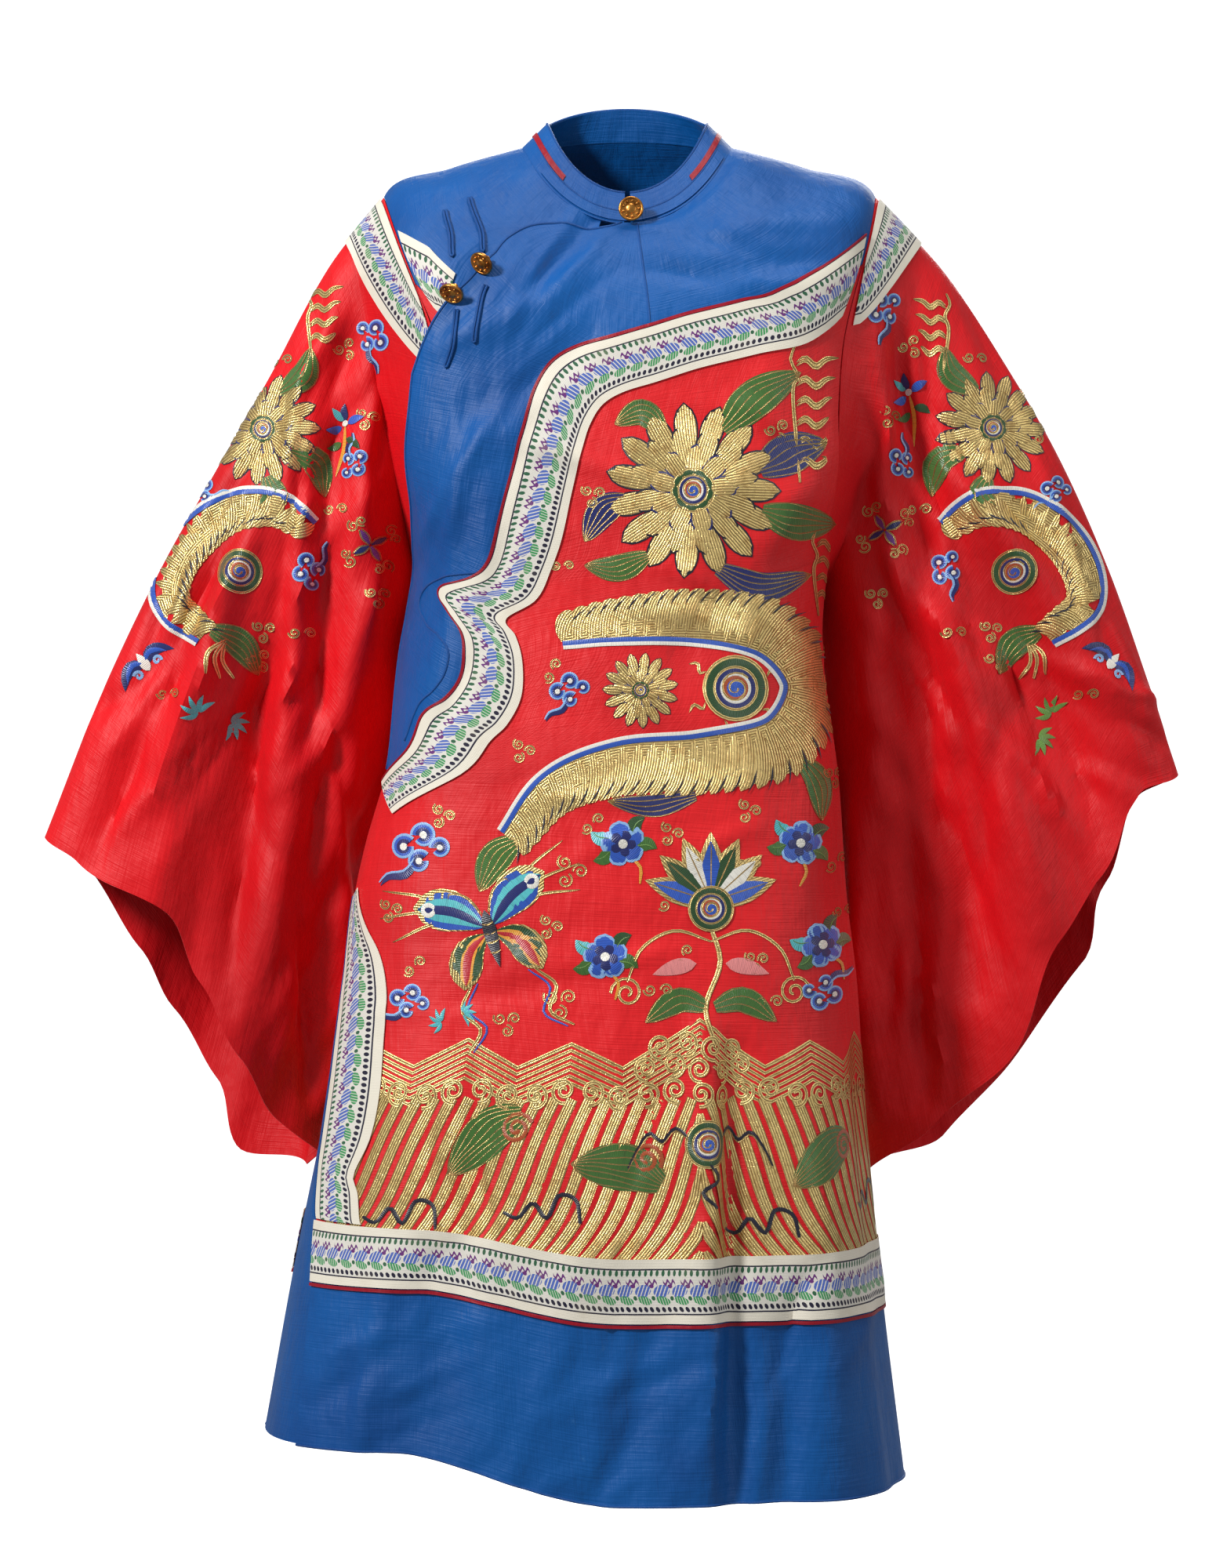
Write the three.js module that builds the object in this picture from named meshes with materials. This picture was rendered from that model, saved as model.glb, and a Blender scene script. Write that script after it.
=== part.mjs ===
// A knee-length, side-fastening silk robe with wide sleeves, as it hangs on a wearer.
// Millimetres, +Z up, the front faces -Y. The origin is the middle of the neck at shoulder height.
// Every cloth piece is a thin wall on one of three surfaces: the body, a sleeve or the collar.
import * as THREE from "three";

// ---- driving dimensions -------------------------------------------------------------------------
const CLOTH = 1.5; // wall of a cloth piece
const TRIM_WALL = 1.0; // wall of a ribbon
const TRIM_STAND = 1.35; // clearance under a ribbon, which follows the curve in its own steps
const SEAM_INSET = 0.2; // each piece stops this far short of a seam line
// A sleeve folds back under the arm, so it starts this share of its length off the armhole at the
// shoulder tip and at the underarm.
const SLEEVE_START = { tip: 0.001, underarm: 0.045 };
const COLLAR_WALL = 2.0;
const COLLAR_SEAT = 1.1; // how far up the collar starts from the neck line
const PIPING_WIDTH = 3.0;
const PIPING_WALL = 1.6;
const PIPING_GAP = 0.4; // between a piping and its ribbon
const CENTRE_PIPING_ANGLE = 0.6; // half of the centre seam's piping, in degrees round the body
const CENTRE_PIPING_START = 0.05; // the section where it starts, just under the collar
const FLAP_LIFT = 4.4; // how far the outer front stands off the under front at its free edge
const FLAP_HELD = 88; // the outer front keeps that lift for this far in from its edge
const FLAP_SETTLE = 60; // and comes down over this length
const SQUARENESS = 0.2; // 0 is an elliptic body, more has fuller corners
// Half of the armhole's width, in degrees round the body; the left one reaches in behind the flap.
const ARMHOLE_HALF_ANGLE = { front: { 1: 36.5, "-1": 50 }, back: { 1: 36.5, "-1": 36.5 } };
const ARMHOLE_FULLNESS = 0.7; // below 1, the armhole is fuller than an ellipse
const ARMHOLE_STEPS = 12; // from the shoulder tip to the underarm
const YOKE_STEP = 3; // the armhole step where the yoke's lower edge meets it
const SIDE_STEPS = 15; // from the underarm to the border line
const PANEL_COLUMNS = 16;
const YOKE_DEPTH_STEPS = 4;
const HEM_STEPS = 3;
const SLEEVE_STEPS = 16;
const BUTTON_RADIUS = 10;
const BUTTON_SIDES = 20;
// Radii of the shank and the boss, and heights above the disc's middle plane.
const BUTTON = {
  neck: 2.4,
  back: 1.2,
  edge: 0.8,
  rim: 1.4,
  rimWidth: 2,
  well: 0.7,
  boss: 4.2,
  bossEdge: 5.4,
  top: 2.3,
};
const FROG_WIDTH = 4.6;
const FROG_WALL = 1.8;
const FROG_STAND = 0.4;

// Sections of the body, from the neck down. The side, front and back heights differ because a
// section slopes with the shoulders.
const SECTIONS = [
  { name: "neck", centre: 0, half: 86, front: 75, back: 55, frontZ: -72, sideZ: 0, backZ: 14 },
  { name: "slope", centre: 1, half: 146, front: 100, back: 82, frontZ: -114, sideZ: -17, backZ: -28 },
  { name: "shoulder", centre: 2, half: 203, front: 118, back: 102, frontZ: -162, sideZ: -41, backZ: -95 },
  { name: "chest", centre: 0, half: 200, front: 127, back: 110, frontZ: -222, sideZ: -140, backZ: -172 },
  { name: "bust", centre: -2, half: 196, front: 131, back: 110, frontZ: -292, sideZ: -240, backZ: -262 },
  { name: "underarm", centre: -3, half: 171, front: 132, back: 107, frontZ: -372, sideZ: -335, backZ: -352 },
  { name: "waist", centre: -12, half: 173, front: 134, back: 107, frontZ: -446, sideZ: -424, backZ: -440 },
  { name: "seat", centre: -12, half: 186, front: 138, back: 112, frontZ: -532, sideZ: -519, backZ: -528 },
  { name: "hip", centre: -20, half: 201, front: 144, back: 120, frontZ: -622, sideZ: -616, backZ: -620 },
  { name: "thigh", centre: -20, half: 210, front: 149, back: 128, frontZ: -700, sideZ: -694, backZ: -700 },
  { name: "knee", centre: -26, half: 224, front: 155, back: 137, frontZ: -822, sideZ: -815, backZ: -820 },
  { name: "border", centre: -32, half: 243, front: 160, back: 147, frontZ: -950, sideZ: -950, backZ: -950 },
  { name: "hem", centre: -35, half: 264, front: 166, back: 158, frontZ: -1097, sideZ: -1097, backZ: -1092 },
];
// The vent lets the left side hitch up, from this section down to this much at the hem.
const SIDE_HITCH = { from: 7, rise: 40 };
const sectionNumber = (name) => SECTIONS.findIndex((section) => section.name === name);
const NECK = sectionNumber("neck");
const SHOULDER = sectionNumber("shoulder");
const UNDERARM = sectionNumber("underarm");
const BORDER = sectionNumber("border");
const HEM = sectionNumber("hem");

// The body's largest folds: where round the body, how wide in degrees, how deep, and the sections
// between which each grows to its full depth.
const BODY_FOLDS = [
  { name: "front hem trough", at: 28, width: 11, depth: -8, from: 8.6, full: 11.5 },
  { name: "front hem ridge", at: 10, width: 11, depth: 7, from: 8.6, full: 12 },
  { name: "front right swell", at: 44, width: 9, depth: 5, from: 9, full: 12 },
  { name: "left knee ridge", at: -12, width: 8, depth: 4, from: 9.5, full: 12 },
  { name: "left knee trough", at: -30, width: 8, depth: -4, from: 9.5, full: 12 },
  { name: "right side trough", at: 72, width: 8, depth: -5, from: 6, full: 11 },
  { name: "back left ridge", at: 214, width: 10, depth: 9, from: 7, full: 12 },
  { name: "back left trough", at: 236, width: 9, depth: -8, from: 7, full: 12 },
  { name: "back middle trough", at: 184, width: 8, depth: -9, from: 6.5, full: 12 },
  { name: "back right ridge", at: 156, width: 10, depth: 8, from: 7, full: 12 },
  { name: "back right trough", at: 128, width: 9, depth: -7, from: 7, full: 12 },
];

// Sections of each sleeve from armhole to cuff: its top fold, its lower edge and its half depths.
const SLEEVES = {
  right: {
    side: 1,
    ease: 0.14, // share of its length over which it comes away from the armhole's form
    sections: [
      { topX: 203, topY: 0, topZ: -41, lowX: 176, lowY: 0, lowZ: -330, front: 74, back: 74 },
      { topX: 262, topY: 2, topZ: -102, lowX: 173, lowY: 44, lowZ: -385, front: 66, back: 70 },
      { topX: 318, topY: 4, topZ: -186, lowX: 167, lowY: 69, lowZ: -470, front: 66, back: 70 },
      { topX: 361, topY: 6, topZ: -262, lowX: 167, lowY: 78, lowZ: -560, front: 63, back: 66 },
      { topX: 400, topY: 8, topZ: -350, lowX: 171, lowY: 84, lowZ: -650, front: 58, back: 62 },
      { topX: 432, topY: 10, topZ: -440, lowX: 186, lowY: 84, lowZ: -750, front: 55, back: 58 },
      { topX: 458, topY: 12, topZ: -519, lowX: 199, lowY: 80, lowZ: -850, front: 52, back: 56 },
    ],
    // How far the two layers' cuff edges reach past the straight line from top fold to lower edge.
    cuff: [
      { share: 0, front: 0, back: 0 },
      { share: 0.08, front: -18, back: -12 },
      { share: 0.25, front: 0, back: 15 },
      { share: 0.4, front: 5, back: 43 },
      { share: 0.65, front: 36, back: 50 },
      { share: 0.85, front: 22, back: 42 },
      { share: 1, front: 6, back: 6 },
    ],
    folds: [
      { name: "front upper", at: 62, width: 10, depth: -8, from: 0.25, full: 0.9 },
      { name: "front middle", at: 92, width: 12, depth: 7, from: 0.2, full: 1 },
      { name: "front lower", at: 124, width: 10, depth: -9, from: 0.3, full: 1 },
      { name: "back upper", at: 290, width: 11, depth: -7, from: 0.3, full: 1 },
      { name: "back middle", at: 262, width: 12, depth: 7, from: 0.25, full: 1 },
      { name: "back lower", at: 232, width: 10, depth: -8, from: 0.3, full: 1 },
    ],
  },
  left: {
    side: -1,
    ease: 0.102,
    sections: [
      { topX: -201, topY: 0, topZ: -41, lowX: -186, lowY: 42, lowZ: -325, front: 42, back: 74 },
      { topX: -248, topY: 2, topZ: -100, lowX: -188, lowY: 58, lowZ: -380, front: 53, back: 70 },
      { topX: -297, topY: 4, topZ: -190, lowX: -188, lowY: 68, lowZ: -462, front: 62, back: 70 },
      { topX: -340, topY: 6, topZ: -265, lowX: -194, lowY: 78, lowZ: -535, front: 63, back: 66 },
      { topX: -388, topY: 8, topZ: -350, lowX: -218, lowY: 80, lowZ: -610, front: 58, back: 62 },
      { topX: -438, topY: 10, topZ: -455, lowX: -240, lowY: 80, lowZ: -715, front: 55, back: 58 },
      { topX: -484, topY: 12, topZ: -571, lowX: -256, lowY: 76, lowZ: -836, front: 52, back: 56 },
    ],
    cuff: [
      { share: 0, front: 0, back: 0 },
      { share: 0.1, front: -9, back: -6 },
      { share: 0.34, front: -38, back: 8 },
      { share: 0.5, front: -20, back: 22 },
      { share: 0.7, front: -4, back: 34 },
      { share: 0.86, front: 10, back: 58 },
      { share: 1, front: 4, back: 20 },
    ],
    folds: [
      { name: "front upper", at: 56, width: 10, depth: 7, from: 0.3, full: 1 },
      { name: "front middle", at: 84, width: 10, depth: -10, from: 0.25, full: 1 },
      { name: "front lower", at: 112, width: 12, depth: 8, from: 0.2, full: 1 },
      { name: "front inner", at: 140, width: 9, depth: -7, from: 0.35, full: 1 },
      { name: "back upper", at: 288, width: 11, depth: -7, from: 0.3, full: 1 },
      { name: "back middle", at: 258, width: 12, depth: 8, from: 0.25, full: 1 },
      { name: "back lower", at: 230, width: 10, depth: -8, from: 0.3, full: 1 },
    ],
  },
};

// The neck line leans in by this much to the collar's top edge.
const COLLAR_TOP = { half: 66, front: 61, back: 49, frontZ: -45, sideZ: 20, backZ: 40 };
const COLLAR_NOTCH_ANGLE = 1.4; // half of the gap where the collar's ends meet

// Edges as they lie on the front, seen from straight ahead.
const FLAP_EDGE = [
  { x: -6, z: -72 },
  { x: -20, z: -78 },
  { x: -52, z: -75 },
  { x: -76, z: -76 },
  { x: -96, z: -86 },
  { x: -107, z: -99 },
  { x: -127, z: -120 },
  { x: -144, z: -137 },
  { x: -160, z: -164 },
  { x: -171, z: -195 },
  { x: -175, z: -235 },
  { x: -173, z: -290 },
  { x: -170, z: -326 },
  { x: -174, z: -375 },
  { x: -184, z: -431 },
  { x: -190, z: -501 },
  { x: -197, z: -533 },
];
const LEFT_SIDE_EDGE = [
  { x: -197, z: -533 },
  { x: -209, z: -570 },
  { x: -219, z: -619 },
  { x: -225, z: -665 },
  { x: -229, z: -700 },
  { x: -236, z: -760 },
  { x: -244, z: -820 },
  { x: -247, z: -870 },
  { x: -251, z: -929 },
];
const RIBBON_UPPER_EDGE = [
  { x: 126, z: -130 },
  { x: 90, z: -141 },
  { x: 50, z: -152 },
  { x: 15, z: -163 },
  { x: -13, z: -171 },
  { x: -40, z: -178 },
  { x: -60, z: -190 },
  { x: -73, z: -213 },
  { x: -84, z: -250 },
  { x: -93, z: -286 },
  { x: -102, z: -323 },
  { x: -109, z: -350 },
  { x: -121, z: -362 },
  { x: -145, z: -371 },
  { x: -139, z: -387 },
  { x: -129, z: -406 },
  { x: -128, z: -424 },
  { x: -132, z: -443 },
  { x: -143, z: -459 },
  { x: -159, z: -472 },
  { x: -173, z: -501 },
  { x: -195, z: -526 },
];
const RIBBON_LOWER_EDGE = [
  { x: 144, z: -172 },
  { x: 102, z: -183 },
  { x: 58, z: -194 },
  { x: 18, z: -207 },
  { x: -4, z: -214 },
  { x: -20, z: -224 },
  { x: -30, z: -240 },
  { x: -36, z: -259 },
  { x: -41, z: -280 },
  { x: -46, z: -302 },
  { x: -52, z: -330 },
  { x: -61, z: -356 },
  { x: -73, z: -380 },
  { x: -96, z: -395 },
  { x: -89, z: -408 },
  { x: -84, z: -425 },
  { x: -83, z: -445 },
  { x: -86, z: -462 },
  { x: -96, z: -480 },
  { x: -108, z: -492 },
  { x: -132, z: -520 },
  { x: -185, z: -552 },
];
const SEAM_FOOT = 4; // row of both tables, the armhole's point being 0, where the centre seam ends
const RIBBON_CORNER = 7; // row where the ribbon turns from across to down
const CENTRE_SEAM_ANGLE = 4; // where the centre seam starts at the neck
const CENTRE_SEAM_STEPS = 4;
const ACROSS_OUTER_STEPS = 10; // from the armhole to the centre seam
const ACROSS_INNER_STEPS = 6; // from the centre seam to the corner
const DOWN_STEPS = 15; // from the corner to the ribbon's end
const LEFT_EDGE_STEPS = 9; // from there to the border line
const VENT_RIBBON_INNER = [
  { x: -214, z: -612 },
  { x: -205, z: -644 },
  { x: -195, z: -663 },
  { x: -189, z: -694 },
  { x: -191, z: -729 },
  { x: -194, z: -771 },
  { x: -201, z: -803 },
  { x: -213, z: -828 },
  { x: -209, z: -842 },
  { x: -209, z: -880 },
];
const VENT_STEPS = 18;
const VENT_BORDER_WIDTH = 6; // blue edge outside the vent ribbon
const VENT_SEAM = 0.6; // between that edge and the ribbon
const VENT_GAP = 0.006; // sections between the vent ribbon's end and the hem ribbon
const VENT_REACH_ANGLE = 10; // past the ribbon, so that the edges' offsets run straight across it
const HEM_RIBBON_TOP = BORDER - 0.36; // the hem ribbon's edges, in sections
const HEM_RIBBON_FOOT = BORDER + 0.03;
const HEM_CORNER_ANGLE = -54; // the outer front's corner at the hem
const LEFT_YOKE_FOOT = [
  { x: -160, z: -133 },
  { x: -144, z: -149 },
  { x: -125, z: -166 },
];
const LEFT_YOKE_UNDER = [
  { x: -30, z: -104 },
  { x: -62, z: -104 },
  { x: -88, z: -112 },
  { x: -110, z: -136 },
];
// The left front's stretch of ribbon, from these armhole steps to under the flap.
const LEFT_RIBBON_STEP = { top: 1.4, foot: 3.3 };
const LEFT_RIBBON_TOP = [
  { x: -160, z: -93 },
  { x: -138, z: -116 },
];
const LEFT_RIBBON_FOOT = [
  { x: -150, z: -149 },
  { x: -142, z: -152 },
];
const UNDER_NECK_ANGLE = -12; // where the left yoke's hidden edge starts at the neck
const UNDER_LAP_ANGLE = 21; // how far the under front reaches in behind the outer front's edge
const UNDER_RED_STEPS = 12; // side steps that the red under front covers; its border takes the rest
const BACK_YOKE_DROP = 0.9; // sections that the back yoke's edge hangs in the middle of the back
const BACK_COLUMNS = 14;
const BACK_TRIM_LOWER = 0.35; // how much closer to the back its ribbon lies than the other ribbons do
const BACK_RIBBON_RISE = 0.3; // half of the back ribbon's width, in sections
// Where the ribbon lies on a sleeve: start and reach are shares of the sleeve's length, and lower is
// how much closer to the sleeve it lies than the other ribbons do.
const SLEEVE_RIBBON = {
  start: 0.014,
  reach: 0.1,
  innerAngle: 28,
  outerAngle: 54,
  steps: 14,
  columns: 6,
  lower: { right: 0.4, left: -0.5 },
};
const COLLAR_STEPS = 30;
const COLLAR_STRIPE = { skip: 3, low: 0.42, high: 0.6 }; // skip counts collar steps from the notch
const COLLAR_BAND = { leftSteps: 5, rightSteps: 6, low: 0.06, high: 0.38 };
// Each frog bar runs through its three [x, z] points; the ones above a button are on the under front.
const FROGS = [
  { name: "outer_upper", onFlap: false, ends: [[-148, -62], [-143, -82], [-141, -101]] },
  { name: "outer_lower", onFlap: true, ends: [[-136, -146], [-136, -170], [-143, -191]] },
  { name: "inner_upper", onFlap: false, ends: [[-128, -51], [-119, -78], [-117, -96]] },
  { name: "inner_lower", onFlap: true, ends: [[-113, -128], [-118, -150], [-121, -172]] },
];
const FROG_STEPS = 6;
// stand is from the cloth's middle to the button's; shankGap is from there to the shank's foot.
const BUTTONS = [
  { name: "button_neck", at: { x: 3, z: -73.5 }, stand: 12.9, shankGap: 1.5, tilt: -4, turn: 0 },
  { name: "button_outer", at: { x: -139, z: -134 }, stand: 9.5, shankGap: 0.4, tilt: 48, turn: -28 },
  { name: "button_inner", at: { x: -116, z: -113 }, stand: 9.5, shankGap: 0.8, tilt: 34, turn: -40 },
];

// ---- finishes -------------------------------------------------------------------------------------
const FINISH = {
  redSilk: { color: 0xb8141e, roughness: 0.45, metalness: 0 },
  blueSilk: { color: 0x1c5aa8, roughness: 0.4, metalness: 0 },
  ribbon: { color: 0xe2dbcb, roughness: 0.8, metalness: 0 },
  piping: { color: 0x8e1428, roughness: 0.5, metalness: 0 },
  brass: { color: 0xb8813c, roughness: 0.35, metalness: 1 },
};

// ---- small maths ----------------------------------------------------------------------------------
const mix = (a, b, t) => a + (b - a) * t;
const radians = (degrees) => (degrees * Math.PI) / 180;
const steps = (count) => Array.from({ length: count + 1 }, (_, i) => i / count);

function smooth(t) {
  const u = Math.min(1, Math.max(0, t));
  return u * u * (3 - 2 * u);
}

// One column of a table at a fractional row, on a smooth curve through the rows.
function columnAt(table, column, row) {
  const last = table.length - 1;
  const i = Math.min(last - 1, Math.max(0, Math.floor(row)));
  const t = row - i;
  const value = (k) => table[Math.min(last, Math.max(0, k))][column];
  const slopeAt = (k) => (value(k + 1) - value(k - 1)) / (k === 0 || k === last ? 1 : 2);
  const t2 = t * t;
  const t3 = t2 * t;
  return (
    (2 * t3 - 3 * t2 + 1) * value(i) +
    (t3 - 2 * t2 + t) * slopeAt(i) +
    (3 * t2 - 2 * t3) * value(i + 1) +
    (t3 - t2) * slopeAt(i + 1)
  );
}

// A column against another column that rises through the table.
function lookUp(table, key, column, at) {
  const i = Math.max(1, table.findIndex((row) => row[key] >= at));
  const from = table[i - 1];
  const to = table[i];
  return mix(from[column], to[column], smooth((at - from[key]) / (to[key] - from[key])));
}

function foldDepth(folds, angle, along) {
  return folds.reduce((sum, fold) => {
    const away = (((angle - fold.at + 540) % 360) - 180) / fold.width;
    const grown = smooth((along - fold.from) / (fold.full - fold.from));
    return sum + fold.depth * grown * Math.exp(-away * away);
  }, 0);
}

// ---- surfaces: each takes two coordinates and gives a point --------------------------------------
// Body: u is degrees round it, 0 in front and 90 at the wearer's left (+X); v is the section.
function bodyPoint(u, v) {
  const section = (column) => columnAt(SECTIONS, column, v);
  const s = Math.sin(radians(u));
  const c = Math.cos(radians(u));
  const forward = c > 0;
  const depth = section(forward ? "front" : "back");
  const endZ = section(forward ? "frontZ" : "backZ");
  const fold = foldDepth(BODY_FOLDS, u, v);
  const hitch = SIDE_HITCH.rise * (Math.max(0, v - SIDE_HITCH.from) / (HEM - SIDE_HITCH.from)) ** 2;
  return new THREE.Vector3(
    section("centre") + (section("half") * (1 + SQUARENESS * c * c) + fold) * s,
    -(depth * (1 + SQUARENESS * s * s) + fold) * c,
    mix(section("sideZ"), endZ, c * c) + hitch * smooth((0.1 - s) / 0.6),
  );
}

// A point of the armhole's edge: step 0 is the shoulder tip and ARMHOLE_STEPS the underarm.
function armhole(side, step, facing) {
  const turn = (Math.PI * step) / ARMHOLE_STEPS;
  const open = ARMHOLE_HALF_ANGLE[facing][side] * Math.pow(Math.abs(Math.sin(turn)), ARMHOLE_FULLNESS);
  const u = facing === "front" ? 90 - open : 90 + open;
  return [side * u, mix(SHOULDER, UNDERARM, (1 - Math.cos(turn)) / 2)];
}

// Sleeve: u is degrees round it, 0 at the top fold and 90 in front; v runs from armhole to cuff.
function sleeveSurface(sleeve) {
  const last = sleeve.sections.length - 1;
  const plain = (u, v) => {
    const column = (name) => columnAt(sleeve.sections, name, v * last);
    const share = (1 - Math.cos(radians(u))) / 2;
    const forward = u <= 180;
    const top = new THREE.Vector3(column("topX"), column("topY"), column("topZ"));
    const low = new THREE.Vector3(column("lowX"), column("lowY"), column("lowZ"));
    const across = low.clone().sub(top).setY(0).normalize();
    const outward = new THREE.Vector3(-across.z * sleeve.side, 0, across.x * sleeve.side);
    const reach = lookUp(sleeve.cuff, "share", forward ? "front" : "back", share);
    const depth = column(forward ? "front" : "back") + foldDepth(sleeve.folds, u, v);
    const point = top.lerp(low, share);
    point.y -= depth * Math.sin(radians(u));
    return point.addScaledVector(outward, reach * Math.pow(v, 3));
  };
  const edge = (u) => {
    const step = ((u <= 180 ? u : 360 - u) / 180) * ARMHOLE_STEPS;
    return bodyPoint(...armhole(sleeve.side, step, u <= 180 ? "front" : "back"));
  };
  return (u, v) => {
    const round = ((u % 360) + 360) % 360;
    const pull = 1 - smooth(v / sleeve.ease);
    const point = plain(round, v);
    return pull > 0 ? point.addScaledVector(edge(round).sub(plain(round, 0)), pull) : point;
  };
}

// Collar: u is degrees round the neck as on the body; v is 0 at the neck line and 1 at the top edge.
function collarPoint(u, v) {
  const s = Math.sin(radians(u));
  const c = Math.cos(radians(u));
  const foot = bodyPoint(u, NECK);
  const top = new THREE.Vector3(
    COLLAR_TOP.half * s * (1 + SQUARENESS * c * c),
    -(c > 0 ? COLLAR_TOP.front : COLLAR_TOP.back) * c,
    mix(COLLAR_TOP.sideZ, c > 0 ? COLLAR_TOP.frontZ : COLLAR_TOP.backZ, c * c),
  );
  return foot.lerp(top, v);
}

// The unit normal of a surface; facing is 1 or -1, so that it points out of the garment.
function normalAt(surface, facing, u, v) {
  const du = 0.4;
  const dv = 0.004;
  const along = surface(u + du, v).sub(surface(u - du, v));
  const down = surface(u, v + dv).sub(surface(u, v - dv));
  return along.cross(down).normalize().multiplyScalar(facing);
}

// Where the body's front has the given x and z, by Newton's method.
function onFront({ x, z }) {
  let u = 0;
  let v = 4;
  for (let i = 0; i < 60; i += 1) {
    const p = bodyPoint(u, v);
    const pu = bodyPoint(u + 0.2, v).sub(p).divideScalar(0.2);
    const pv = bodyPoint(u, v + 0.01).sub(p).divideScalar(0.01);
    const det = pu.x * pv.z - pv.x * pu.z;
    const stepU = ((x - p.x) * pv.z - pv.x * (z - p.z)) / det;
    const stepV = (pu.x * (z - p.z) - (x - p.x) * pu.z) / det;
    u = Math.min(89, Math.max(-89, u + Math.min(8, Math.max(-8, stepU))));
    v = Math.min(HEM, Math.max(NECK, v + Math.min(0.4, Math.max(-0.4, stepV))));
  }
  return [u, v];
}

// ---- lines on the body, as lists of [u, v] ----------------------------------------------------------
const pathLength = (points) => {
  const lengths = [0];
  points.slice(1).forEach((p, i) => lengths.push(lengths[i] + p.distanceTo(points[i])));
  return lengths;
};

// count + 1 evenly spaced points along a line of [u, v].
function resample(line, count) {
  const lengths = pathLength(line.map(([u, v]) => bodyPoint(u, v)));
  const total = lengths[lengths.length - 1];
  return steps(count).map((share) => {
    const at = share * total;
    const i = Math.max(1, lengths.findIndex((length) => length >= at - 1e-9));
    const t = (at - lengths[i - 1]) / (lengths[i] - lengths[i - 1]);
    return [mix(line[i - 1][0], line[i][0], t), mix(line[i - 1][1], line[i][1], t)];
  });
}

const between = (a, b, count) => steps(count).map((t) => a.map((from, k) => mix(from, b[k], t)));
const frontLine = (table) => table.map(onFront);
const join = (...lines) => lines.reduce((all, line) => all.concat(all.length ? line.slice(1) : line), []);
const armholeLine = (side, from, to, facing) =>
  Array.from({ length: to - from + 1 }, (_, i) => armhole(side, from + i, facing));
const sideSeam = (u) => between([u, UNDERARM], [u, BORDER], SIDE_STEPS);
const refine = (line) => line.flatMap((p, i) => (i ? between(line[i - 1], p, 2).slice(1) : [p]));
const midway = (a, b) => a.map((p, i) => [(p[0] + b[i][0]) / 2, (p[1] + b[i][1]) / 2]);

const flapEdge = frontLine(FLAP_EDGE);
const leftSideEdge = frontLine(LEFT_SIDE_EDGE);
const flapPoints = join(resample(flapEdge, 60), resample(leftSideEdge, 30)).map(([u, v]) => bodyPoint(u, v));

// The outer front stands off the under front near its free edge.
function outerFrontPoint(u, v) {
  const p = bodyPoint(u, v);
  const away = Math.min(...flapPoints.map((edge) => edge.distanceTo(p)));
  const hem = v > BORDER ? Math.max(0, radians(u - leftSideEdge[leftSideEdge.length - 1][0])) * 200 : away;
  const held = 1 - smooth((Math.min(away, hem) - FLAP_HELD) / FLAP_SETTLE);
  const lift = FLAP_LIFT * held * smooth(v / 0.25);
  return lift > 0 ? p.addScaledVector(normalAt(bodyPoint, -1, u, v), lift) : p;
}

// ---- solids ------------------------------------------------------------------------------------------
const BODY = { point: bodyPoint, facing: -1 };
const OUTER_FRONT = { point: outerFrontPoint, facing: -1 };
const SLEEVE_RIGHT = { point: sleeveSurface(SLEEVES.right), facing: 1 };
const SLEEVE_LEFT = { point: sleeveSurface(SLEEVES.left), facing: -1 };
const COLLAR = { point: collarPoint, facing: 1 };

// A closed solid from two grids of points, the outer face and the inner face. closed joins the last
// column to the first.
function wall(outer, inner, closed) {
  const rows = outer.length;
  const columns = outer[0].length;
  const positions = [...outer.flat(), ...inner.flat()].flatMap((p) => p.toArray());
  const corner = (layer, i, j) => layer * rows * columns + i * columns + (j % columns);
  const index = [];
  const quad = (a, b, c, d) => index.push(a, b, c, a, c, d);
  const spans = closed ? columns : columns - 1;
  for (let i = 0; i < rows - 1; i += 1) {
    for (let j = 0; j < spans; j += 1) {
      quad(corner(0, i, j), corner(0, i + 1, j), corner(0, i + 1, j + 1), corner(0, i, j + 1));
      quad(corner(1, i, j), corner(1, i, j + 1), corner(1, i + 1, j + 1), corner(1, i + 1, j));
    }
  }
  for (let j = 0; j < spans; j += 1) {
    quad(corner(0, 0, j), corner(0, 0, j + 1), corner(1, 0, j + 1), corner(1, 0, j));
    const foot = rows - 1;
    quad(corner(0, foot, j), corner(1, foot, j), corner(1, foot, j + 1), corner(0, foot, j + 1));
  }
  if (!closed) {
    for (let i = 0; i < rows - 1; i += 1) {
      quad(corner(0, i, 0), corner(1, i, 0), corner(1, i + 1, 0), corner(0, i + 1, 0));
      const end = columns - 1;
      quad(corner(0, i, end), corner(0, i + 1, end), corner(1, i + 1, end), corner(1, i, end));
    }
  }
  const geometry = new THREE.BufferGeometry();
  geometry.setAttribute("position", new THREE.Float32BufferAttribute(positions, 3));
  geometry.setIndex(facesOut(positions, index));
  return geometry;
}

// The faces in the order that encloses a positive volume.
function facesOut(positions, index) {
  const at = (i) => new THREE.Vector3().fromArray(positions, i * 3);
  let volume = 0;
  for (let i = 0; i < index.length; i += 3) {
    volume += at(index[i]).dot(at(index[i + 1]).cross(at(index[i + 2])));
  }
  return volume > 0 ? index : index.slice().reverse();
}

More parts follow.
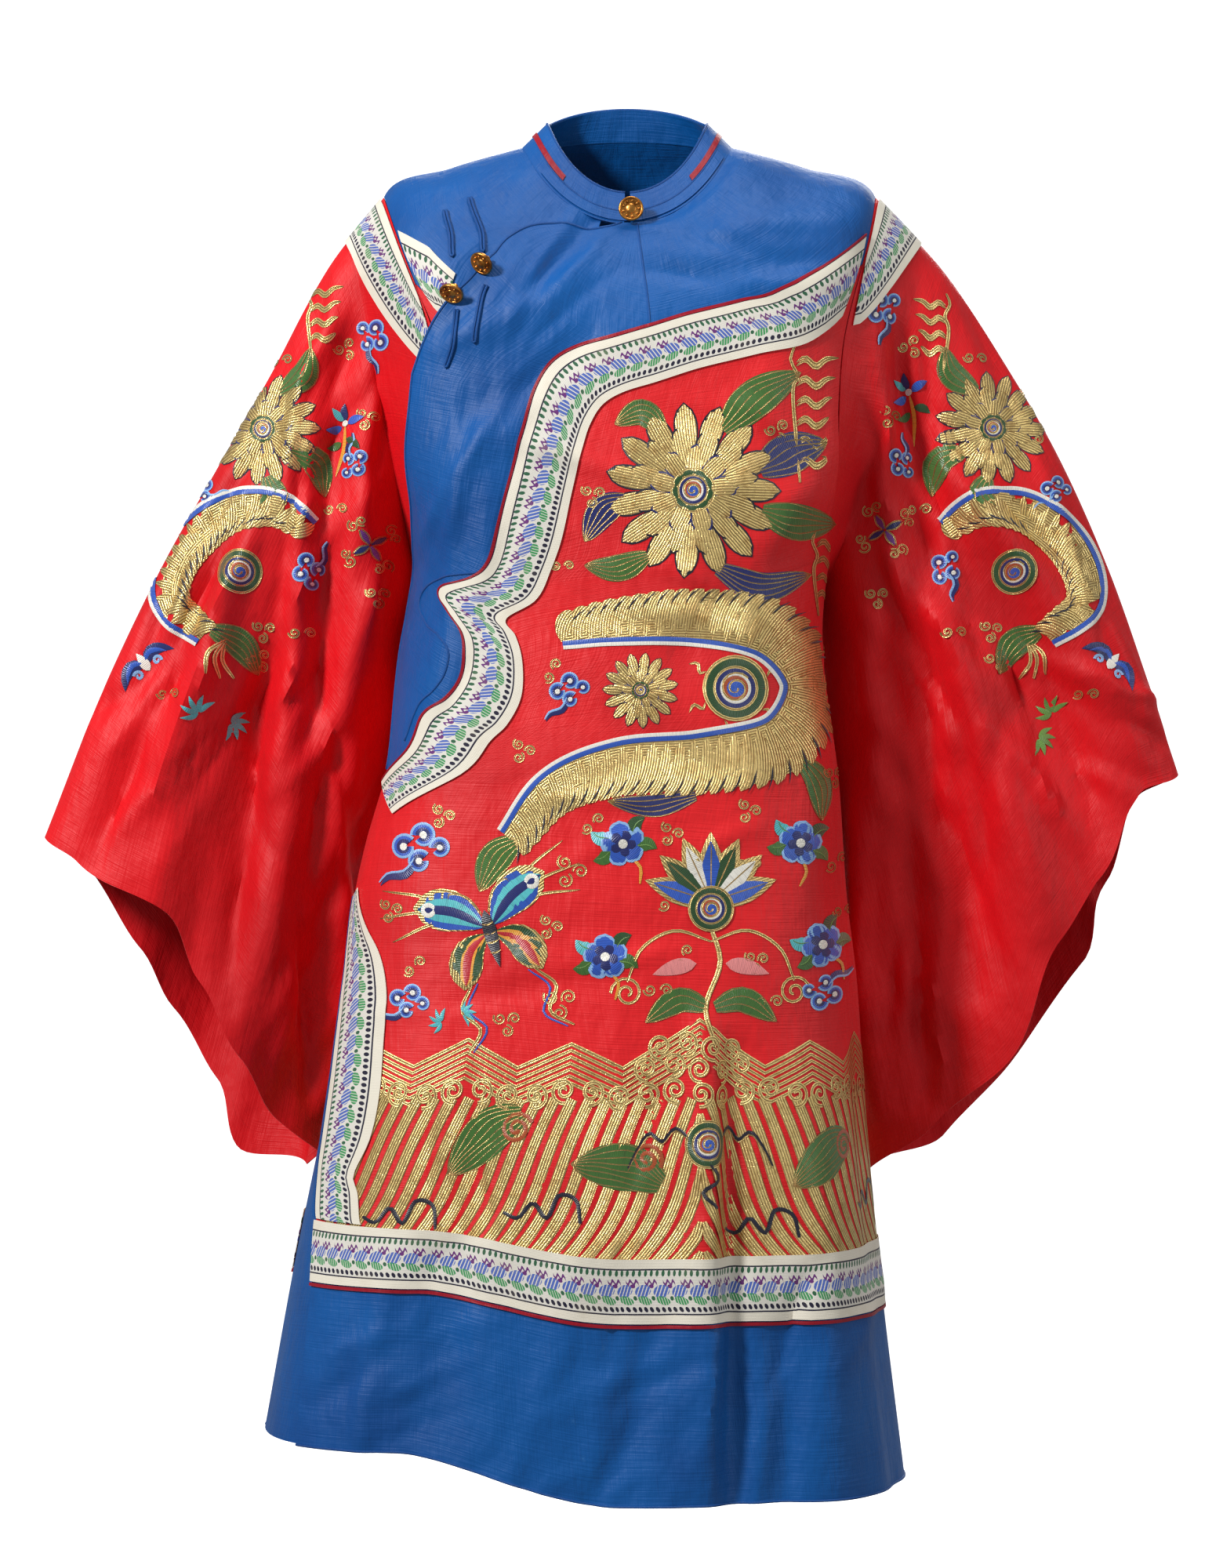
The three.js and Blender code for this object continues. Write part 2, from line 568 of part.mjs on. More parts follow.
// Moves the rim of a grid of [u, v] inward by a length, so that pieces stop short of their seams.
function insetRim(surface, grid, inset, closed) {
  const toward = (from, to) => {
    const gap = surface.point(...from).distanceTo(surface.point(...to));
    const t = Math.min(0.4, inset / Math.max(gap, 1e-6));
    return [mix(from[0], to[0], t), mix(from[1], to[1], t)];
  };
  const last = grid.length - 1;
  const rows = grid.map((row, i) => {
    if (i === 0) return row.map((p, j) => toward(p, grid[1][j]));
    if (i === last) return row.map((p, j) => toward(p, grid[last - 1][j]));
    return row;
  });
  if (closed) return rows;
  return rows.map((row) => {
    const end = row.length - 1;
    return row.map((p, j) => {
      if (j === 0) return toward(p, row[1]);
      return j === end ? toward(p, row[end - 1]) : p;
    });
  });
}

const PANEL = { low: -CLOTH / 2, high: CLOTH / 2, inset: SEAM_INSET };

// A cloth wall over a grid of [u, v]; low and high are its faces' heights above the surface.
function sheet(surface, grid, { low, high, inset } = PANEL, closed = false) {
  const inside = insetRim(surface, grid, inset, closed);
  const raised = (u, v, height) => {
    const normal = normalAt(surface.point, surface.facing, u, v);
    return surface.point(u, v).addScaledVector(normal, height);
  };
  const layer = (height) => inside.map((row) => row.map(([u, v]) => raised(u, v, height)));
  return wall(layer(high), layer(low), closed);
}

// The grid between four edges: top and bottom run the same way, and so do left and right.
function patch(top, bottom, left, right) {
  const lastColumn = top.length - 1;
  const lastRow = left.length - 1;
  return left.map((l, i) => {
    const t = i / lastRow;
    const r = right[i];
    return top.map((a, j) => {
      const s = j / lastColumn;
      return [0, 1].map((k) => {
        const edges = mix(a[k], bottom[j][k], t) + mix(l[k], r[k], s);
        const first = mix(top[0][k], bottom[0][k], t);
        const last = mix(top[lastColumn][k], bottom[lastColumn][k], t);
        return edges - mix(first, last, s);
      });
    });
  });
}

// The grid between two lines of equal length, count columns wide.
const band = (a, b, count) => a.map((p, i) => between(p, b[i], count));

// A line moved off one edge of a band, away from its other edge, by a length on the surface.
function beside(surface, edge, other, length) {
  return edge.map((p, i) => {
    const t = length / surface.point(...p).distanceTo(surface.point(...other[i]));
    return [p[0] + (p[0] - other[i][0]) * t, p[1] + (p[1] - other[i][1]) * t];
  });
}

const TRIM = { low: CLOTH / 2 + TRIM_STAND, high: CLOTH / 2 + TRIM_STAND + TRIM_WALL, inset: 0 };
const PIPE = { low: CLOTH / 2 + TRIM_STAND, high: CLOTH / 2 + TRIM_STAND + PIPING_WALL, inset: 0 };
const CORD = { low: CLOTH / 2 + 0.3, high: CLOTH / 2 + PIPING_WALL, inset: 0 };

// ---- pattern lines shared by neighbouring pieces ------------------------------------------------------
const ribbonTop = [armhole(1, YOKE_STEP - 1, "front"), ...frontLine(RIBBON_UPPER_EDGE)];
const ribbonFoot = [armhole(1, YOKE_STEP + 1, "front"), ...frontLine(RIBBON_LOWER_EDGE)];
const ribbonMiddle = midway(ribbonTop, ribbonFoot);
ribbonMiddle[0] = armhole(1, YOKE_STEP, "front");
ribbonMiddle[ribbonMiddle.length - 1] = leftSideEdge[0];

const acrossOuter = resample(ribbonMiddle.slice(0, SEAM_FOOT + 1), ACROSS_OUTER_STEPS);
const acrossInner = resample(ribbonMiddle.slice(SEAM_FOOT, RIBBON_CORNER + 1), ACROSS_INNER_STEPS);
const down = resample(ribbonMiddle.slice(RIBBON_CORNER), DOWN_STEPS);
const centreSeam = between([CENTRE_SEAM_ANGLE, NECK], ribbonMiddle[SEAM_FOOT], CENTRE_SEAM_STEPS);
const frontLeftEdge = resample(leftSideEdge, LEFT_EDGE_STEPS);
frontLeftEdge[LEFT_EDGE_STEPS][1] = BORDER;
const borderCorner = frontLeftEdge[LEFT_EDGE_STEPS];
const borderFront = between(borderCorner, [90, BORDER], PANEL_COLUMNS);
const borderBack = between([90, BORDER], [270, BORDER], BACK_COLUMNS);
const hemFront = between([HEM_CORNER_ANGLE, HEM], [90, HEM], PANEL_COLUMNS);
const hemBack = between([90, HEM], [270, HEM], BACK_COLUMNS);

const flapTurn = 5; // rows of the flap's edge where it leaves the neck and where it starts to hang
const flapHang = 9;
const flapLine = join(
  resample(flapEdge.slice(0, flapTurn + 1), CENTRE_SEAM_STEPS),
  resample(flapEdge.slice(flapTurn, flapHang + 1), ACROSS_INNER_STEPS),
  resample(flapEdge.slice(flapHang), DOWN_STEPS),
);
const flapInner = join(centreSeam, acrossInner, down);
// The flap runs out in a point, which is cut off where it is this share of its last step wide.
const tip = 0.8;
const cutTip = (line) => {
  const [a, b] = line.slice(-2);
  return [...line.slice(0, -1), [mix(a[0], b[0], tip), mix(a[1], b[1], tip)]];
};

const turned = ([u, v]) => [u + 360, v];
const rightBackArmhole = armholeLine(1, 0, ARMHOLE_STEPS, "back");
const leftBackArmhole = armholeLine(-1, 0, ARMHOLE_STEPS, "back").map(turned);
const yokeBack = steps(BACK_COLUMNS).map((t) => [
  mix(rightBackArmhole[YOKE_STEP][0], leftBackArmhole[YOKE_STEP][0], t),
  rightBackArmhole[YOKE_STEP][1] + BACK_YOKE_DROP * Math.sin(Math.PI * t),
]);

const leftYokeFoot = [armhole(-1, YOKE_STEP, "front"), ...frontLine(LEFT_YOKE_FOOT)];
const leftYokeEnd = leftYokeFoot[leftYokeFoot.length - 1];
const leftYokeHidden = resample(
  [[UNDER_NECK_ANGLE, NECK], ...frontLine(LEFT_YOKE_UNDER), leftYokeEnd],
  YOKE_DEPTH_STEPS,
);
const leftSeam = sideSeam(-90);
const freeEdge = [...flapEdge.slice(flapHang), ...leftSideEdge.slice(1)];
const lapLine = freeEdge.map(([u, v]) => [u + UNDER_LAP_ANGLE, v]);
const redLapEnd = [borderCorner[0] + UNDER_LAP_ANGLE, leftSeam[UNDER_RED_STEPS][1]];
const redLap = resample(
  [leftYokeEnd, ...lapLine.filter(([, v]) => v < redLapEnd[1] - 0.1), redLapEnd],
  ARMHOLE_STEPS - YOKE_STEP + UNDER_RED_STEPS,
);

// A trim stops this many degrees short of the armhole, and the back ribbon does so at both ends.
const ARMHOLE_CLEARANCE = 5;
const BACK_CLEARANCE = 5;
const shortOf = ([u, v]) => [u - Math.sign(u) * ARMHOLE_CLEARANCE, v];
const BACK_TRIM = { low: TRIM.low - BACK_TRIM_LOWER, high: TRIM.high - BACK_TRIM_LOWER, inset: 0 };
const backRibbonLine = refine(yokeBack).slice(1, -1).map(([u, v], i, line) => {
  if (i === 0) return [u + BACK_CLEARANCE, v];
  return i === line.length - 1 ? [u - BACK_CLEARANCE, v] : [u, v];
});

const atSection = (line, v) => line.map(([u]) => [u, v]);
const raised = (line, by) => line.map(([u, v]) => [u, v + by]);
const ribbonFrontTop = refine([shortOf(ribbonTop[0]), ...ribbonTop.slice(1)]);
const ribbonFrontFoot = refine([shortOf(ribbonFoot[0]), ...ribbonFoot.slice(1)]);
const ribbonBackTop = raised(backRibbonLine, -BACK_RIBBON_RISE);
const ribbonBackFoot = raised(backRibbonLine, BACK_RIBBON_RISE);

// ---- pieces ------------------------------------------------------------------------------------------
const pieces = [];
const add = (name, finish, geometry) => pieces.push({ name, finish, geometry });

function addOuterFront() {
  const left = join(down, frontLeftEdge);
  const right = join(armholeLine(1, YOKE_STEP, ARMHOLE_STEPS, "front"), sideSeam(90));
  const top = join(acrossOuter, acrossInner).reverse();
  add("front_panel", "redSilk", sheet(OUTER_FRONT, patch(top, borderFront, left, right)));
  add("front_flap", "blueSilk", sheet(OUTER_FRONT, band(cutTip(flapLine), cutTip(flapInner), 6)));
  const yokeTop = between([CENTRE_SEAM_ANGLE, NECK], [90, NECK], ACROSS_OUTER_STEPS + YOKE_STEP);
  const yokeFoot = join(acrossOuter.slice().reverse(), armholeLine(1, 0, YOKE_STEP, "front").reverse());
  const ridge = between([90, NECK], [90, SHOULDER], YOKE_DEPTH_STEPS);
  add("front_yoke_right", "blueSilk", sheet(OUTER_FRONT, patch(yokeTop, yokeFoot, centreSeam, ridge)));
  add("front_hem", "blueSilk", sheet(OUTER_FRONT, band(borderFront, hemFront, HEM_STEPS)));
}

function addUnderFront() {
  const top = between([UNDER_NECK_ANGLE, NECK], [-90, NECK], leftYokeFoot.length - 1 + YOKE_STEP);
  const foot = join(leftYokeFoot.slice().reverse(), armholeLine(-1, 0, YOKE_STEP, "front").reverse());
  const ridge = between([-90, NECK], [-90, SHOULDER], YOKE_DEPTH_STEPS);
  add("front_yoke_left", "blueSilk", sheet(BODY, patch(top, foot, leftYokeHidden, ridge)));
  const sideEdge = leftSeam.slice(0, UNDER_RED_STEPS + 1);
  const seam = join(armholeLine(-1, YOKE_STEP, ARMHOLE_STEPS, "front"), sideEdge);
  const lower = between(leftSeam[UNDER_RED_STEPS], redLapEnd, leftYokeFoot.length - 1);
  add("under_front", "redSilk", sheet(BODY, patch(leftYokeFoot, lower, seam, redLap)));
  const hemSeam = join(leftSeam.slice(UNDER_RED_STEPS), between([-90, BORDER], [-90, HEM], HEM_STEPS));
  const hemLap = resample([redLapEnd, [HEM_CORNER_ANGLE + UNDER_LAP_ANGLE, HEM]], hemSeam.length - 1);
  add("under_front_border", "blueSilk", sheet(BODY, band(hemSeam, hemLap, 3)));
}

function addBack() {
  const yokeTop = between([90, NECK], [270, NECK], BACK_COLUMNS + 2 * YOKE_STEP);
  const yokeFoot = join(
    rightBackArmhole.slice(0, YOKE_STEP + 1),
    yokeBack,
    leftBackArmhole.slice(0, YOKE_STEP + 1).reverse(),
  );
  const rightRidge = between([90, NECK], [90, SHOULDER], YOKE_DEPTH_STEPS);
  const leftRidge = between([270, NECK], [270, SHOULDER], YOKE_DEPTH_STEPS);
  add("back_yoke", "blueSilk", sheet(BODY, patch(yokeTop, yokeFoot, rightRidge, leftRidge)));
  const right = join(rightBackArmhole.slice(YOKE_STEP), sideSeam(90));
  const left = join(leftBackArmhole.slice(YOKE_STEP), sideSeam(270));
  add("back_panel", "redSilk", sheet(BODY, patch(yokeBack, borderBack, right, left)));
  add("back_hem", "blueSilk", sheet(BODY, band(borderBack, hemBack, HEM_STEPS)));
}

// Armhole steps and cuff rows meet the body's steps, so the two edges run side by side.
function addSleeve(name, surface) {
  const around = Array.from({ length: 2 * ARMHOLE_STEPS }, (_, k) => (180 * k) / ARMHOLE_STEPS);
  const start = (u) => mix(SLEEVE_START.tip, SLEEVE_START.underarm, ((1 - Math.cos(radians(u))) / 2) ** 2);
  const grid = steps(SLEEVE_STEPS).map((v) => around.map((u) => [u, mix(start(u), 1, v)]));
  add(name, "redSilk", sheet(surface, grid, PANEL, true));
}

function addRibbons() {
  add("ribbon_front", "ribbon", sheet(OUTER_FRONT, band(ribbonFrontTop, ribbonFrontFoot, 4), TRIM));
  const hemBand = (line) => band(atSection(line, HEM_RIBBON_TOP), atSection(line, HEM_RIBBON_FOOT), 3);
  add("ribbon_hem_front", "ribbon", sheet(OUTER_FRONT, hemBand(borderFront), TRIM));
  add("ribbon_hem_back", "ribbon", sheet(BODY, hemBand(borderBack), TRIM));
  add("ribbon_back", "ribbon", sheet(BODY, band(ribbonBackTop, ribbonBackFoot, 4), BACK_TRIM));
  const leftStart = (step) => shortOf(armhole(-1, step, "front"));
  const leftTop = refine([leftStart(LEFT_RIBBON_STEP.top), ...frontLine(LEFT_RIBBON_TOP)]);
  const leftFoot = refine([leftStart(LEFT_RIBBON_STEP.foot), ...frontLine(LEFT_RIBBON_FOOT)]);
  add("ribbon_front_left", "ribbon", sheet(BODY, band(leftTop, leftFoot, 3), TRIM));
}

// The ribbon up the left vent and the narrow blue edge outside it. Both end at the hem ribbon.
function addVentTrim() {
  const inner = resample(frontLine(VENT_RIBBON_INNER), VENT_STEPS);
  const inVent = leftSideEdge.filter(([, v]) => v < HEM_RIBBON_TOP && v > inner[0][1]);
  const edge = resample(inVent, VENT_STEPS);
  const towardFront = inner.map(([u, v]) => [u + VENT_REACH_ANGLE, v]);
  const inFrom = (length) => beside(OUTER_FRONT, edge, towardFront, -length);
  const foot = HEM_RIBBON_TOP - VENT_GAP;
  const meet = (line) => line.map(([u, v], i) => [u, mix(v, foot, (i / VENT_STEPS) ** 8)]);
  const ribbonOuter = meet(inFrom(VENT_BORDER_WIDTH));
  add("ribbon_vent", "ribbon", sheet(OUTER_FRONT, band(ribbonOuter, meet(inner), 4), TRIM));
  const borderInner = meet(inFrom(VENT_BORDER_WIDTH - VENT_SEAM));
  add("vent_border", "blueSilk", sheet(OUTER_FRONT, band(meet(edge), borderInner, 1), TRIM));
}

// A narrow raised strip along one edge of a band, just outside it.
function edging(surface, line, other, gap, width, heights) {
  const near = beside(surface, line, other, gap);
  const far = beside(surface, line, other, gap + width);
  return sheet(surface, band(near, far, 1), heights);
}

function addPiping() {
  const pipe = (name, surface, line, other) =>
    add(name, "piping", edging(surface, line, other, PIPING_GAP, PIPING_WIDTH, PIPE));
  const hem = (line) => [atSection(line, HEM_RIBBON_FOOT), atSection(line, HEM_RIBBON_TOP)];
  pipe("piping_front", OUTER_FRONT, ribbonFrontTop, ribbonFrontFoot);
  pipe("piping_hem_front", OUTER_FRONT, ...hem(borderFront));
  pipe("piping_hem_back", BODY, ...hem(borderBack));
  pipe("piping_back", BODY, ribbonBackTop, ribbonBackFoot);
  const flap = flapLine.slice(1, -2);
  const inside = flapInner.slice(1, -2);
  add("piping_flap", "blueSilk", edging(OUTER_FRONT, flap, inside, -PIPING_WIDTH, PIPING_WIDTH - 0.3, CORD));
  const seam = centreSeam.slice(0, -1).map(([u, v]) => [u, Math.max(v, CENTRE_PIPING_START)]);
  const beyond = (by) => seam.map(([u, v]) => [u + by, v]);
  const ridge = band(beyond(-CENTRE_PIPING_ANGLE), beyond(CENTRE_PIPING_ANGLE), 2);
  add("piping_centre", "blueSilk", sheet(OUTER_FRONT, ridge, CORD));
}

function addSleeveRibbon(side, surface) {
  const { start, reach, innerAngle, outerAngle, steps: count, columns, lower } = SLEEVE_RIBBON;
  const turn = steps(count).map((t) => 2 * t - 1);
  const inner = turn.map((t) => [innerAngle * t, start]);
  const outer = turn.map((t) => [outerAngle * t, start + reach * Math.cos((t * Math.PI) / 2)]);
  const heights = { low: TRIM.low - lower[side], high: TRIM.high - lower[side], inset: 0 };
  add("ribbon_sleeve_" + side, "ribbon", sheet(surface, band(inner, outer, columns), heights));
}

function addCollar() {
  const height = collarPoint(90, 0).distanceTo(collarPoint(90, 1));
  const whole = between([COLLAR_NOTCH_ANGLE], [360 - COLLAR_NOTCH_ANGLE], COLLAR_STEPS).map(([u]) => u);
  const level = (angles, v) => angles.map((u) => [u, v]);
  const ring = (angles, low, high, count) => band(level(angles, low), level(angles, high), count);
  const stand = { low: -COLLAR_WALL / 2, high: COLLAR_WALL / 2, inset: 0 };
  add("collar", "blueSilk", sheet(COLLAR, ring(whole, COLLAR_SEAT / height, 1, 3), stand));
  const seat = COLLAR_WALL / 2 + 0.3;
  const on = { low: seat, high: seat + TRIM_WALL, inset: 0 };
  const { skip, low, high } = COLLAR_STRIPE;
  add("collar_stripe", "piping", sheet(COLLAR, ring(whole.slice(skip, -skip), low, high, 1), on));
  const left = whole.slice(-COLLAR_BAND.leftSteps).map((u) => u - 360);
  const front = [...left, ...whole.slice(0, COLLAR_BAND.rightSteps)];
  add("collar_band", "blueSilk", sheet(COLLAR, ring(front, COLLAR_BAND.low, COLLAR_BAND.high, 1), on));
}

function addFrog({ name, onFlap, ends }) {
  const surface = onFlap ? OUTER_FRONT : BODY;
  const line = resample(frontLine(ends.map(([x, z]) => ({ x, z }))), FROG_STEPS);
  const sideways = line.map((p, i) => {
    const near = [line[Math.max(0, i - 1)], line[Math.min(FROG_STEPS, i + 1)]];
    const [a, b] = near.map((q) => surface.point(...q));
    return b.sub(a).normalize().cross(normalAt(surface.point, surface.facing, ...p));
  });
  const shifted = (by) => line.map((p, i) => onFront(surface.point(...p).addScaledVector(sideways[i], by)));
  const on = { low: CLOTH / 2 + FROG_STAND, high: CLOTH / 2 + FROG_STAND + FROG_WALL, inset: 0 };
  const bar = band(shifted(-FROG_WIDTH / 2), shifted(FROG_WIDTH / 2), 1);
  add("frog_" + name, "blueSilk", sheet(surface, bar, on));
}

// A cast button: a shank, a flat disc and a raised rim round a low boss.
function buttonProfile(shank) {
  const { neck, back, edge, rim, well, boss, bossEdge, top } = BUTTON;
  return [
    [0, -shank],
    [neck, -shank],
    [neck, -back],
    [BUTTON_RADIUS - edge, -back],
    [BUTTON_RADIUS, -back / 3],
    [BUTTON_RADIUS, edge],
    [BUTTON_RADIUS - edge, rim],
    [BUTTON_RADIUS - BUTTON.rimWidth, well],
    [bossEdge, well],
    [boss, top - well],
    [0, top],
  ].map(([r, y]) => new THREE.Vector2(r, y));
}

function addButton({ name, at, stand, shankGap, tilt, turn }) {
  const geometry = new THREE.LatheGeometry(buttonProfile(stand - shankGap), BUTTON_SIDES);
  const [u, v] = onFront(at);
  const seat = outerFrontPoint(u, v).addScaledVector(normalAt(bodyPoint, -1, u, v), stand);
  const axis = new THREE.Vector3(0, -1, 0);
  axis.applyAxisAngle(new THREE.Vector3(1, 0, 0), -radians(tilt));
  axis.applyAxisAngle(new THREE.Vector3(0, 0, 1), radians(turn));
  geometry.applyQuaternion(new THREE.Quaternion().setFromUnitVectors(new THREE.Vector3(0, 1, 0), axis));
  geometry.translate(seat.x, seat.y, seat.z);
  add(name, "brass", geometry);
}

addOuterFront();
addUnderFront();
addBack();
addSleeve("sleeve_right", SLEEVE_RIGHT);
addSleeve("sleeve_left", SLEEVE_LEFT);
addRibbons();
addVentTrim();
addPiping();
addSleeveRibbon("right", SLEEVE_RIGHT);
addSleeveRibbon("left", SLEEVE_LEFT);
addCollar();
FROGS.forEach(addFrog);
BUTTONS.forEach(addButton);

// ---- scene -------------------------------------------------------------------------------------------
const robe = new THREE.Group();
pieces.forEach(({ name, finish, geometry }) => {
  const mesh = new THREE.Mesh(geometry, new THREE.MeshStandardMaterial(FINISH[finish]));
  mesh.name = name;
  robe.add(mesh);
});

export default robe;
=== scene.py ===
"""Looks of a knee-length, side-fastening silk robe with wide sleeves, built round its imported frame.

Lengths are millimetres until a mesh is made, with +Z up and the front facing -Y. Every cloth piece
is a thin shell on the body, a sleeve or the collar, cut along the same seam lines as its solid.
"""
from __future__ import annotations

import logging
import math
import random
from collections.abc import Callable, Sequence
from dataclasses import dataclass, field
from enum import Enum

import bpy
import numpy as np
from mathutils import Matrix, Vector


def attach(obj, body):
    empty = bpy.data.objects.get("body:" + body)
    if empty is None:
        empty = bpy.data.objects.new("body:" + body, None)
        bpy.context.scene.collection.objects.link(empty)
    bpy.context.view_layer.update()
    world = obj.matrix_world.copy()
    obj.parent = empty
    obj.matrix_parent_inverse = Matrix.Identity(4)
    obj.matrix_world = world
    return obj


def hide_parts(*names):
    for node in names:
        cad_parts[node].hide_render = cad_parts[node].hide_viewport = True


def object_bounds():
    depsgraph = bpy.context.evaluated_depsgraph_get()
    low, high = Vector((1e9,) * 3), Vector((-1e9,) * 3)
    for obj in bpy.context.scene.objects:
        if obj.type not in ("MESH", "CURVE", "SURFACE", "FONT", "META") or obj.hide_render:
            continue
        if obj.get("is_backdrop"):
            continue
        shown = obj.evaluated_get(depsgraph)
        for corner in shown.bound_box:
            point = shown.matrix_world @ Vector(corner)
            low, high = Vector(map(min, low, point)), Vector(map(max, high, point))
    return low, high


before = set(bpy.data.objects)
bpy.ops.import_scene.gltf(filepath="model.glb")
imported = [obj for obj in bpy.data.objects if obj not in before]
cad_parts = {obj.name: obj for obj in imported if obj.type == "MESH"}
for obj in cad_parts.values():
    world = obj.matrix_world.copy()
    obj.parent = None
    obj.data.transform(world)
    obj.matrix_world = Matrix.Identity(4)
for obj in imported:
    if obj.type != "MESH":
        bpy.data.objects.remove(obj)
CAD_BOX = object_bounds()
LOG = logging.getLogger("robe")
MM = 0.001
Line = np.ndarray
Colour = tuple[float, float, float]


# ---- small maths ---------------------------------------------------------------------------------
def smooth(t: np.ndarray | float) -> np.ndarray:
    """Ease from 0 to 1."""
    u = np.clip(t, 0.0, 1.0)
    return u * u * (3.0 - 2.0 * u)


def rows_at(table: np.ndarray, row: np.ndarray | float) -> np.ndarray:
    """Read a table at fractional rows, on a smooth curve through its rows.

    Args:
        table: one row of values for each station.
        row: fractional row numbers, of any shape.

    Returns:
        The values, with the table's columns as the last axis.
    """
    last = len(table) - 1
    row = np.asarray(row, float)
    i = np.clip(np.floor(row).astype(int), 0, last - 1)
    t = (row - i)[..., None]
    before, start = table[np.maximum(i - 1, 0)], table[i]
    end, after = table[i + 1], table[np.minimum(i + 2, last)]
    slope_a = np.where((i == 0)[..., None], end - start, (end - before) / 2)
    slope_b = np.where((i == last - 1)[..., None], end - start, (after - start) / 2)
    t2, t3 = t * t, t * t * t
    return (
        (2 * t3 - 3 * t2 + 1) * start + (t3 - 2 * t2 + t) * slope_a
        + (3 * t2 - 2 * t3) * end + (t3 - t2) * slope_b
    )


def evenly(line: Line, count: int, scale: Sequence[float] = (1.0, 1.0)) -> Line:
    """Space count + 1 points evenly along a line.

    Args:
        line: points in a row.
        count: number of steps.
        scale: length of one unit of each coordinate.

    Returns:
        The new points.
    """
    line = np.asarray(line, float)
    steps = np.linalg.norm(np.diff(line * np.asarray(scale), axis=0), axis=1)
    along = np.concatenate([[0.0], np.cumsum(steps)])
    at = np.linspace(0.0, along[-1], count + 1)
    return np.stack([np.interp(at, along, line[:, k]) for k in range(line.shape[1])], axis=-1)


def curve(points: Sequence[Sequence[float]], count: int, scale: Sequence[float] = (1.0, 1.0)) -> Line:
    """Space points evenly on a smooth curve through a few points."""
    table = np.asarray(points, float)
    fine = rows_at(table, np.linspace(0.0, len(table) - 1, 12 * len(table)))
    return evenly(fine, count, scale)


def between(a: Sequence[float], b: Sequence[float], count: int) -> Line:
    """Space count + 1 points from a to b."""
    t = np.linspace(0.0, 1.0, count + 1)[:, None]
    return np.asarray(a, float) * (1 - t) + np.asarray(b, float) * t


def band(a: Line, b: Line, count: int) -> np.ndarray:
    """Grid between two lines of equal length, count columns wide."""
    t = np.linspace(0.0, 1.0, count + 1)[None, :, None]
    return a[:, None] * (1 - t) + b[:, None] * t


def patch(top: Line, bottom: Line, left: Line, right: Line) -> np.ndarray:
    """Grid between four edges; top and bottom run the same way, and so do left and right."""
    s = np.linspace(0.0, 1.0, len(top))[None, :, None]
    t = np.linspace(0.0, 1.0, len(left))[:, None, None]
    edges = top[None] * (1 - t) + bottom[None] * t + left[:, None] * (1 - s) + right[:, None] * s
    first = top[0] * (1 - t) + bottom[0] * t
    last = top[-1] * (1 - t) + bottom[-1] * t
    return edges - (first * (1 - s) + last * s)


# ---- the form: the same sections, folds and edges as the solids ------------------------------------
ROUND = (3.2, 85.0)  # millimetres for a degree round the body and for a section down it
SQUARENESS = 0.2
NECK, SHOULDER, UNDERARM, BORDER, HEM = 0, 2, 5, 11, 12
ARMHOLE_STEPS = 12
YOKE_STEP = 3
FLAP_LIFT = 4.4
FLAP_HELD = 88.0
FLAP_SETTLE = 60.0
HITCH_FROM = 7.0
HITCH_RISE = 40.0

# centre, half width, front depth, back depth, front z, side z, back z
SECTIONS = np.array([
    [0, 86, 75, 55, -72, 0, 14],
    [1, 146, 100, 82, -114, -17, -28],
    [2, 203, 118, 102, -162, -41, -95],
    [0, 200, 127, 110, -222, -140, -172],
    [-2, 196, 131, 110, -292, -240, -262],
    [-3, 171, 132, 107, -372, -335, -352],
    [-12, 173, 134, 107, -446, -424, -440],
    [-12, 186, 138, 112, -532, -519, -528],
    [-20, 201, 144, 120, -622, -616, -620],
    [-20, 210, 149, 128, -700, -694, -700],
    [-26, 224, 155, 137, -822, -815, -820],
    [-32, 243, 160, 147, -950, -950, -950],
    [-35, 264, 166, 158, -1097, -1097, -1092],
], float)


@dataclass(frozen=True)
class Fold:
    """A fold that grows along a surface: where round it, how wide in degrees, and how deep."""

    at: float
    width: float
    depth: float
    start: float
    full: float


BODY_FOLDS = (
    Fold(28, 11, -8, 8.6, 11.5),
    Fold(10, 11, 7, 8.6, 12),
    Fold(44, 9, 5, 9, 12),
    Fold(-12, 8, 4, 9.5, 12),
    Fold(-30, 8, -4, 9.5, 12),
    Fold(72, 8, -5, 6, 11),
    Fold(214, 10, 9, 7, 12),
    Fold(236, 9, -8, 7, 12),
    Fold(184, 8, -9, 6.5, 12),
    Fold(156, 10, 8, 7, 12),
    Fold(128, 9, -7, 7, 12),
)


def fold_depth(folds: Sequence[Fold], angle: np.ndarray, along: np.ndarray) -> np.ndarray:
    """Sum the depths of some folds at an angle and a place along."""
    total = np.zeros(np.broadcast(angle, along).shape)
    for fold in folds:
        away = (np.mod(angle - fold.at + 180.0, 360.0) - 180.0) / fold.width
        grown = smooth((along - fold.start) / (fold.full - fold.start))
        total = total + fold.depth * grown * np.exp(-away * away)
    return total


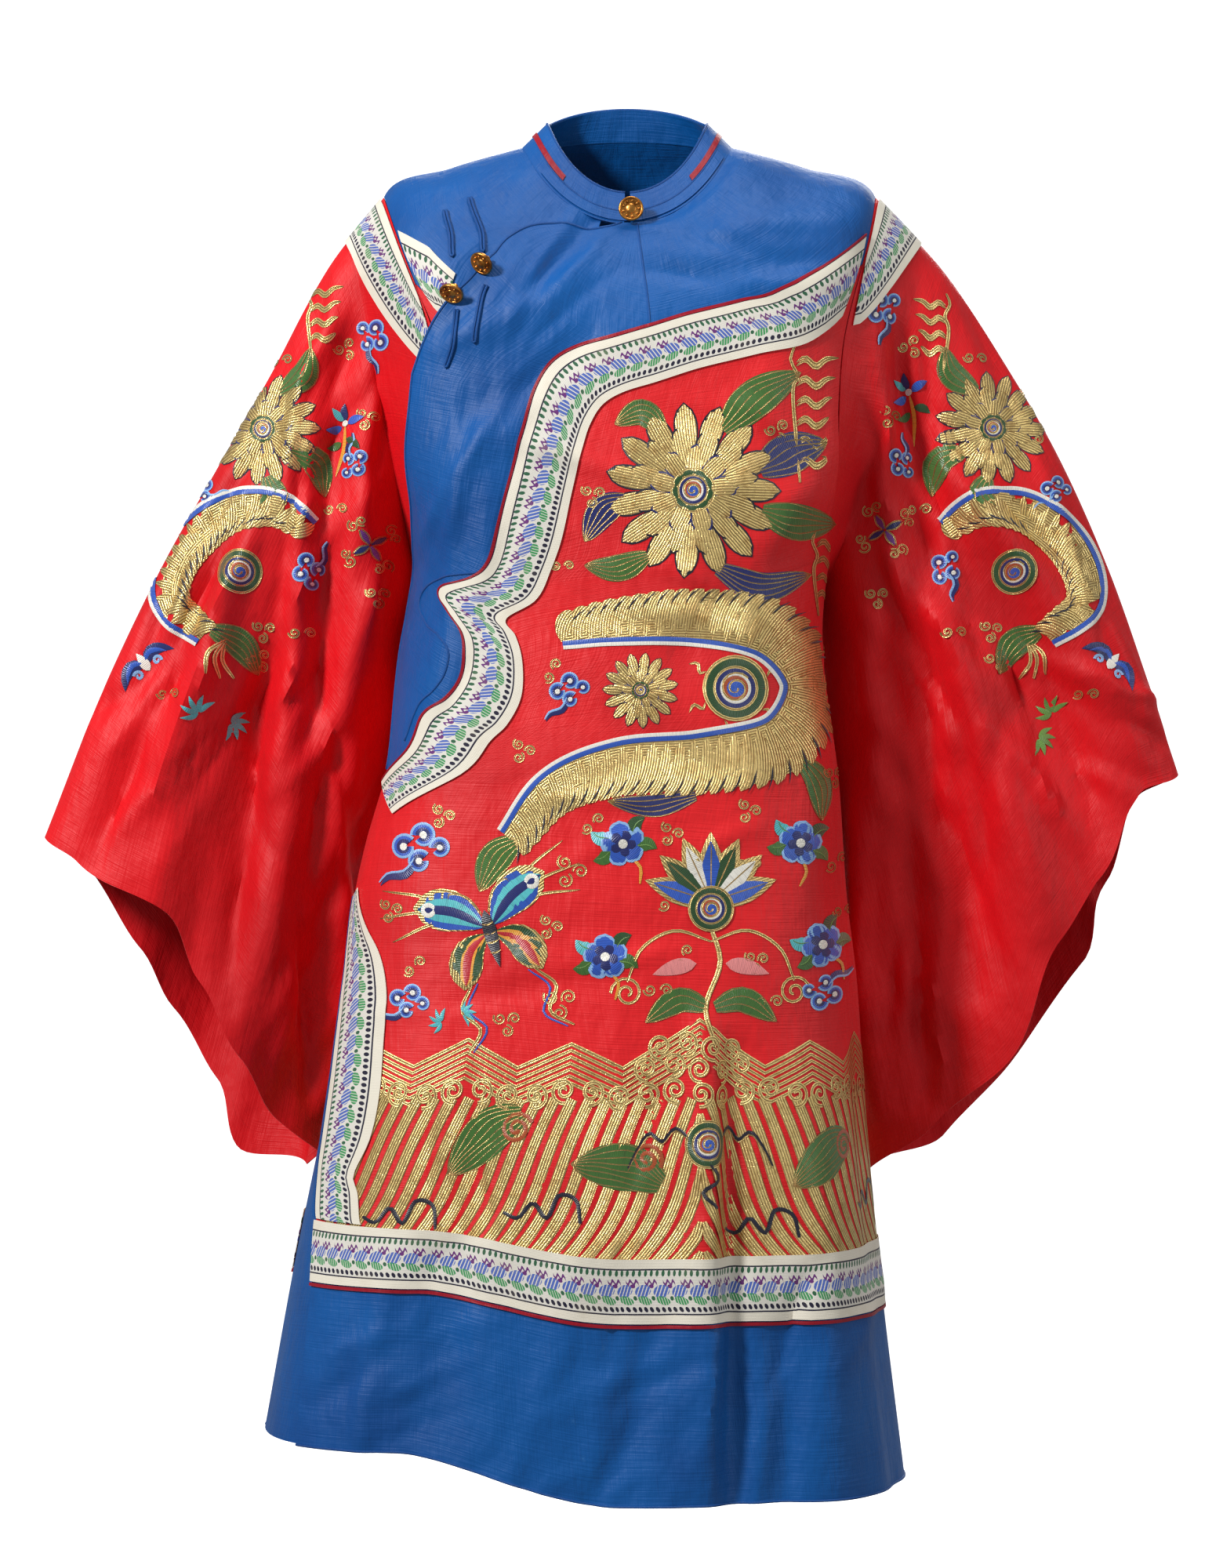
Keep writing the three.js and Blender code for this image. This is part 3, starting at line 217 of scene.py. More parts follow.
@dataclass(frozen=True)
class Crease:
    """A soft trough or ridge across the cloth, from one front-view point to another."""

    start: tuple[float, float]
    end: tuple[float, float]
    width: float
    depth: float
    bow: float = 0.0

    def height(self, x: np.ndarray, z: np.ndarray) -> np.ndarray:
        """Height of the crease at front-view points."""
        a, run = np.array(self.start), np.subtract(self.end, self.start)
        length = float(np.hypot(*run))
        ahead = run / length
        along = (x - a[0]) * ahead[0] + (z - a[1]) * ahead[1]
        t = np.clip(along / length, 0.0, 1.0)
        across = -(x - a[0]) * ahead[1] + (z - a[1]) * ahead[0] - self.bow * 4 * t * (1 - t)
        beyond = along - t * length
        away = (across ** 2 + beyond ** 2) / self.width ** 2
        return self.depth * np.exp(-away) * (1.0 - 0.6 * np.abs(2 * t - 1) ** 3)


def body_point(u: np.ndarray, v: np.ndarray) -> np.ndarray:
    """Point of the body: u is degrees round it, 0 in front and 90 at +X; v is the section."""
    u, v = np.broadcast_arrays(np.asarray(u, float), np.asarray(v, float))
    row = rows_at(SECTIONS, v)
    s, c = np.sin(np.radians(u)), np.cos(np.radians(u))
    fold = fold_depth(BODY_FOLDS, u, v)
    x = row[..., 0] + (row[..., 1] * (1 + SQUARENESS * c * c) + fold) * s
    depth = np.where(c > 0, row[..., 2], row[..., 3])
    y = -(depth * (1 + SQUARENESS * s * s) + fold) * c
    end = np.where(c > 0, row[..., 4], row[..., 6])
    hitch = HITCH_RISE * (np.maximum(0.0, v - HITCH_FROM) / (HEM - HITCH_FROM)) ** 2
    z = row[..., 5] + (end - row[..., 5]) * c * c + hitch * smooth((0.1 - s) / 0.6)
    return np.stack([x, y, z], axis=-1)


class Cloth:
    """A surface kept as a fine grid of points and normals, which any place on it is read from."""

    def __init__(self, point: Callable[[np.ndarray, np.ndarray], np.ndarray], u_range: tuple[float, float],
                 v_range: tuple[float, float], counts: tuple[int, int], facing: int,
                 closed: bool = False) -> None:
        """Sample the surface.

        Args:
            point: gives points for arrays of u and v.
            u_range: lowest and highest u.
            v_range: lowest and highest v.
            counts: samples along u and v.
            facing: 1 or -1, so that normals point out of the garment.
            closed: whether the last column meets the first.
        """
        self.u = np.linspace(*u_range, counts[0])
        self.v = np.linspace(*v_range, counts[1])
        self.facing, self.closed = facing, closed
        self.points = point(self.u[None, :], self.v[:, None])
        self.normals = self._normals()

    def _normals(self) -> np.ndarray:
        """Unit normals of the grid."""
        if self.closed:
            wrapped = np.concatenate([self.points[:, -2:-1], self.points, self.points[:, 1:2]], axis=1)
            along = np.gradient(wrapped, axis=1)[:, 1:-1]
        else:
            along = np.gradient(self.points, axis=1)
        normal = np.cross(along, np.gradient(self.points, axis=0)) * self.facing
        return normal / np.maximum(np.linalg.norm(normal, axis=-1, keepdims=True), 1e-9)

    def raise_by(self, height: np.ndarray) -> None:
        """Move the surface along its normals."""
        self.points = self.points + self.normals * height[..., None]
        self.normals = self._normals()

    def crease(self, creases: Sequence[Crease], share: np.ndarray) -> None:
        """Press creases into the part of the surface where share is above 0."""
        x, z = self.points[..., 0], self.points[..., 2]
        self.raise_by(sum(c.height(x, z) for c in creases) * share * DRAPE)

    def _read(self, grid: np.ndarray, u: np.ndarray, v: np.ndarray) -> np.ndarray:
        """Read a grid of vectors between its samples."""
        a = (np.asarray(u, float) - self.u[0]) / (self.u[1] - self.u[0])
        b = (np.asarray(v, float) - self.v[0]) / (self.v[1] - self.v[0])
        if self.closed:
            a = np.mod(a, len(self.u) - 1)
        i = np.clip(np.floor(a).astype(int), 0, len(self.u) - 2)
        j = np.clip(np.floor(b).astype(int), 0, len(self.v) - 2)
        f, g = (a - i)[..., None], (b - j)[..., None]
        low = grid[j, i] * (1 - f) + grid[j, i + 1] * f
        high = grid[j + 1, i] * (1 - f) + grid[j + 1, i + 1] * f
        return low * (1 - g) + high * g

    def at(self, u: np.ndarray, v: np.ndarray, height: np.ndarray | float = 0.0) -> np.ndarray:
        """Points at a height above the surface."""
        normal = self._read(self.normals, u, v)
        normal = normal / np.maximum(np.linalg.norm(normal, axis=-1, keepdims=True), 1e-9)
        return self._read(self.points, u, v) + normal * np.asarray(height, float)[..., None]

    def find(self, places: np.ndarray, to_uv: Callable[[np.ndarray, np.ndarray], tuple], start: tuple,
             low: tuple, high: tuple) -> tuple[np.ndarray, np.ndarray]:
        """Find where the surface has some front-view points, by Newton's method.

        Args:
            places: points as x and z.
            to_uv: turns the search's own two coordinates into u and v.
            start: first guess, in the search's coordinates.
            low: their lowest values.
            high: their highest values.

        Returns:
            u and v of every point.
        """
        x, z = places[..., 0], places[..., 1]
        a = np.full(x.shape, float(start[0]))
        b = np.full(x.shape, float(start[1]))
        step = 0.004
        reach = 0.12
        for _ in range(36):
            p = self._read(self.points, *to_uv(a, b))
            da = (self._read(self.points, *to_uv(a + step, b)) - p) / step
            db = (self._read(self.points, *to_uv(a, b + step)) - p) / step
            det = da[..., 0] * db[..., 2] - db[..., 0] * da[..., 2]
            det = np.where(np.abs(det) < 1.0, np.where(det < 0, -1.0, 1.0), det)
            ex, ez = x - p[..., 0], z - p[..., 2]
            a_move = np.clip((ex * db[..., 2] - db[..., 0] * ez) / det, -reach, reach)
            b_move = np.clip((da[..., 0] * ez - ex * da[..., 2]) / det, -reach, reach)
            a = np.clip(a + a_move, low[0], high[0])
            b = np.clip(b + b_move, low[1], high[1])
        return to_uv(a, b)


DRAPE = 1.7  # how deeply the creases are pressed
SLEEVE_DRAPE = 1.45  # how much deeper they are on the sleeves


@dataclass(frozen=True)
class Rumple:
    """A patch of small soft creases, all lying about one way."""

    centre: tuple[float, float]
    spread: tuple[float, float]
    lean: float
    count: int
    length: float
    width: float
    depth: float

    def creases(self, seed: int) -> list[Crease]:
        """Scatter the creases, the same way every time."""
        hand = random.Random(seed)
        made = []
        for k in range(self.count):
            x = self.centre[0] + self.spread[0] * (hand.random() - 0.5)
            z = self.centre[1] + self.spread[1] * (hand.random() - 0.5)
            turn = math.radians(self.lean + 34 * (hand.random() - 0.5))
            reach = self.length * (0.6 + 0.8 * hand.random()) / 2
            dx, dz = reach * math.cos(turn), reach * math.sin(turn)
            made.append(Crease((x - dx, z - dz), (x + dx, z + dz), self.width * (0.7 + 0.6 * hand.random()),
                               self.depth * (0.6 + 0.8 * hand.random()) * (1 if k % 2 else -1),
                               reach * 0.3 * (hand.random() - 0.5)))
        return made


BODY_RUMPLES = (
    Rumple((-90, -130), (110, 90), 230, 9, 90, 7, 1.1),
    Rumple((90, -105), (120, 50), -20, 9, 80, 7, 1.1),
    Rumple((-120, -330), (70, 260), 250, 12, 100, 7, 1.2),
    Rumple((40, -330), (180, 240), -20, 12, 110, 9, 0.9),
    Rumple((-40, -620), (260, 200), 12, 16, 110, 8, 0.9),
    Rumple((0, -820), (380, 160), 88, 16, 120, 8, 1.0),
    Rumple((0, -1010), (440, 150), 74, 26, 110, 8, 1.6),
    Rumple((-60, -1020), (340, 130), 30, 12, 80, 7, 1.1),
)
SLEEVE_RUMPLES = {
    1: (
        Rumple((240, -250), (90, 200), -72, 12, 120, 8, 1.6),
        Rumple((300, -430), (180, 260), -66, 22, 150, 8, 2.0),
        Rumple((250, -640), (110, 260), -80, 16, 130, 7, 1.8),
        Rumple((400, -470), (90, 120), -30, 9, 70, 6, 1.4),
    ),
    -1: (
        Rumple((-240, -250), (80, 200), 72, 12, 120, 8, 1.6),
        Rumple((-310, -430), (180, 240), 66, 20, 150, 8, 2.0),
        Rumple((-270, -640), (110, 260), 82, 18, 140, 7, 2.0),
        Rumple((-410, -500), (110, 110), 55, 10, 80, 6, 1.6),
    ),
}
FRONT_CREASES = (
    Crease((-35, -110), (-150, -175), 13, 2.6, 8),
    Crease((-20, -150), (-140, -235), 16, -2.8, 10),
    Crease((-95, -200), (-165, -330), 16, 2.4, 6),
    Crease((20, -95), (150, -122), 12, 2.6, -8),
    Crease((35, -115), (165, -100), 11, -2.4, -6),
    Crease((60, -85), (178, -70), 12, 2.2, 5),
    Crease((-120, -300), (-165, -470), 15, 2.0, 4),
    Crease((120, -190), (60, -320), 20, 2.4, 8),
    Crease((168, -260), (95, -380), 18, 3.0, -10),
    Crease((150, -330), (30, -440), 20, -2.6, -8),
    Crease((-60, -420), (110, -520), 22, 2.2, 12),
    Crease((150, -420), (140, -620), 16, 2.6, 5),
    Crease((60, -720), (58, -1095), 14, 7.0, 3),
    Crease((84, -740), (86, -1097), 12, -6.0, -3),
    Crease((-40, -760), (-66, -1060), 22, 3.6, 8),
    Crease((-110, -800), (-150, -1040), 18, -3.4, -6),
    Crease((140, -760), (160, -1080), 20, 3.4, 6),
    Crease((15, -860), (0, -1090), 14, -3.0, 5),
    Crease((-190, -900), (-215, -1060), 12, 3.0, 3),
    Crease((120, -960), (128, -1097), 9, -2.8, 2),
    Crease((-20, -960), (-30, -1090), 10, 2.2, 2),
)
BACK_CREASES = (
    Crease((-40, -60), (-160, -120), 14, 2.6, 8),
    Crease((45, -60), (160, -110), 14, 2.4, -8),
    Crease((-10, -110), (20, -240), 16, 2.0, 6),
    Crease((-160, -280), (-60, -420), 20, 2.8, 10),
    Crease((160, -290), (70, -430), 20, 2.6, -10),
    Crease((-120, -380), (-128, -760), 18, -3.2, 8),
    Crease((-30, -420), (-10, -900), 20, 3.0, 6),
    Crease((90, -400), (110, -880), 18, -3.0, -8),
    Crease((30, -640), (40, -1090), 16, 5.0, 4),
    Crease((-80, -700), (-96, -1090), 17, 4.6, -5),
    Crease((-170, -760), (-190, -1080), 15, -4.0, 4),
    Crease((150, -720), (175, -1090), 16, 4.2, 5),
    Crease((0, -800), (-10, -1090), 12, -4.0, 3),
    Crease((80, -860), (92, -1090), 12, -3.4, 3),
)

# Edges as they lie on the front, seen from straight ahead.
FLAP_EDGE = (
    (-6, -72), (-20, -78), (-52, -75), (-76, -76), (-96, -86), (-107, -99), (-127, -120), (-144, -137),
    (-160, -164), (-171, -195), (-175, -235), (-173, -290), (-170, -326), (-174, -375), (-184, -431),
    (-190, -501), (-197, -533),
)
LEFT_SIDE_EDGE = (
    (-197, -533), (-209, -570), (-219, -619), (-225, -665), (-229, -700), (-236, -760), (-244, -820),
    (-247, -870), (-251, -929),
)
RIBBON_UPPER_EDGE = (
    (126, -130), (90, -141), (50, -152), (15, -163), (-13, -171), (-40, -178), (-60, -190), (-73, -213),
    (-84, -250), (-93, -286), (-102, -323), (-109, -350), (-121, -362), (-145, -371), (-139, -387),
    (-129, -406), (-128, -424), (-132, -443), (-143, -459), (-159, -472), (-173, -501), (-195, -526),
)
RIBBON_LOWER_EDGE = (
    (144, -172), (102, -183), (58, -194), (18, -207), (-4, -214), (-20, -224), (-30, -240), (-36, -259),
    (-41, -280), (-46, -302), (-52, -330), (-61, -356), (-73, -380), (-96, -395), (-89, -408),
    (-84, -425), (-83, -445), (-86, -462), (-96, -480), (-108, -492), (-132, -520), (-185, -552),
)
VENT_RIBBON_INNER = (
    (-214, -612), (-205, -644), (-195, -663), (-189, -694), (-191, -729), (-194, -771), (-201, -803),
    (-213, -828), (-209, -842), (-209, -880),
)
LEFT_YOKE_FOOT = ((-160, -133), (-144, -149), (-125, -166))
LEFT_YOKE_UNDER = ((-30, -104), (-62, -104), (-88, -112), (-110, -136))
LEFT_RIBBON_TOP = ((-160, -93), (-138, -116))
LEFT_RIBBON_FOOT = ((-150, -149), (-142, -152))
LOBE_EDGE = (
    (-116, -357), (-143, -360), (-158, -368), (-164, -382), (-158, -398), (-148, -407), (-140, -420),
    (-143, -438), (-152, -452), (-164, -464), (-176, -492),
)
SEAM_FOOT = 4
RIBBON_CORNER = 7
CENTRE_SEAM_ANGLE = 4.0
HEM_RIBBON_TOP = BORDER - 0.36
HEM_RIBBON_FOOT = BORDER + 0.03
HEM_CORNER_ANGLE = -54.0
UNDER_NECK_ANGLE = -12.0
UNDER_LAP_ANGLE = 21.0
HEM_LAP = 0.45  # degrees by which the back hem runs on past the side seams
HEM_SLANT = 4.0  # degrees by which the hem ribbon starts further out at its top edge
UNDER_RED_SHARE = 0.8
BACK_YOKE_DROP = 0.9
BACK_RIBBON_RISE = 0.3
TRIM_CLEARANCE = 5.0


def armhole(side: int, step: float, front: bool) -> tuple[float, float]:
    """Place of the armhole's edge, from step 0 at the shoulder tip to the underarm."""
    turn = math.pi * step / ARMHOLE_STEPS
    half = 50.0 if front and side < 0 else 36.5
    opened = half * abs(math.sin(turn)) ** 0.7
    u = 90 - opened if front else 90 + opened
    return side * u, SHOULDER + (UNDERARM - SHOULDER) * (1 - math.cos(turn)) / 2


def armhole_line(side: int, start: float, end: float, front: bool, count: int) -> Line:
    """Points along the armhole's edge."""
    return np.array([armhole(side, start + (end - start) * i / count, front) for i in range(count + 1)])


def body_uv(a: np.ndarray, b: np.ndarray) -> tuple[np.ndarray, np.ndarray]:
    """Search coordinates of the body's front."""
    return a * 90.0, b * HEM


def back_uv(a: np.ndarray, b: np.ndarray) -> tuple[np.ndarray, np.ndarray]:
    """Search coordinates of the body's back, 0 in its middle and 1 at +X."""
    return 180.0 - a * 90.0, b * HEM


def sleeve_uv(front: bool) -> Callable[[np.ndarray, np.ndarray], tuple[np.ndarray, np.ndarray]]:
    """Search coordinates of a sleeve's front or back: the share from top fold to lower edge, and v."""
    def to_uv(a: np.ndarray, b: np.ndarray) -> tuple[np.ndarray, np.ndarray]:
        """u and v for a share and a place along."""
        u = np.degrees(np.arccos(np.clip(1 - 2 * a, -1.0, 1.0)))
        return (u if front else 360.0 - u), b
    return to_uv


class Side(Enum):
    """The two sides as seen from in front."""

    RIGHT = "right"
    LEFT = "left"


@dataclass(frozen=True)
class SleeveForm:
    """Sections, cuff and folds of one sleeve."""

    side: int
    ease: float
    sections: np.ndarray
    cuff: np.ndarray
    folds: tuple[Fold, ...]
    front_creases: tuple[Crease, ...]
    back_creases: tuple[Crease, ...]

    def plain(self, u: np.ndarray, v: np.ndarray) -> np.ndarray:
        """Sleeve without its join to the armhole."""
        u, v = np.broadcast_arrays(u, v)
        row = rows_at(self.sections, v * (len(self.sections) - 1))
        share = (1 - np.cos(np.radians(u))) / 2
        front = u <= 180
        top, low = row[..., 0:3], row[..., 3:6]
        across = low - top
        flat = np.hypot(across[..., 0], across[..., 2])
        out_x, out_z = -across[..., 2] / flat * self.side, across[..., 0] / flat * self.side
        reach = np.where(front, self._reach(share, 1), self._reach(share, 2)) * v ** 3
        depth = np.where(front, row[..., 6], row[..., 7]) + fold_depth(self.folds, u, v)
        point = top + across * share[..., None]
        x = point[..., 0] + out_x * reach
        y = point[..., 1] - depth * np.sin(np.radians(u))
        return np.stack([x, y, point[..., 2] + out_z * reach], axis=-1)

    def _reach(self, share: np.ndarray, column: int) -> np.ndarray:
        """How far the cuff's edge reaches past the straight line."""
        shares, values = self.cuff[:, 0], self.cuff[:, column]
        i = np.clip(np.searchsorted(shares, share) - 1, 0, len(shares) - 2)
        t = smooth((share - shares[i]) / (shares[i + 1] - shares[i]))
        return values[i] + (values[i + 1] - values[i]) * t

    def point(self, u: np.ndarray, v: np.ndarray) -> np.ndarray:
        """Sleeve, u degrees round it from the top fold and v from armhole to cuff."""
        u = np.mod(np.asarray(u, float), 360.0)
        u, v = np.broadcast_arrays(u, np.asarray(v, float))
        turn = np.where(u <= 180, u, 360 - u) / 180 * np.pi
        half = np.where((u <= 180) & (self.side < 0), 50.0, 36.5)
        opened = half * np.abs(np.sin(turn)) ** 0.7
        around = self.side * np.where(u <= 180, 90 - opened, 90 + opened)
        edge = body_point(around, SHOULDER + (UNDERARM - SHOULDER) * (1 - np.cos(turn)) / 2)
        pull = 1 - smooth(v / self.ease)
        return self.plain(u, v) + (edge - self.plain(u, np.zeros_like(v))) * pull[..., None]


SLEEVES = {
    Side.RIGHT: SleeveForm(
        side=1,
        ease=0.14,
        sections=np.array([
            [203, 0, -41, 176, 0, -330, 74, 74],
            [262, 2, -102, 160, 52, -385, 66, 70],
            [318, 4, -186, 160, 72, -470, 66, 70],
            [361, 6, -262, 163, 79, -560, 63, 66],
            [400, 8, -350, 171, 84, -650, 58, 62],
            [432, 10, -440, 186, 84, -750, 55, 58],
            [458, 12, -519, 199, 80, -850, 52, 56],
        ], float),
        cuff=np.array([
            [0, 0, 0], [0.08, -18, -12], [0.25, 0, 15], [0.4, 5, 43], [0.65, 36, 50], [0.85, 22, 42],
            [1, 6, 6],
        ], float),
        folds=(
            Fold(62, 10, -8, 0.25, 0.9),
            Fold(92, 12, 7, 0.2, 1),
            Fold(124, 10, -9, 0.3, 1),
            Fold(290, 11, -7, 0.3, 1),
            Fold(262, 12, 7, 0.25, 1),
            Fold(232, 10, -8, 0.3, 1),
        ),
        front_creases=(
            Crease((196, -150), (212, -420), 12, 5.0, 8),
            Crease((214, -140), (250, -470), 13, -5.0, 10),
            Crease((186, -330), (220, -640), 15, 6.5, 8),
            Crease((205, -380), (285, -690), 18, -6.0, 10),
            Crease((212, -330), (345, -640), 18, 6.0, 14),
            Crease((235, -300), (395, -560), 20, -4.5, 12),
            Crease((260, -260), (425, -505), 15, 4.0, 8),
            Crease((196, -520), (214, -800), 12, 5.5, -5),
            Crease((226, -560), (250, -790), 11, -4.6, 5),
            Crease((330, -420), (440, -480), 12, 3.0, 8),
            Crease((280, -120), (330, -260), 14, -2.4, 5),
        ),
        back_creases=(
            Crease((215, -200), (240, -520), 16, 5.0, 8),
            Crease((250, -220), (330, -640), 18, -5.0, 12),
            Crease((290, -260), (400, -560), 18, 4.5, 12),
            Crease((200, -480), (240, -760), 15, 5.0, 6),
        ),
    ),
    Side.LEFT: SleeveForm(
        side=-1,
        ease=0.102,
        sections=np.array([
            [-201, 0, -41, -186, 42, -325, 42, 74],
            [-248, 2, -100, -172, 62, -380, 53, 70],
            [-297, 4, -190, -178, 70, -462, 62, 70],
            [-340, 6, -265, -188, 79, -535, 63, 66],
            [-388, 8, -350, -218, 80, -610, 58, 62],
            [-438, 10, -455, -240, 80, -715, 55, 58],
            [-484, 12, -571, -256, 76, -836, 52, 56],
        ], float),
        cuff=np.array([
            [0, 0, 0], [0.1, -9, -6], [0.34, -38, 8], [0.5, -20, 22], [0.7, -4, 34], [0.86, 10, 58],
            [1, 4, 20],
        ], float),
        folds=(
            Fold(56, 10, 7, 0.3, 1),
            Fold(84, 10, -10, 0.25, 1),
            Fold(112, 12, 8, 0.2, 1),
            Fold(140, 9, -7, 0.35, 1),
            Fold(288, 11, -7, 0.3, 1),
            Fold(258, 12, 8, 0.25, 1),
            Fold(230, 10, -8, 0.3, 1),
        ),
        front_creases=(
            Crease((-205, -170), (-214, -430), 13, 4.6, -8),
            Crease((-232, -170), (-250, -560), 15, -5.6, -10),
            Crease((-222, -380), (-246, -800), 14, 6.6, -8),
            Crease((-262, -300), (-290, -740), 16, 6.0, -10),
            Crease((-285, -380), (-330, -700), 14, -5.6, -8),
            Crease((-318, -330), (-392, -640), 16, 4.6, -8),
            Crease((-365, -420), (-440, -590), 14, -3.6, -5),
            Crease((-218, -560), (-226, -840), 11, -5.0, 4),
            Crease((-250, -120), (-300, -260), 15, -2.4, -6),
            Crease((-300, -600), (-318, -740), 10, 3.6, 3),
        ),
        back_creases=(
            Crease((-220, -200), (-250, -560), 16, 5.0, -8),
            Crease((-255, -230), (-340, -660), 18, -5.0, -12),
            Crease((-300, -280), (-420, -600), 18, 4.5, -12),
            Crease((-215, -480), (-260, -780), 15, 5.0, -6),
        ),
    ),
}

COLLAR_TOP = {"half": 66.0, "front": 61.0, "back": 49.0, "front_z": -45.0, "side_z": 20.0, "back_z": 40.0}


def collar_point(u: np.ndarray, v: np.ndarray) -> np.ndarray:
    """Point of the collar: u as on the body, v from 0 at the neck line to 1 at its top edge."""
    u, v = np.broadcast_arrays(np.asarray(u, float), np.asarray(v, float))
    s, c = np.sin(np.radians(u)), np.cos(np.radians(u))
    foot = body_point(u, np.zeros_like(v))
    x = COLLAR_TOP["half"] * s * (1 + SQUARENESS * c * c)
    y = -np.where(c > 0, COLLAR_TOP["front"], COLLAR_TOP["back"]) * c
    end = np.where(c > 0, COLLAR_TOP["front_z"], COLLAR_TOP["back_z"])
    z = COLLAR_TOP["side_z"] + (end - COLLAR_TOP["side_z"]) * c * c
    return foot * (1 - v[..., None]) + np.stack([x, y, z], axis=-1) * v[..., None]


class Forms:
    """The surfaces that the whole robe is cut from."""

    def __init__(self) -> None:
        """Sample every surface, press its creases and lift the outer front off the under front."""
        self.plain = Cloth(body_point, (-95, 95), (NECK, HEM), (381, 601), -1)
        self.body = Cloth(body_point, (-95, 275), (NECK, HEM), (741, 601), -1)
        self.front = Cloth(body_point, (-95, 95), (NECK, HEM), (381, 601), -1)
        self.flap_edge = self.on_front(FLAP_EDGE)
        self.side_edge = self.on_front(LEFT_SIDE_EDGE)
        self.front.raise_by(self._flap_lift())
        rumples = [c for seed, rumple in enumerate(BODY_RUMPLES) for c in rumple.creases(seed)]
        for cloth in (self.body, self.front):
            y = cloth.points[..., 1]
            cloth.crease([*FRONT_CREASES, *rumples], smooth(-y / 40.0))
            cloth.crease([*BACK_CREASES, *rumples], smooth(y / 40.0))
        self.sleeves = {side: self._sleeve(form) for side, form in SLEEVES.items()}
        self.collar = Cloth(collar_point, (-180, 540), (0, 1), (721, 41), 1)

    def on_front(self, table: Sequence[tuple[float, float]]) -> Line:
        """Places on the plain front of a table of front-view points."""
        u, v = self.plain.find(np.array(table, float), body_uv, (0.0, 0.33), (-1.0, 0.0), (1.0, 1.0))
        return np.stack([u, v], axis=-1)

    def _flap_lift(self) -> np.ndarray:
        """Height of the outer front over the under front, near its free edge."""
        edge = np.concatenate([evenly(self.flap_edge, 60, ROUND), evenly(self.side_edge, 30, ROUND)])
        points = self.plain.points
        away = np.full(points.shape[:2], 1e9)
        for q in body_point(edge[:, 0], edge[:, 1]):
            away = np.minimum(away, np.linalg.norm(points - q, axis=-1))
        u, v = self.plain.u[None, :], self.plain.v[:, None]
        hem = np.maximum(0.0, np.radians(u - self.side_edge[-1, 0])) * 200.0
        away = np.where(v > BORDER, np.minimum(away, hem), away)
        return FLAP_LIFT * (1 - smooth((away - FLAP_HELD) / FLAP_SETTLE)) * smooth(v / 0.25)

    @staticmethod
    def _sleeve(form: SleeveForm) -> Cloth:
        """One sleeve's surface with its creases."""
        cloth = Cloth(form.point, (0, 360), (0, 1), (361, 301), form.side, closed=True)
        turn = np.sin(np.radians(cloth.u))[None, :]
        eased = smooth((cloth.v[:, None] - 0.03) / 0.12)
        rumples = [
            crease for seed, rumple in enumerate(SLEEVE_RUMPLES[form.side])
            for crease in rumple.creases(seed + 40)
        ]
        cloth.crease([*form.front_creases, *rumples], smooth(turn / 0.3) * eased * SLEEVE_DRAPE)
        cloth.crease([*form.back_creases, *rumples], smooth(-turn / 0.3) * eased * SLEEVE_DRAPE)
        return cloth


# ---- meshes ----------------------------------------------------------------------------------------
def new_object(name: str, points: np.ndarray, faces: np.ndarray, uvs: np.ndarray) -> bpy.types.Object:
    """Make a mesh object.

    Args:
        name: its name.
        points: vertices in millimetres.
        faces: four vertex numbers for each face.
        uvs: two texture coordinates for each corner of each face.

    Returns:
        The object, linked to the scene.
    """
    mesh = bpy.data.meshes.new(name)
    mesh.from_pydata((points * MM).tolist(), [], faces.tolist())
    layer = mesh.uv_layers.new(name="cut")
    layer.data.foreach_set("uv", uvs.reshape(-1).astype(np.float32))
    mesh.polygons.foreach_set("use_smooth", np.ones(len(faces), dtype=bool))
    mesh.update()
    piece = bpy.data.objects.new(name, mesh)
    bpy.context.collection.objects.link(piece)
    return piece


def sharpen(piece: bpy.types.Object, degrees: float = 50.0) -> None:
    """Keep the cut edges of a piece crisp and the rest smooth."""
    bpy.ops.object.select_all(action="DESELECT")
    piece.select_set(True)
    bpy.context.view_layer.objects.active = piece
    bpy.ops.object.shade_smooth_by_angle(angle=math.radians(degrees))
    piece.select_set(False)


def dress(piece: bpy.types.Object, material: bpy.types.Material,
          nodes: Sequence[str] = ()) -> None:
    """Give a piece its finish, hang it from the root and hide the solids it stands for."""
    piece.data.materials.clear()
    piece.data.materials.append(material)
    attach(piece, "root")
    if nodes:
        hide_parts(*nodes)


class Run(Enum):
    """Which way a piece's texture runs."""

    CUT = "in metres across and down the piece"
    RIBBON = "in metres along a ribbon, and from 0 to 1 across it"


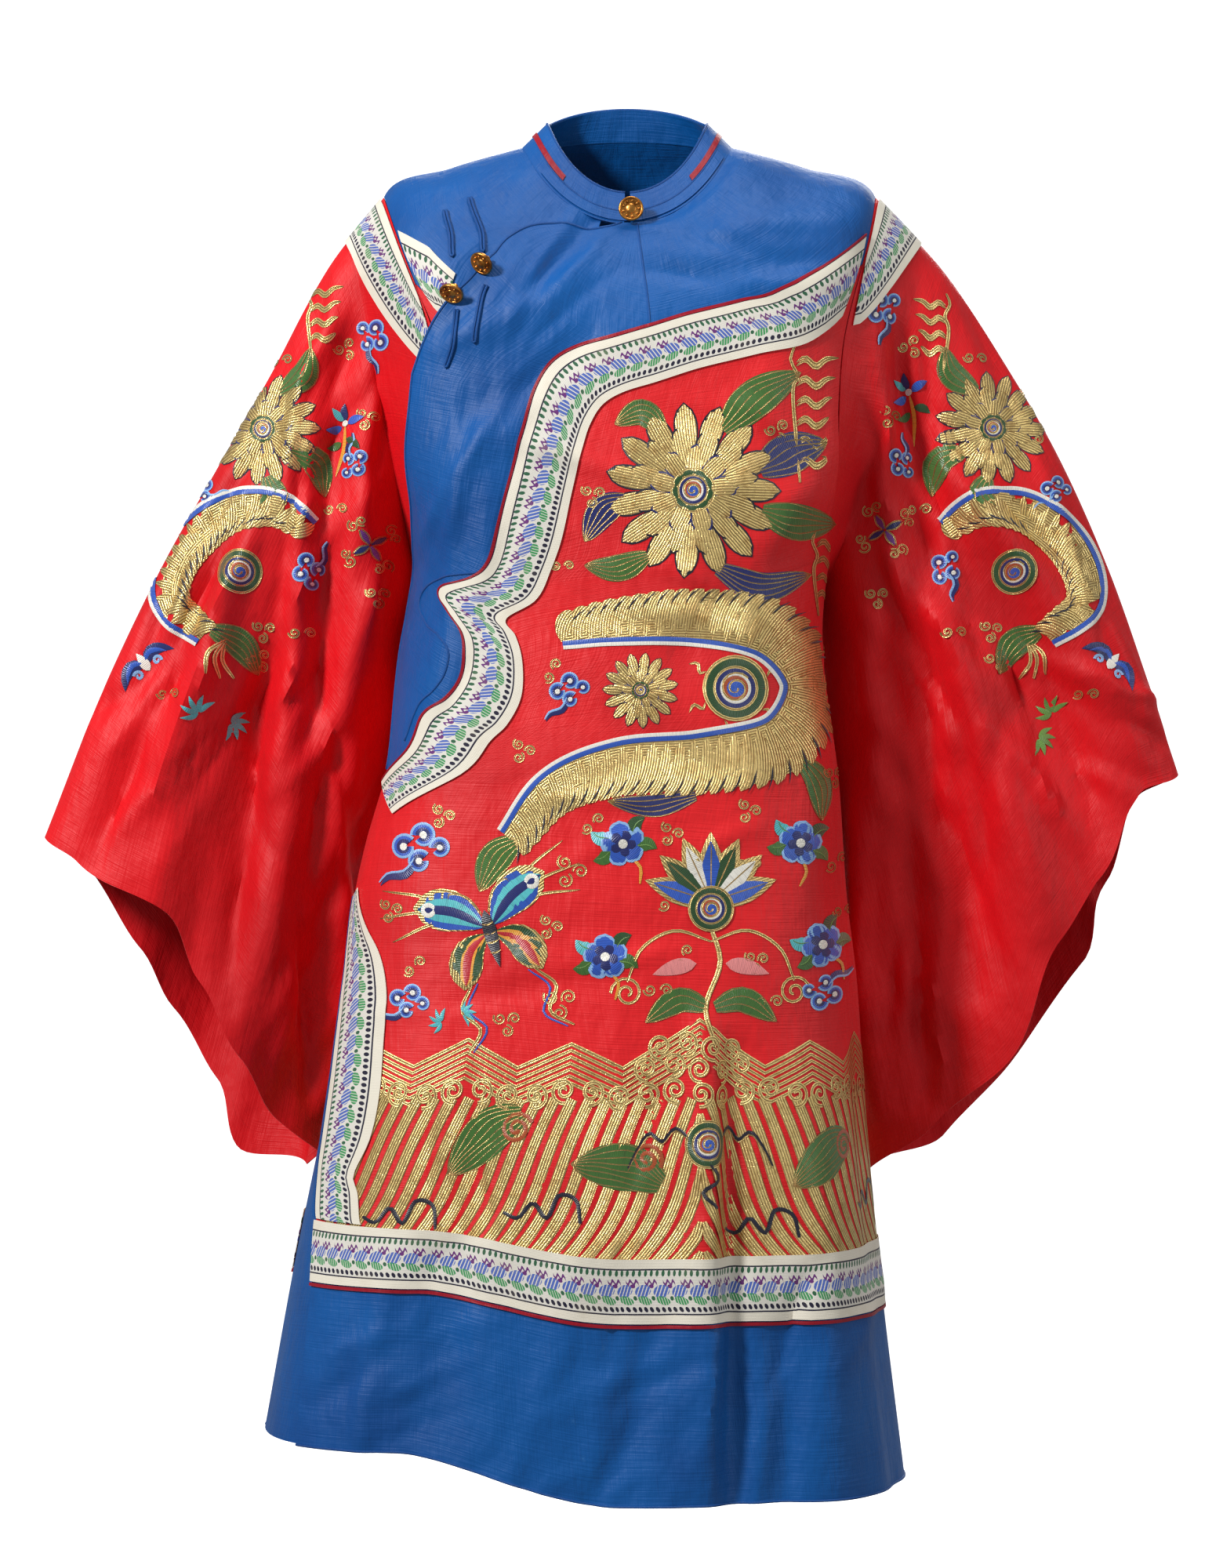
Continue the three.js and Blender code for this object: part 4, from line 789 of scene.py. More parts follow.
@dataclass
class Shell:
    """A thin closed shell over a grid of places on a surface."""

    name: str
    cloth: Cloth
    grid: np.ndarray
    thickness: float = 1.1
    stand: float = 0.0
    closed: bool = False
    run: Run = Run.CUT
    flip: bool = False
    sizes: tuple[float, float] = field(default=(0.0, 0.0), init=False)

    def build(self) -> bpy.types.Object:
        """Make the shell's object, and note its cut size."""
        u, v = self.grid[..., 0], self.grid[..., 1]
        outer = self.cloth.at(u, v, self.stand + self.thickness / 2)
        inner = self.cloth.at(u, v, self.stand - self.thickness / 2)
        rows, columns = u.shape
        spans = columns if self.closed else columns - 1
        i, j = np.meshgrid(np.arange(rows - 1), np.arange(spans), indexing="ij")
        i, j = i.ravel(), j.ravel()
        across, down = self._lengths(outer)
        corners = [(i, j), (i + 1, j), (i + 1, j + 1), (i, j + 1)]
        layer = rows * columns
        quads = np.stack([a * columns + b % columns for a, b in corners], axis=-1)
        uvs = np.stack([self._texture(across, down, a, b) for a, b in corners], axis=1)
        faces, textures = [quads, quads[:, ::-1] + layer], [uvs, uvs[:, ::-1]]
        for edge, line in self._rims(rows, columns):
            near, far = edge[:-1], edge[1:]
            faces.append(np.stack([near, near + layer, far + layer, far], axis=-1))
            mapped = self._texture(across, down, line[:, 0], line[:, 1])
            textures.append(np.stack([mapped[:-1], mapped[:-1], mapped[1:], mapped[1:]], axis=1))
        faces, textures = np.concatenate(faces), np.concatenate(textures)
        points = np.concatenate([outer.reshape(-1, 3), inner.reshape(-1, 3)])
        if self._inside_out(points, faces):
            faces, textures = faces[:, ::-1], textures[:, ::-1]
        self.sizes = (float(across[-1]), float(down[-1]))
        piece = new_object(self.name, points, faces, textures)
        sharpen(piece)
        return piece

    def _lengths(self, outer: np.ndarray) -> tuple[np.ndarray, np.ndarray]:
        """Mean lengths across and down the piece, in metres, at each column and row."""
        wide = np.concatenate([outer, outer[:, :1]], axis=1) if self.closed else outer
        across = np.linalg.norm(np.diff(wide, axis=1), axis=-1).mean(axis=0)
        down = np.linalg.norm(np.diff(outer, axis=0), axis=-1).mean(axis=1)
        return tuple(np.concatenate([[0.0], np.cumsum(steps)]) * MM for steps in (across, down))

    def _texture(self, across: np.ndarray, down: np.ndarray, i: np.ndarray, j: np.ndarray) -> np.ndarray:
        """Texture coordinates of grid corners."""
        if self.run is Run.CUT:
            return np.stack([across[j], -down[i]], axis=-1)
        share = across[j] / across[-1]
        return np.stack([down[i], 1 - share if self.flip else share], axis=-1)

    def _rims(self, rows: int, columns: int) -> list[tuple[np.ndarray, np.ndarray]]:
        """Vertex numbers and grid corners along each open edge, in order round the piece."""
        a, b = np.arange(rows), np.arange(columns + (1 if self.closed else 0))
        top = (b % columns, np.stack([np.zeros_like(b), b], axis=-1))
        foot = ((rows - 1) * columns + b % columns, np.stack([np.full_like(b, rows - 1), b], axis=-1))
        edges = [(top[0][::-1], top[1][::-1]), foot]
        if not self.closed:
            left = (a * columns, np.stack([a, np.zeros_like(a)], axis=-1))
            right = (a * columns + columns - 1, np.stack([a, np.full_like(a, columns - 1)], axis=-1))
            edges += [left, (right[0][::-1], right[1][::-1])]
        return edges

    @staticmethod
    def _inside_out(points: np.ndarray, faces: np.ndarray) -> bool:
        """Whether the faces enclose a negative volume."""
        a, b, c, d = (points[faces[:, k]] for k in range(4))
        volume = np.einsum("ij,ij->i", a, np.cross(b, c)) + np.einsum("ij,ij->i", a, np.cross(c, d))
        return bool(volume.sum() < 0)


def tube(name: str, path: np.ndarray, radius: float, sides: int = 8) -> bpy.types.Object:
    """Make a closed round tube along a path, as for a rolled piping."""
    run = np.gradient(path, axis=0)
    run /= np.linalg.norm(run, axis=-1, keepdims=True)
    side = np.cross(run, np.array([0.0, 1.0, 0.3]))
    side /= np.linalg.norm(side, axis=-1, keepdims=True)
    up = np.cross(side, run)
    turn = np.linspace(0.0, 2 * np.pi, sides, endpoint=False)
    rings = path[:, None] + radius * (
        np.cos(turn)[None, :, None] * side[:, None] + np.sin(turn)[None, :, None] * up[:, None]
    )
    points = np.concatenate([rings.reshape(-1, 3), path[:1], path[-1:]])
    n = len(path)
    faces, uvs = [], []
    along = np.concatenate([[0.0], np.cumsum(np.linalg.norm(np.diff(path, axis=0), axis=-1))]) * MM
    for i in range(n - 1):
        for k in range(sides):
            m = (k + 1) % sides
            faces.append([i * sides + k, i * sides + m, (i + 1) * sides + m, (i + 1) * sides + k])
            low, high = k / sides, (k + 1) / sides
            uvs.append([[along[i], low], [along[i], high], [along[i + 1], high], [along[i + 1], low]])
    for ring, cap in ((0, n * sides), ((n - 1) * sides, n * sides + 1)):
        for k in range(0, sides, 2):
            corner = [ring + k, ring + (k + 1) % sides, ring + (k + 2) % sides, cap]
            faces.append(corner[::-1] if ring == 0 else corner)
            uvs.append([[along[0 if ring == 0 else -1], 0.5]] * 4)
    piece = new_object(name, points, np.array(faces), np.array(uvs))
    bpy.ops.object.select_all(action="DESELECT")
    piece.select_set(True)
    bpy.context.view_layer.objects.active = piece
    bpy.ops.object.mode_set(mode="EDIT")
    bpy.ops.mesh.select_all(action="SELECT")
    bpy.ops.mesh.normals_make_consistent(inside=False)
    bpy.ops.object.mode_set(mode="OBJECT")
    piece.select_set(False)
    return piece


# ---- finishes ----------------------------------------------------------------------------------------
def srgb(red: int, green: int, blue: int) -> Colour:
    """Linear colour from display values of 0 to 255."""
    def linear(value: int) -> float:
        """One channel."""
        share = value / 255
        return share / 12.92 if share <= 0.04045 else ((share + 0.055) / 1.055) ** 2.4
    return linear(red), linear(green), linear(blue)


class Value:
    """A shader value; an expression on it adds the Math nodes that work it out."""

    def __init__(self, maker: "Maker", socket: bpy.types.NodeSocket) -> None:
        """Wrap an output socket."""
        self.maker, self.socket = maker, socket

    def _math(self, operation: str, *others: object) -> "Value":
        """Add one Math node."""
        return self.maker.node("ShaderNodeMath", {"operation": operation}, {
            index: item for index, item in enumerate((self, *others))
        })[0]

    def __add__(self, other: object) -> "Value":
        """Sum."""
        return self._math("ADD", other)

    __radd__ = __add__

    def __mul__(self, other: object) -> "Value":
        """Product."""
        return self._math("MULTIPLY", other)

    __rmul__ = __mul__

    def __sub__(self, other: object) -> "Value":
        """Difference."""
        return self._math("SUBTRACT", other)

    def __rsub__(self, other: float) -> "Value":
        """Reflected difference."""
        return self * -1.0 + other

    def __truediv__(self, other: object) -> "Value":
        """Quotient."""
        return self._math("DIVIDE", other)

    def __lt__(self, other: object) -> "Value":
        """1 where it is less."""
        return self._math("LESS_THAN", other)

    def __gt__(self, other: object) -> "Value":
        """1 where it is more."""
        return self._math("GREATER_THAN", other)

    def __abs__(self) -> "Value":
        """Size without its sign."""
        return self._math("ABSOLUTE")

    def fract(self) -> "Value":
        """Part after the point."""
        return self._math("FRACT")

    def sin(self) -> "Value":
        """Sine of radians."""
        return self._math("SINE")

    def ease(self, low: float, high: float) -> "Value":
        """0 below low, 1 above high, and smooth between."""
        return self.maker.node("ShaderNodeMapRange", {"interpolation_type": "SMOOTHSTEP", "clamp": True}, {
            "Value": self, "From Min": low, "From Max": high,
        })[0]


class Maker:
    """Builds one material's nodes."""

    def __init__(self, name: str) -> None:
        """Start an empty material."""
        self.material = bpy.data.materials.new(name)
        self.material.use_nodes = True
        self.tree = self.material.node_tree
        self.tree.nodes.clear()

    def node(self, kind: str, settings: dict | None = None, values: dict | None = None) -> list[Value]:
        """Add a node.

        Args:
            kind: its type.
            settings: its properties.
            values: values or links of its inputs, by name or number.

        Returns:
            Its outputs, wrapped.
        """
        made = self.tree.nodes.new(kind)
        for key, setting in (settings or {}).items():
            setattr(made, key, setting)
        for key, value in (values or {}).items():
            socket = made.inputs[key]
            if isinstance(value, Value):
                self.tree.links.new(value.socket, socket)
            elif isinstance(value, tuple) and len(value) == 3 and socket.type == "RGBA":
                socket.default_value = (*value, 1.0)
            else:
                socket.default_value = value
        return [Value(self, socket) for socket in made.outputs]

    def cut(self) -> tuple[Value, Value, Value]:
        """The piece's own texture place, as a vector and its two numbers."""
        vector = self.node("ShaderNodeUVMap", {"uv_map": "cut"})[0]
        parts = self.node("ShaderNodeSeparateXYZ", None, {0: vector})
        return vector, parts[0], parts[1]

    def place(self) -> Value:
        """Object coordinates."""
        return self.node("ShaderNodeTexCoord")[3]

    def stretched(self, vector: Value, scale: tuple[float, float, float]) -> Value:
        """A vector scaled on each axis."""
        return self.node("ShaderNodeVectorMath", {"operation": "MULTIPLY"}, {0: vector, 1: scale})[0]

    def noise(self, vector: Value, scale: float, detail: float = 3.0, rough: float = 0.55) -> Value:
        """Noise from 0 to 1."""
        return self.node("ShaderNodeTexNoise", None, {
            "Vector": vector, "Scale": scale, "Detail": detail, "Roughness": rough,
        })[0]

    def mix(self, share: object, a: object, b: object) -> Value:
        """Colour between a and b."""
        made = self.tree.nodes.new("ShaderNodeMix")
        made.data_type = "RGBA"
        for socket, value in ((made.inputs[0], share), (made.inputs[6], a), (made.inputs[7], b)):
            if isinstance(value, Value):
                self.tree.links.new(value.socket, socket)
            else:
                socket.default_value = value if socket.type == "VALUE" else (*value, 1.0)
        return Value(self, made.outputs[2])

    def bump(self, height: Value, strength: float, distance: float, under: Value | None = None) -> Value:
        """Normal bent by a height."""
        values = {"Height": height, "Strength": strength, "Distance": distance}
        if under is not None:
            values["Normal"] = under
        return self.node("ShaderNodeBump", None, values)[0]

    def finish(self, constants: dict, varying: dict) -> bpy.types.Material:
        """Close the material with its shader.

        Args:
            constants: values that are the same all over.
            varying: values that change over the surface.

        Returns:
            The material.
        """
        shader = self.node("ShaderNodeBsdfPrincipled", None, {**constants, **varying})[0]
        self.node("ShaderNodeOutputMaterial", None, {"Surface": shader})
        return self.material


@dataclass(frozen=True)
class Satin:
    """Silk satin: floating threads, broad uneven colour, faint slubs and small stains."""

    name: str
    base: Colour
    deep: Colour
    stain: Colour
    roughness: float = 0.5
    sheen: float = 0.04
    stains: float = 0.0
    thread: float = 6000.0

    def material(self) -> bpy.types.Material:
        """Build the material."""
        m = Maker(self.name)
        cut, across, down = m.cut()
        place = m.place()
        broad = m.noise(place, 5.0, 4.0, 0.6)
        slub = m.noise(m.stretched(cut, (22.0, 700.0, 1.0)), 1.0, 3.0, 0.6)
        drawn = m.noise(m.stretched(cut, (500.0, 18.0, 1.0)), 1.0, 2.0, 0.5)
        colour = m.mix(broad.ease(0.38, 0.7) * 0.55, self.base, self.deep)
        colour = m.mix(slub.ease(0.56, 0.8) * 0.3, colour, self.deep)
        if self.stains:
            spots = m.noise(place, 26.0, 5.0, 0.7).ease(0.66, 0.8)
            colour = m.mix(spots * self.stains, colour, self.stain)
        weave = (across * self.thread).sin() * 0.5 + (down * self.thread * 0.55).sin() * 0.25
        fine = m.bump(weave, 0.12, 0.0002)
        ruck = m.noise(place, 34.0, 3.0, 0.55)
        crumple = m.noise(m.stretched(place, (1.0, 1.0, 0.45)), 13.0, 4.0, 0.62)
        normal = m.bump(slub * 0.5 + drawn * 0.4 + ruck * 1.2 + crumple * 7.0, 0.5, 0.002, fine)
        rough = broad * 0.14 + slub * 0.08 + (self.roughness - 0.1)
        return m.finish(
            {"Sheen Weight": self.sheen, "Sheen Roughness": 0.35, "Specular IOR Level": 0.34},
            {"Base Color": colour, "Roughness": rough, "Normal": normal},
        )


@dataclass(frozen=True)
class WovenRibbon:
    """Cream woven ribbon: commas, scrolls, swags, sprigs and dots between plain margins."""

    name: str = "woven_ribbon"
    ground: Colour = srgb(222, 218, 208)
    margin: Colour = srgb(232, 225, 208)
    dark: Colour = srgb(24, 22, 48)
    green: Colour = srgb(44, 96, 66)
    leaf: Colour = srgb(62, 148, 88)
    violet: Colour = srgb(104, 44, 118)
    blue: Colour = srgb(78, 104, 184)
    small: float = 0.0047
    large: float = 0.0147

    def material(self) -> bpy.types.Material:
        """Build the material."""
        m = Maker(self.name)
        cut, along, across = m.cut()
        small = (along / self.small).fract() - 0.5
        large = (along / self.large).fract() - 0.5
        offset = (along / self.large + 0.5).fract() - 0.5

        def oval(x: Value, centre: float, wide: float, tall: float, slant: float = 0.0) -> Value:
            """1 inside an oval."""
            dx = (x + (across - centre) * slant) / wide
            dy = (across - centre) / tall
            return (dx * dx + dy * dy) < 1.0

        def line(centre: float, half: float) -> Value:
            """1 on a thin line along the ribbon."""
            return abs(across - centre) < half

        colour = m.mix((abs(across - 0.5) < 0.345), self.margin, self.ground)
        colour = m.mix(line(0.158, 0.012), colour, self.dark)
        colour = m.mix(oval(small, 0.215, 0.27, 0.05, 3.0), colour, self.green)
        curl = abs(across - 0.36 - (large * 21.0).sin() * 0.032) < 0.026
        colour = m.mix(curl * (abs(large) < 0.33), colour, self.violet)
        colour = m.mix(oval(large, 0.415, 0.13, 0.03), colour, self.violet)
        slope = (offset * 5.0 + across * 9.0).fract() > 0.3
        swag = slope * oval(offset, 0.49, 0.43, 0.1, 1.2)
        colour = m.mix(swag, colour, self.blue)
        blades = (offset * 7.0 - across * 4.0).fract() > 0.24
        colour = m.mix(blades * oval(offset, 0.635, 0.36, 0.07, -1.5), colour, self.leaf)
        colour = m.mix(oval(large, 0.6, 0.1, 0.035), colour, self.green)
        colour = m.mix(oval(small, 0.775, 0.33, 0.042, -2.0), colour, self.dark)
        colour = m.mix(line(0.852, 0.012), colour, self.dark)
        worn = m.noise(m.place(), 40.0, 4.0, 0.6)
        colour = m.mix(worn.ease(0.5, 0.8) * 0.22, colour, srgb(196, 182, 150))
        threads = (along * 5200.0).sin() * 0.5 + (across * 260.0).sin() * 0.5
        normal = m.bump(threads, 0.25, 0.0003, m.bump(m.noise(m.place(), 60.0), 0.35, 0.0014))
        return m.finish(
            {"Sheen Weight": 0.15, "Specular IOR Level": 0.35},
            {"Base Color": colour, "Roughness": worn * 0.2 + 0.6, "Normal": normal},
        )


@dataclass(frozen=True)
class GoldThread:
    """Couched gold thread: bright metal wrapped round a silk core, laid in close rows."""

    name: str = "gold_thread"
    bright: Colour = srgb(255, 226, 150)
    dull: Colour = srgb(168, 122, 60)
    pitch: float = 0.0021

    def material(self) -> bpy.types.Material:
        """Build the material; its texture runs in metres along and across the thread."""
        m = Maker(self.name)
        cut, along, across = m.cut()
        row = abs((across / self.pitch).fract() - 0.5) * 2.0
        twist = (along * 4200.0 + across * 5200.0).sin()
        stitch = (along / 0.0062 + m.noise(cut, 60.0) * 3.0).fract()
        couched = stitch.ease(0.0, 0.12) * (1.0 - stitch.ease(0.88, 1.0))
        age = m.noise(m.place(), 90.0, 5.0, 0.75)
        # Painted shade: each thread row darkens to brown towards its edges, in the grooves between the
        # threads.
        colour = m.mix(row.ease(0.45, 1.0) * 0.9, self.bright, srgb(112, 66, 30))
        colour = m.mix(age.ease(0.45, 0.75) * 0.75, colour, self.dull)
        colour = m.mix((1.0 - couched) * 0.16, colour, srgb(130, 76, 36))
        height = (1.0 - row * row) + twist * 0.1 + couched * 0.22 + age * 1.5
        return m.finish(
            {"Metallic": 0.72, "Specular IOR Level": 0.6},
            {"Base Color": colour, "Roughness": age * 0.3 + 0.16, "Normal": m.bump(height, 0.8, 0.0006)},
        )


@dataclass(frozen=True)
class SilkThread:
    """Untwisted floss in satin stitch; each shape carries its own colour."""

    name: str = "silk_floss"

    def material(self) -> bpy.types.Material:
        """Build the material; its colour is the mesh's own attribute."""
        m = Maker(self.name)
        cut, along, across = m.cut()
        dyed = m.node("ShaderNodeVertexColor", {"layer_name": "dye"})[0]
        strands = (along * 4600.0 + m.noise(cut, 300.0) * 4.0).sin()
        shade = m.noise(m.stretched(cut, (900.0, 60.0, 1.0)), 1.0, 2.0, 0.5)
        darker = m.node("ShaderNodeMix", {"data_type": "RGBA", "blend_type": "MULTIPLY"}, {
            0: 1.0, 6: dyed, 7: (0.42, 0.42, 0.46),
        })[2]
        colour = m.mix(shade.ease(0.42, 0.8) * 0.6, dyed, darker)
        return m.finish(
            {"Sheen Weight": 0.3, "Specular IOR Level": 0.6},
            {"Base Color": colour, "Roughness": shade * 0.2 + 0.26, "Normal": m.bump(strands, 0.3, 0.0004)},
        )


@dataclass(frozen=True)
class Brass:
    """Worn cast brass, darker in random patches, with a plain beaded relief."""

    name: str = "worn_brass"

    def material(self) -> bpy.types.Material:
        """Build the material."""
        m = Maker(self.name)
        place = m.place()
        grain = m.noise(place, 500.0, 4.0, 0.6)
        patch_of = m.noise(place, 140.0, 3.0, 0.6)
        colour = m.mix(patch_of.ease(0.4, 0.7), srgb(214, 150, 74), srgb(138, 84, 36))
        normal = m.bump(grain * 0.6 + patch_of * 1.4, 0.5, 0.0006)
        return m.finish(
            {"Metallic": 1.0},
            {"Base Color": colour, "Roughness": grain * 0.25 + 0.2, "Normal": normal},
        )


@dataclass(frozen=True)
class Wardrobe:
    """Every finish of the robe, ready to use."""

    body_red: bpy.types.Material
    sleeve_red: bpy.types.Material
    blue: bpy.types.Material
    ribbon: bpy.types.Material
    piping: bpy.types.Material
    cord: bpy.types.Material
    gold: bpy.types.Material
    floss: bpy.types.Material
    brass: bpy.types.Material

    @classmethod
    def make(cls) -> "Wardrobe":
        """Mix all the finishes."""
        return cls(
            body_red=Satin("red_satin_body", srgb(232, 30, 36), srgb(190, 14, 24),
                           srgb(226, 120, 100)).material(),
            sleeve_red=Satin("red_satin_sleeve", srgb(228, 12, 24), srgb(178, 4, 14),
                             srgb(226, 120, 100)).material(),
            blue=Satin("blue_satin", srgb(0, 86, 160), srgb(0, 54, 122), srgb(96, 156, 206),
                       roughness=0.48, stains=0.35).material(),
            ribbon=WovenRibbon().material(),
            piping=Satin("dark_red_satin", srgb(158, 12, 34), srgb(110, 6, 26), srgb(158, 12, 34),
                         roughness=0.42).material(),
            cord=Satin("blue_cord", srgb(18, 84, 158), srgb(8, 48, 112), srgb(16, 66, 134),
                       roughness=0.42).material(),
            gold=GoldThread().material(),
            floss=SilkThread().material(),
            brass=Brass().material(),
        )


# ---- cloth pieces --------------------------------------------------------------------------------------
RED, BLUE, RIBBON, PIPING, BRASS = "red_silk", "blue_silk", "ribbon", "piping", "brass"


@dataclass
class Tailor:
    """Cuts the cloth pieces and sews them in their places."""

    forms: Forms
    finishes: Wardrobe
    seam: float = 0.35
    columns: int = 110
    rows: int = 140
    band_ends: tuple[float, float] = (-50.0, 62.0)
    band_heights: tuple[float, float] = (0.06, 0.38)
    band_steps: int = 80
    crescent_start: float = 0.004
    crescent_foot: float = 0.014
    crescent_depth: float = 0.1
    crescent_fullness: float = 0.62

    def __post_init__(self) -> None:
        """Work out the seam lines that neighbouring pieces share."""
        f = self.forms
        top = np.vstack([armhole(1, YOKE_STEP - 1, True), f.on_front(RIBBON_UPPER_EDGE)])
        foot = np.vstack([armhole(1, YOKE_STEP + 1, True), f.on_front(RIBBON_LOWER_EDGE)])
        self.ribbon_top, self.ribbon_foot = top, foot
        middle = (top + foot) / 2
        middle[0] = armhole(1, YOKE_STEP, True)
        middle[-1] = f.side_edge[0]
        self.middle = middle
        self.corner = np.array([f.side_edge[-1, 0], BORDER])
        self.left_foot = np.vstack([armhole(-1, YOKE_STEP, True), f.on_front(LEFT_YOKE_FOOT)])

    def cut(self, name: str, cloth: Cloth, grid: np.ndarray, material: bpy.types.Material, slot: str,
            nodes: Sequence[str], held: str = "hung", **options: object) -> bpy.types.Object:
        shell = Shell(name, cloth, self._inset(grid, bool(options.get("closed"))), **options)
        piece = shell.build()
        dress(piece, material, nodes)
        if held:
            wide, long = (max(0.004, size) for size in shell.sizes)
            flat = (round(wide * 1.04, 3), round(long * 1.04, 3))
        return piece

    @staticmethod
    def _area(piece: bpy.types.Object) -> float:
        """Surface area of a mesh, in square metres."""
        return sum(polygon.area for polygon in piece.data.polygons)

    def _inset(self, grid: np.ndarray, closed: bool) -> np.ndarray:
        """Stop a piece a little short of its seams."""
        out = grid.copy()
        scale = np.array(ROUND) if not closed else np.array([2.6, 800.0])

        def toward(edge: np.ndarray, inner: np.ndarray) -> np.ndarray:
            """Edge points moved in by the seam allowance."""
            gap = np.linalg.norm((inner - edge) * scale, axis=-1, keepdims=True)
            return edge + (inner - edge) * np.minimum(0.4, self.seam / np.maximum(gap, 1e-6))

        out[0], out[-1] = toward(out[0], out[1]), toward(out[-1], out[-2])
        if not closed:
            out[:, 0], out[:, -1] = toward(out[:, 0], out[:, 1]), toward(out[:, -1], out[:, -2])
        return out

    def front(self) -> None:
        """Cut the outer front: red panel, blue flap, right yoke and hem border."""
        f, w, n, m = self.forms, self.finishes, self.columns, self.rows
        across = evenly(curve(self.middle[:RIBBON_CORNER + 1], 120, ROUND), n, ROUND)
        down_count = int(m * 0.55)
        down = curve(self.middle[RIBBON_CORNER:], down_count, ROUND)
        side = evenly(f.side_edge, m - down_count, ROUND)
        side[-1, 1] = BORDER
        left = np.vstack([down, side[1:]])
        right = np.vstack([
            armhole_line(1, YOKE_STEP, ARMHOLE_STEPS, True, 40),
            between((90, UNDERARM), (90, BORDER), m - 40)[1:],
        ])
        border = between(self.corner, (90, BORDER), n)
        self.cut("cloth_front_panel", f.front, patch(across[::-1], border, left, right), w.body_red, RED,
                 ["front_panel"])
        hem = between((HEM_CORNER_ANGLE, HEM), (90, HEM), n)
        self.cut("cloth_front_hem", f.front, band(border, hem, 26), w.blue, BLUE, ["front_hem"])
        self._flap(down)
        self._right_yoke()

    def _flap(self, down: Line) -> None:
        """Cut the flap that closes over to one side."""
        f = self.forms
        turn, hang = 5, 9
        outer = np.vstack([
            curve(f.flap_edge[:turn + 1], 24, ROUND),
            curve(f.flap_edge[turn:hang + 1], 30, ROUND)[1:],
            curve(f.flap_edge[hang:], 60, ROUND)[1:],
        ])
        inner = np.vstack([
            between((CENTRE_SEAM_ANGLE, NECK), self.middle[SEAM_FOOT], 24),
            evenly(self.middle[SEAM_FOOT:RIBBON_CORNER + 1], 30, ROUND)[1:],
            evenly(down, 60, ROUND)[1:],
        ])
        self.flap_line, self.flap_inner = outer[:-3], inner[:-3]
        self.cut("cloth_front_flap", f.front, band(self.flap_line, self.flap_inner, 44), self.finishes.blue,
                 BLUE, ["front_flap"])

    def _right_yoke(self) -> None:
        """Cut the right yoke, from the centre seam over to the shoulder ridge."""
        f = self.forms
        across = evenly(self.middle[:SEAM_FOOT + 1], 50, ROUND)[::-1]
        foot = np.vstack([across, armhole_line(1, YOKE_STEP, 0, True, 20)[1:]])
        top = between((CENTRE_SEAM_ANGLE, NECK), (90, NECK), len(foot) - 1)
        seam = between((CENTRE_SEAM_ANGLE, NECK), self.middle[SEAM_FOOT], 40)
        ridge = between((90, NECK), (90, SHOULDER), 40)
        self.cut("cloth_yoke_right", f.front, patch(top, foot, seam, ridge), self.finishes.blue, BLUE,
                 ["front_yoke_right"])

    def under_front(self) -> None:
        """Cut the under front: left yoke, red side and its blue border."""
        f, w = self.forms, self.finishes
        foot = np.vstack([
            evenly(self.left_foot, 40, ROUND)[::-1],
            armhole_line(-1, YOKE_STEP, 0, True, 20)[1:],
        ])
        top = between((UNDER_NECK_ANGLE, NECK), (-90, NECK), len(foot) - 1)
        turned_under = [(UNDER_NECK_ANGLE, NECK), f.on_front(LEFT_YOKE_UNDER), self.left_foot[-1]]
        hidden = evenly(np.vstack(turned_under), 40, ROUND)
        ridge = between((-90, NECK), (-90, SHOULDER), 40)
        self.cut("cloth_yoke_left", f.body, patch(top, foot, hidden, ridge), w.blue, BLUE,
                 ["front_yoke_left"])
        split = UNDERARM + (BORDER - UNDERARM) * UNDER_RED_SHARE
        seam = np.vstack([
            armhole_line(-1, YOKE_STEP, ARMHOLE_STEPS, True, 40),
            between((-90, UNDERARM), (-90, split), 60)[1:],
        ])
        free = np.vstack([f.flap_edge[9:], f.side_edge[1:]]) + np.array([UNDER_LAP_ANGLE, 0.0])
        end = np.array([self.corner[0] + UNDER_LAP_ANGLE, split])
        lap = np.vstack([self.left_foot[-1], free[free[:, 1] < split - 0.1], end])
        lap = evenly(lap, len(seam) - 1, ROUND)
        grid = patch(evenly(self.left_foot, 30, ROUND), between((-90, split), end, 30), seam, lap)
        self.cut("cloth_under_front", f.body, grid, w.body_red, RED, ["under_front"])
        outer = np.vstack([
            between((-90, split), (-90, BORDER), 20),
            between((-90, BORDER), (-90, HEM), 24)[1:],
        ])
        inner = evenly(np.array([end, (HEM_CORNER_ANGLE + UNDER_LAP_ANGLE, HEM)]), len(outer) - 1, ROUND)
        self.cut("cloth_under_border", f.body, band(outer, inner, 24), w.blue, BLUE, ["under_front_border"])

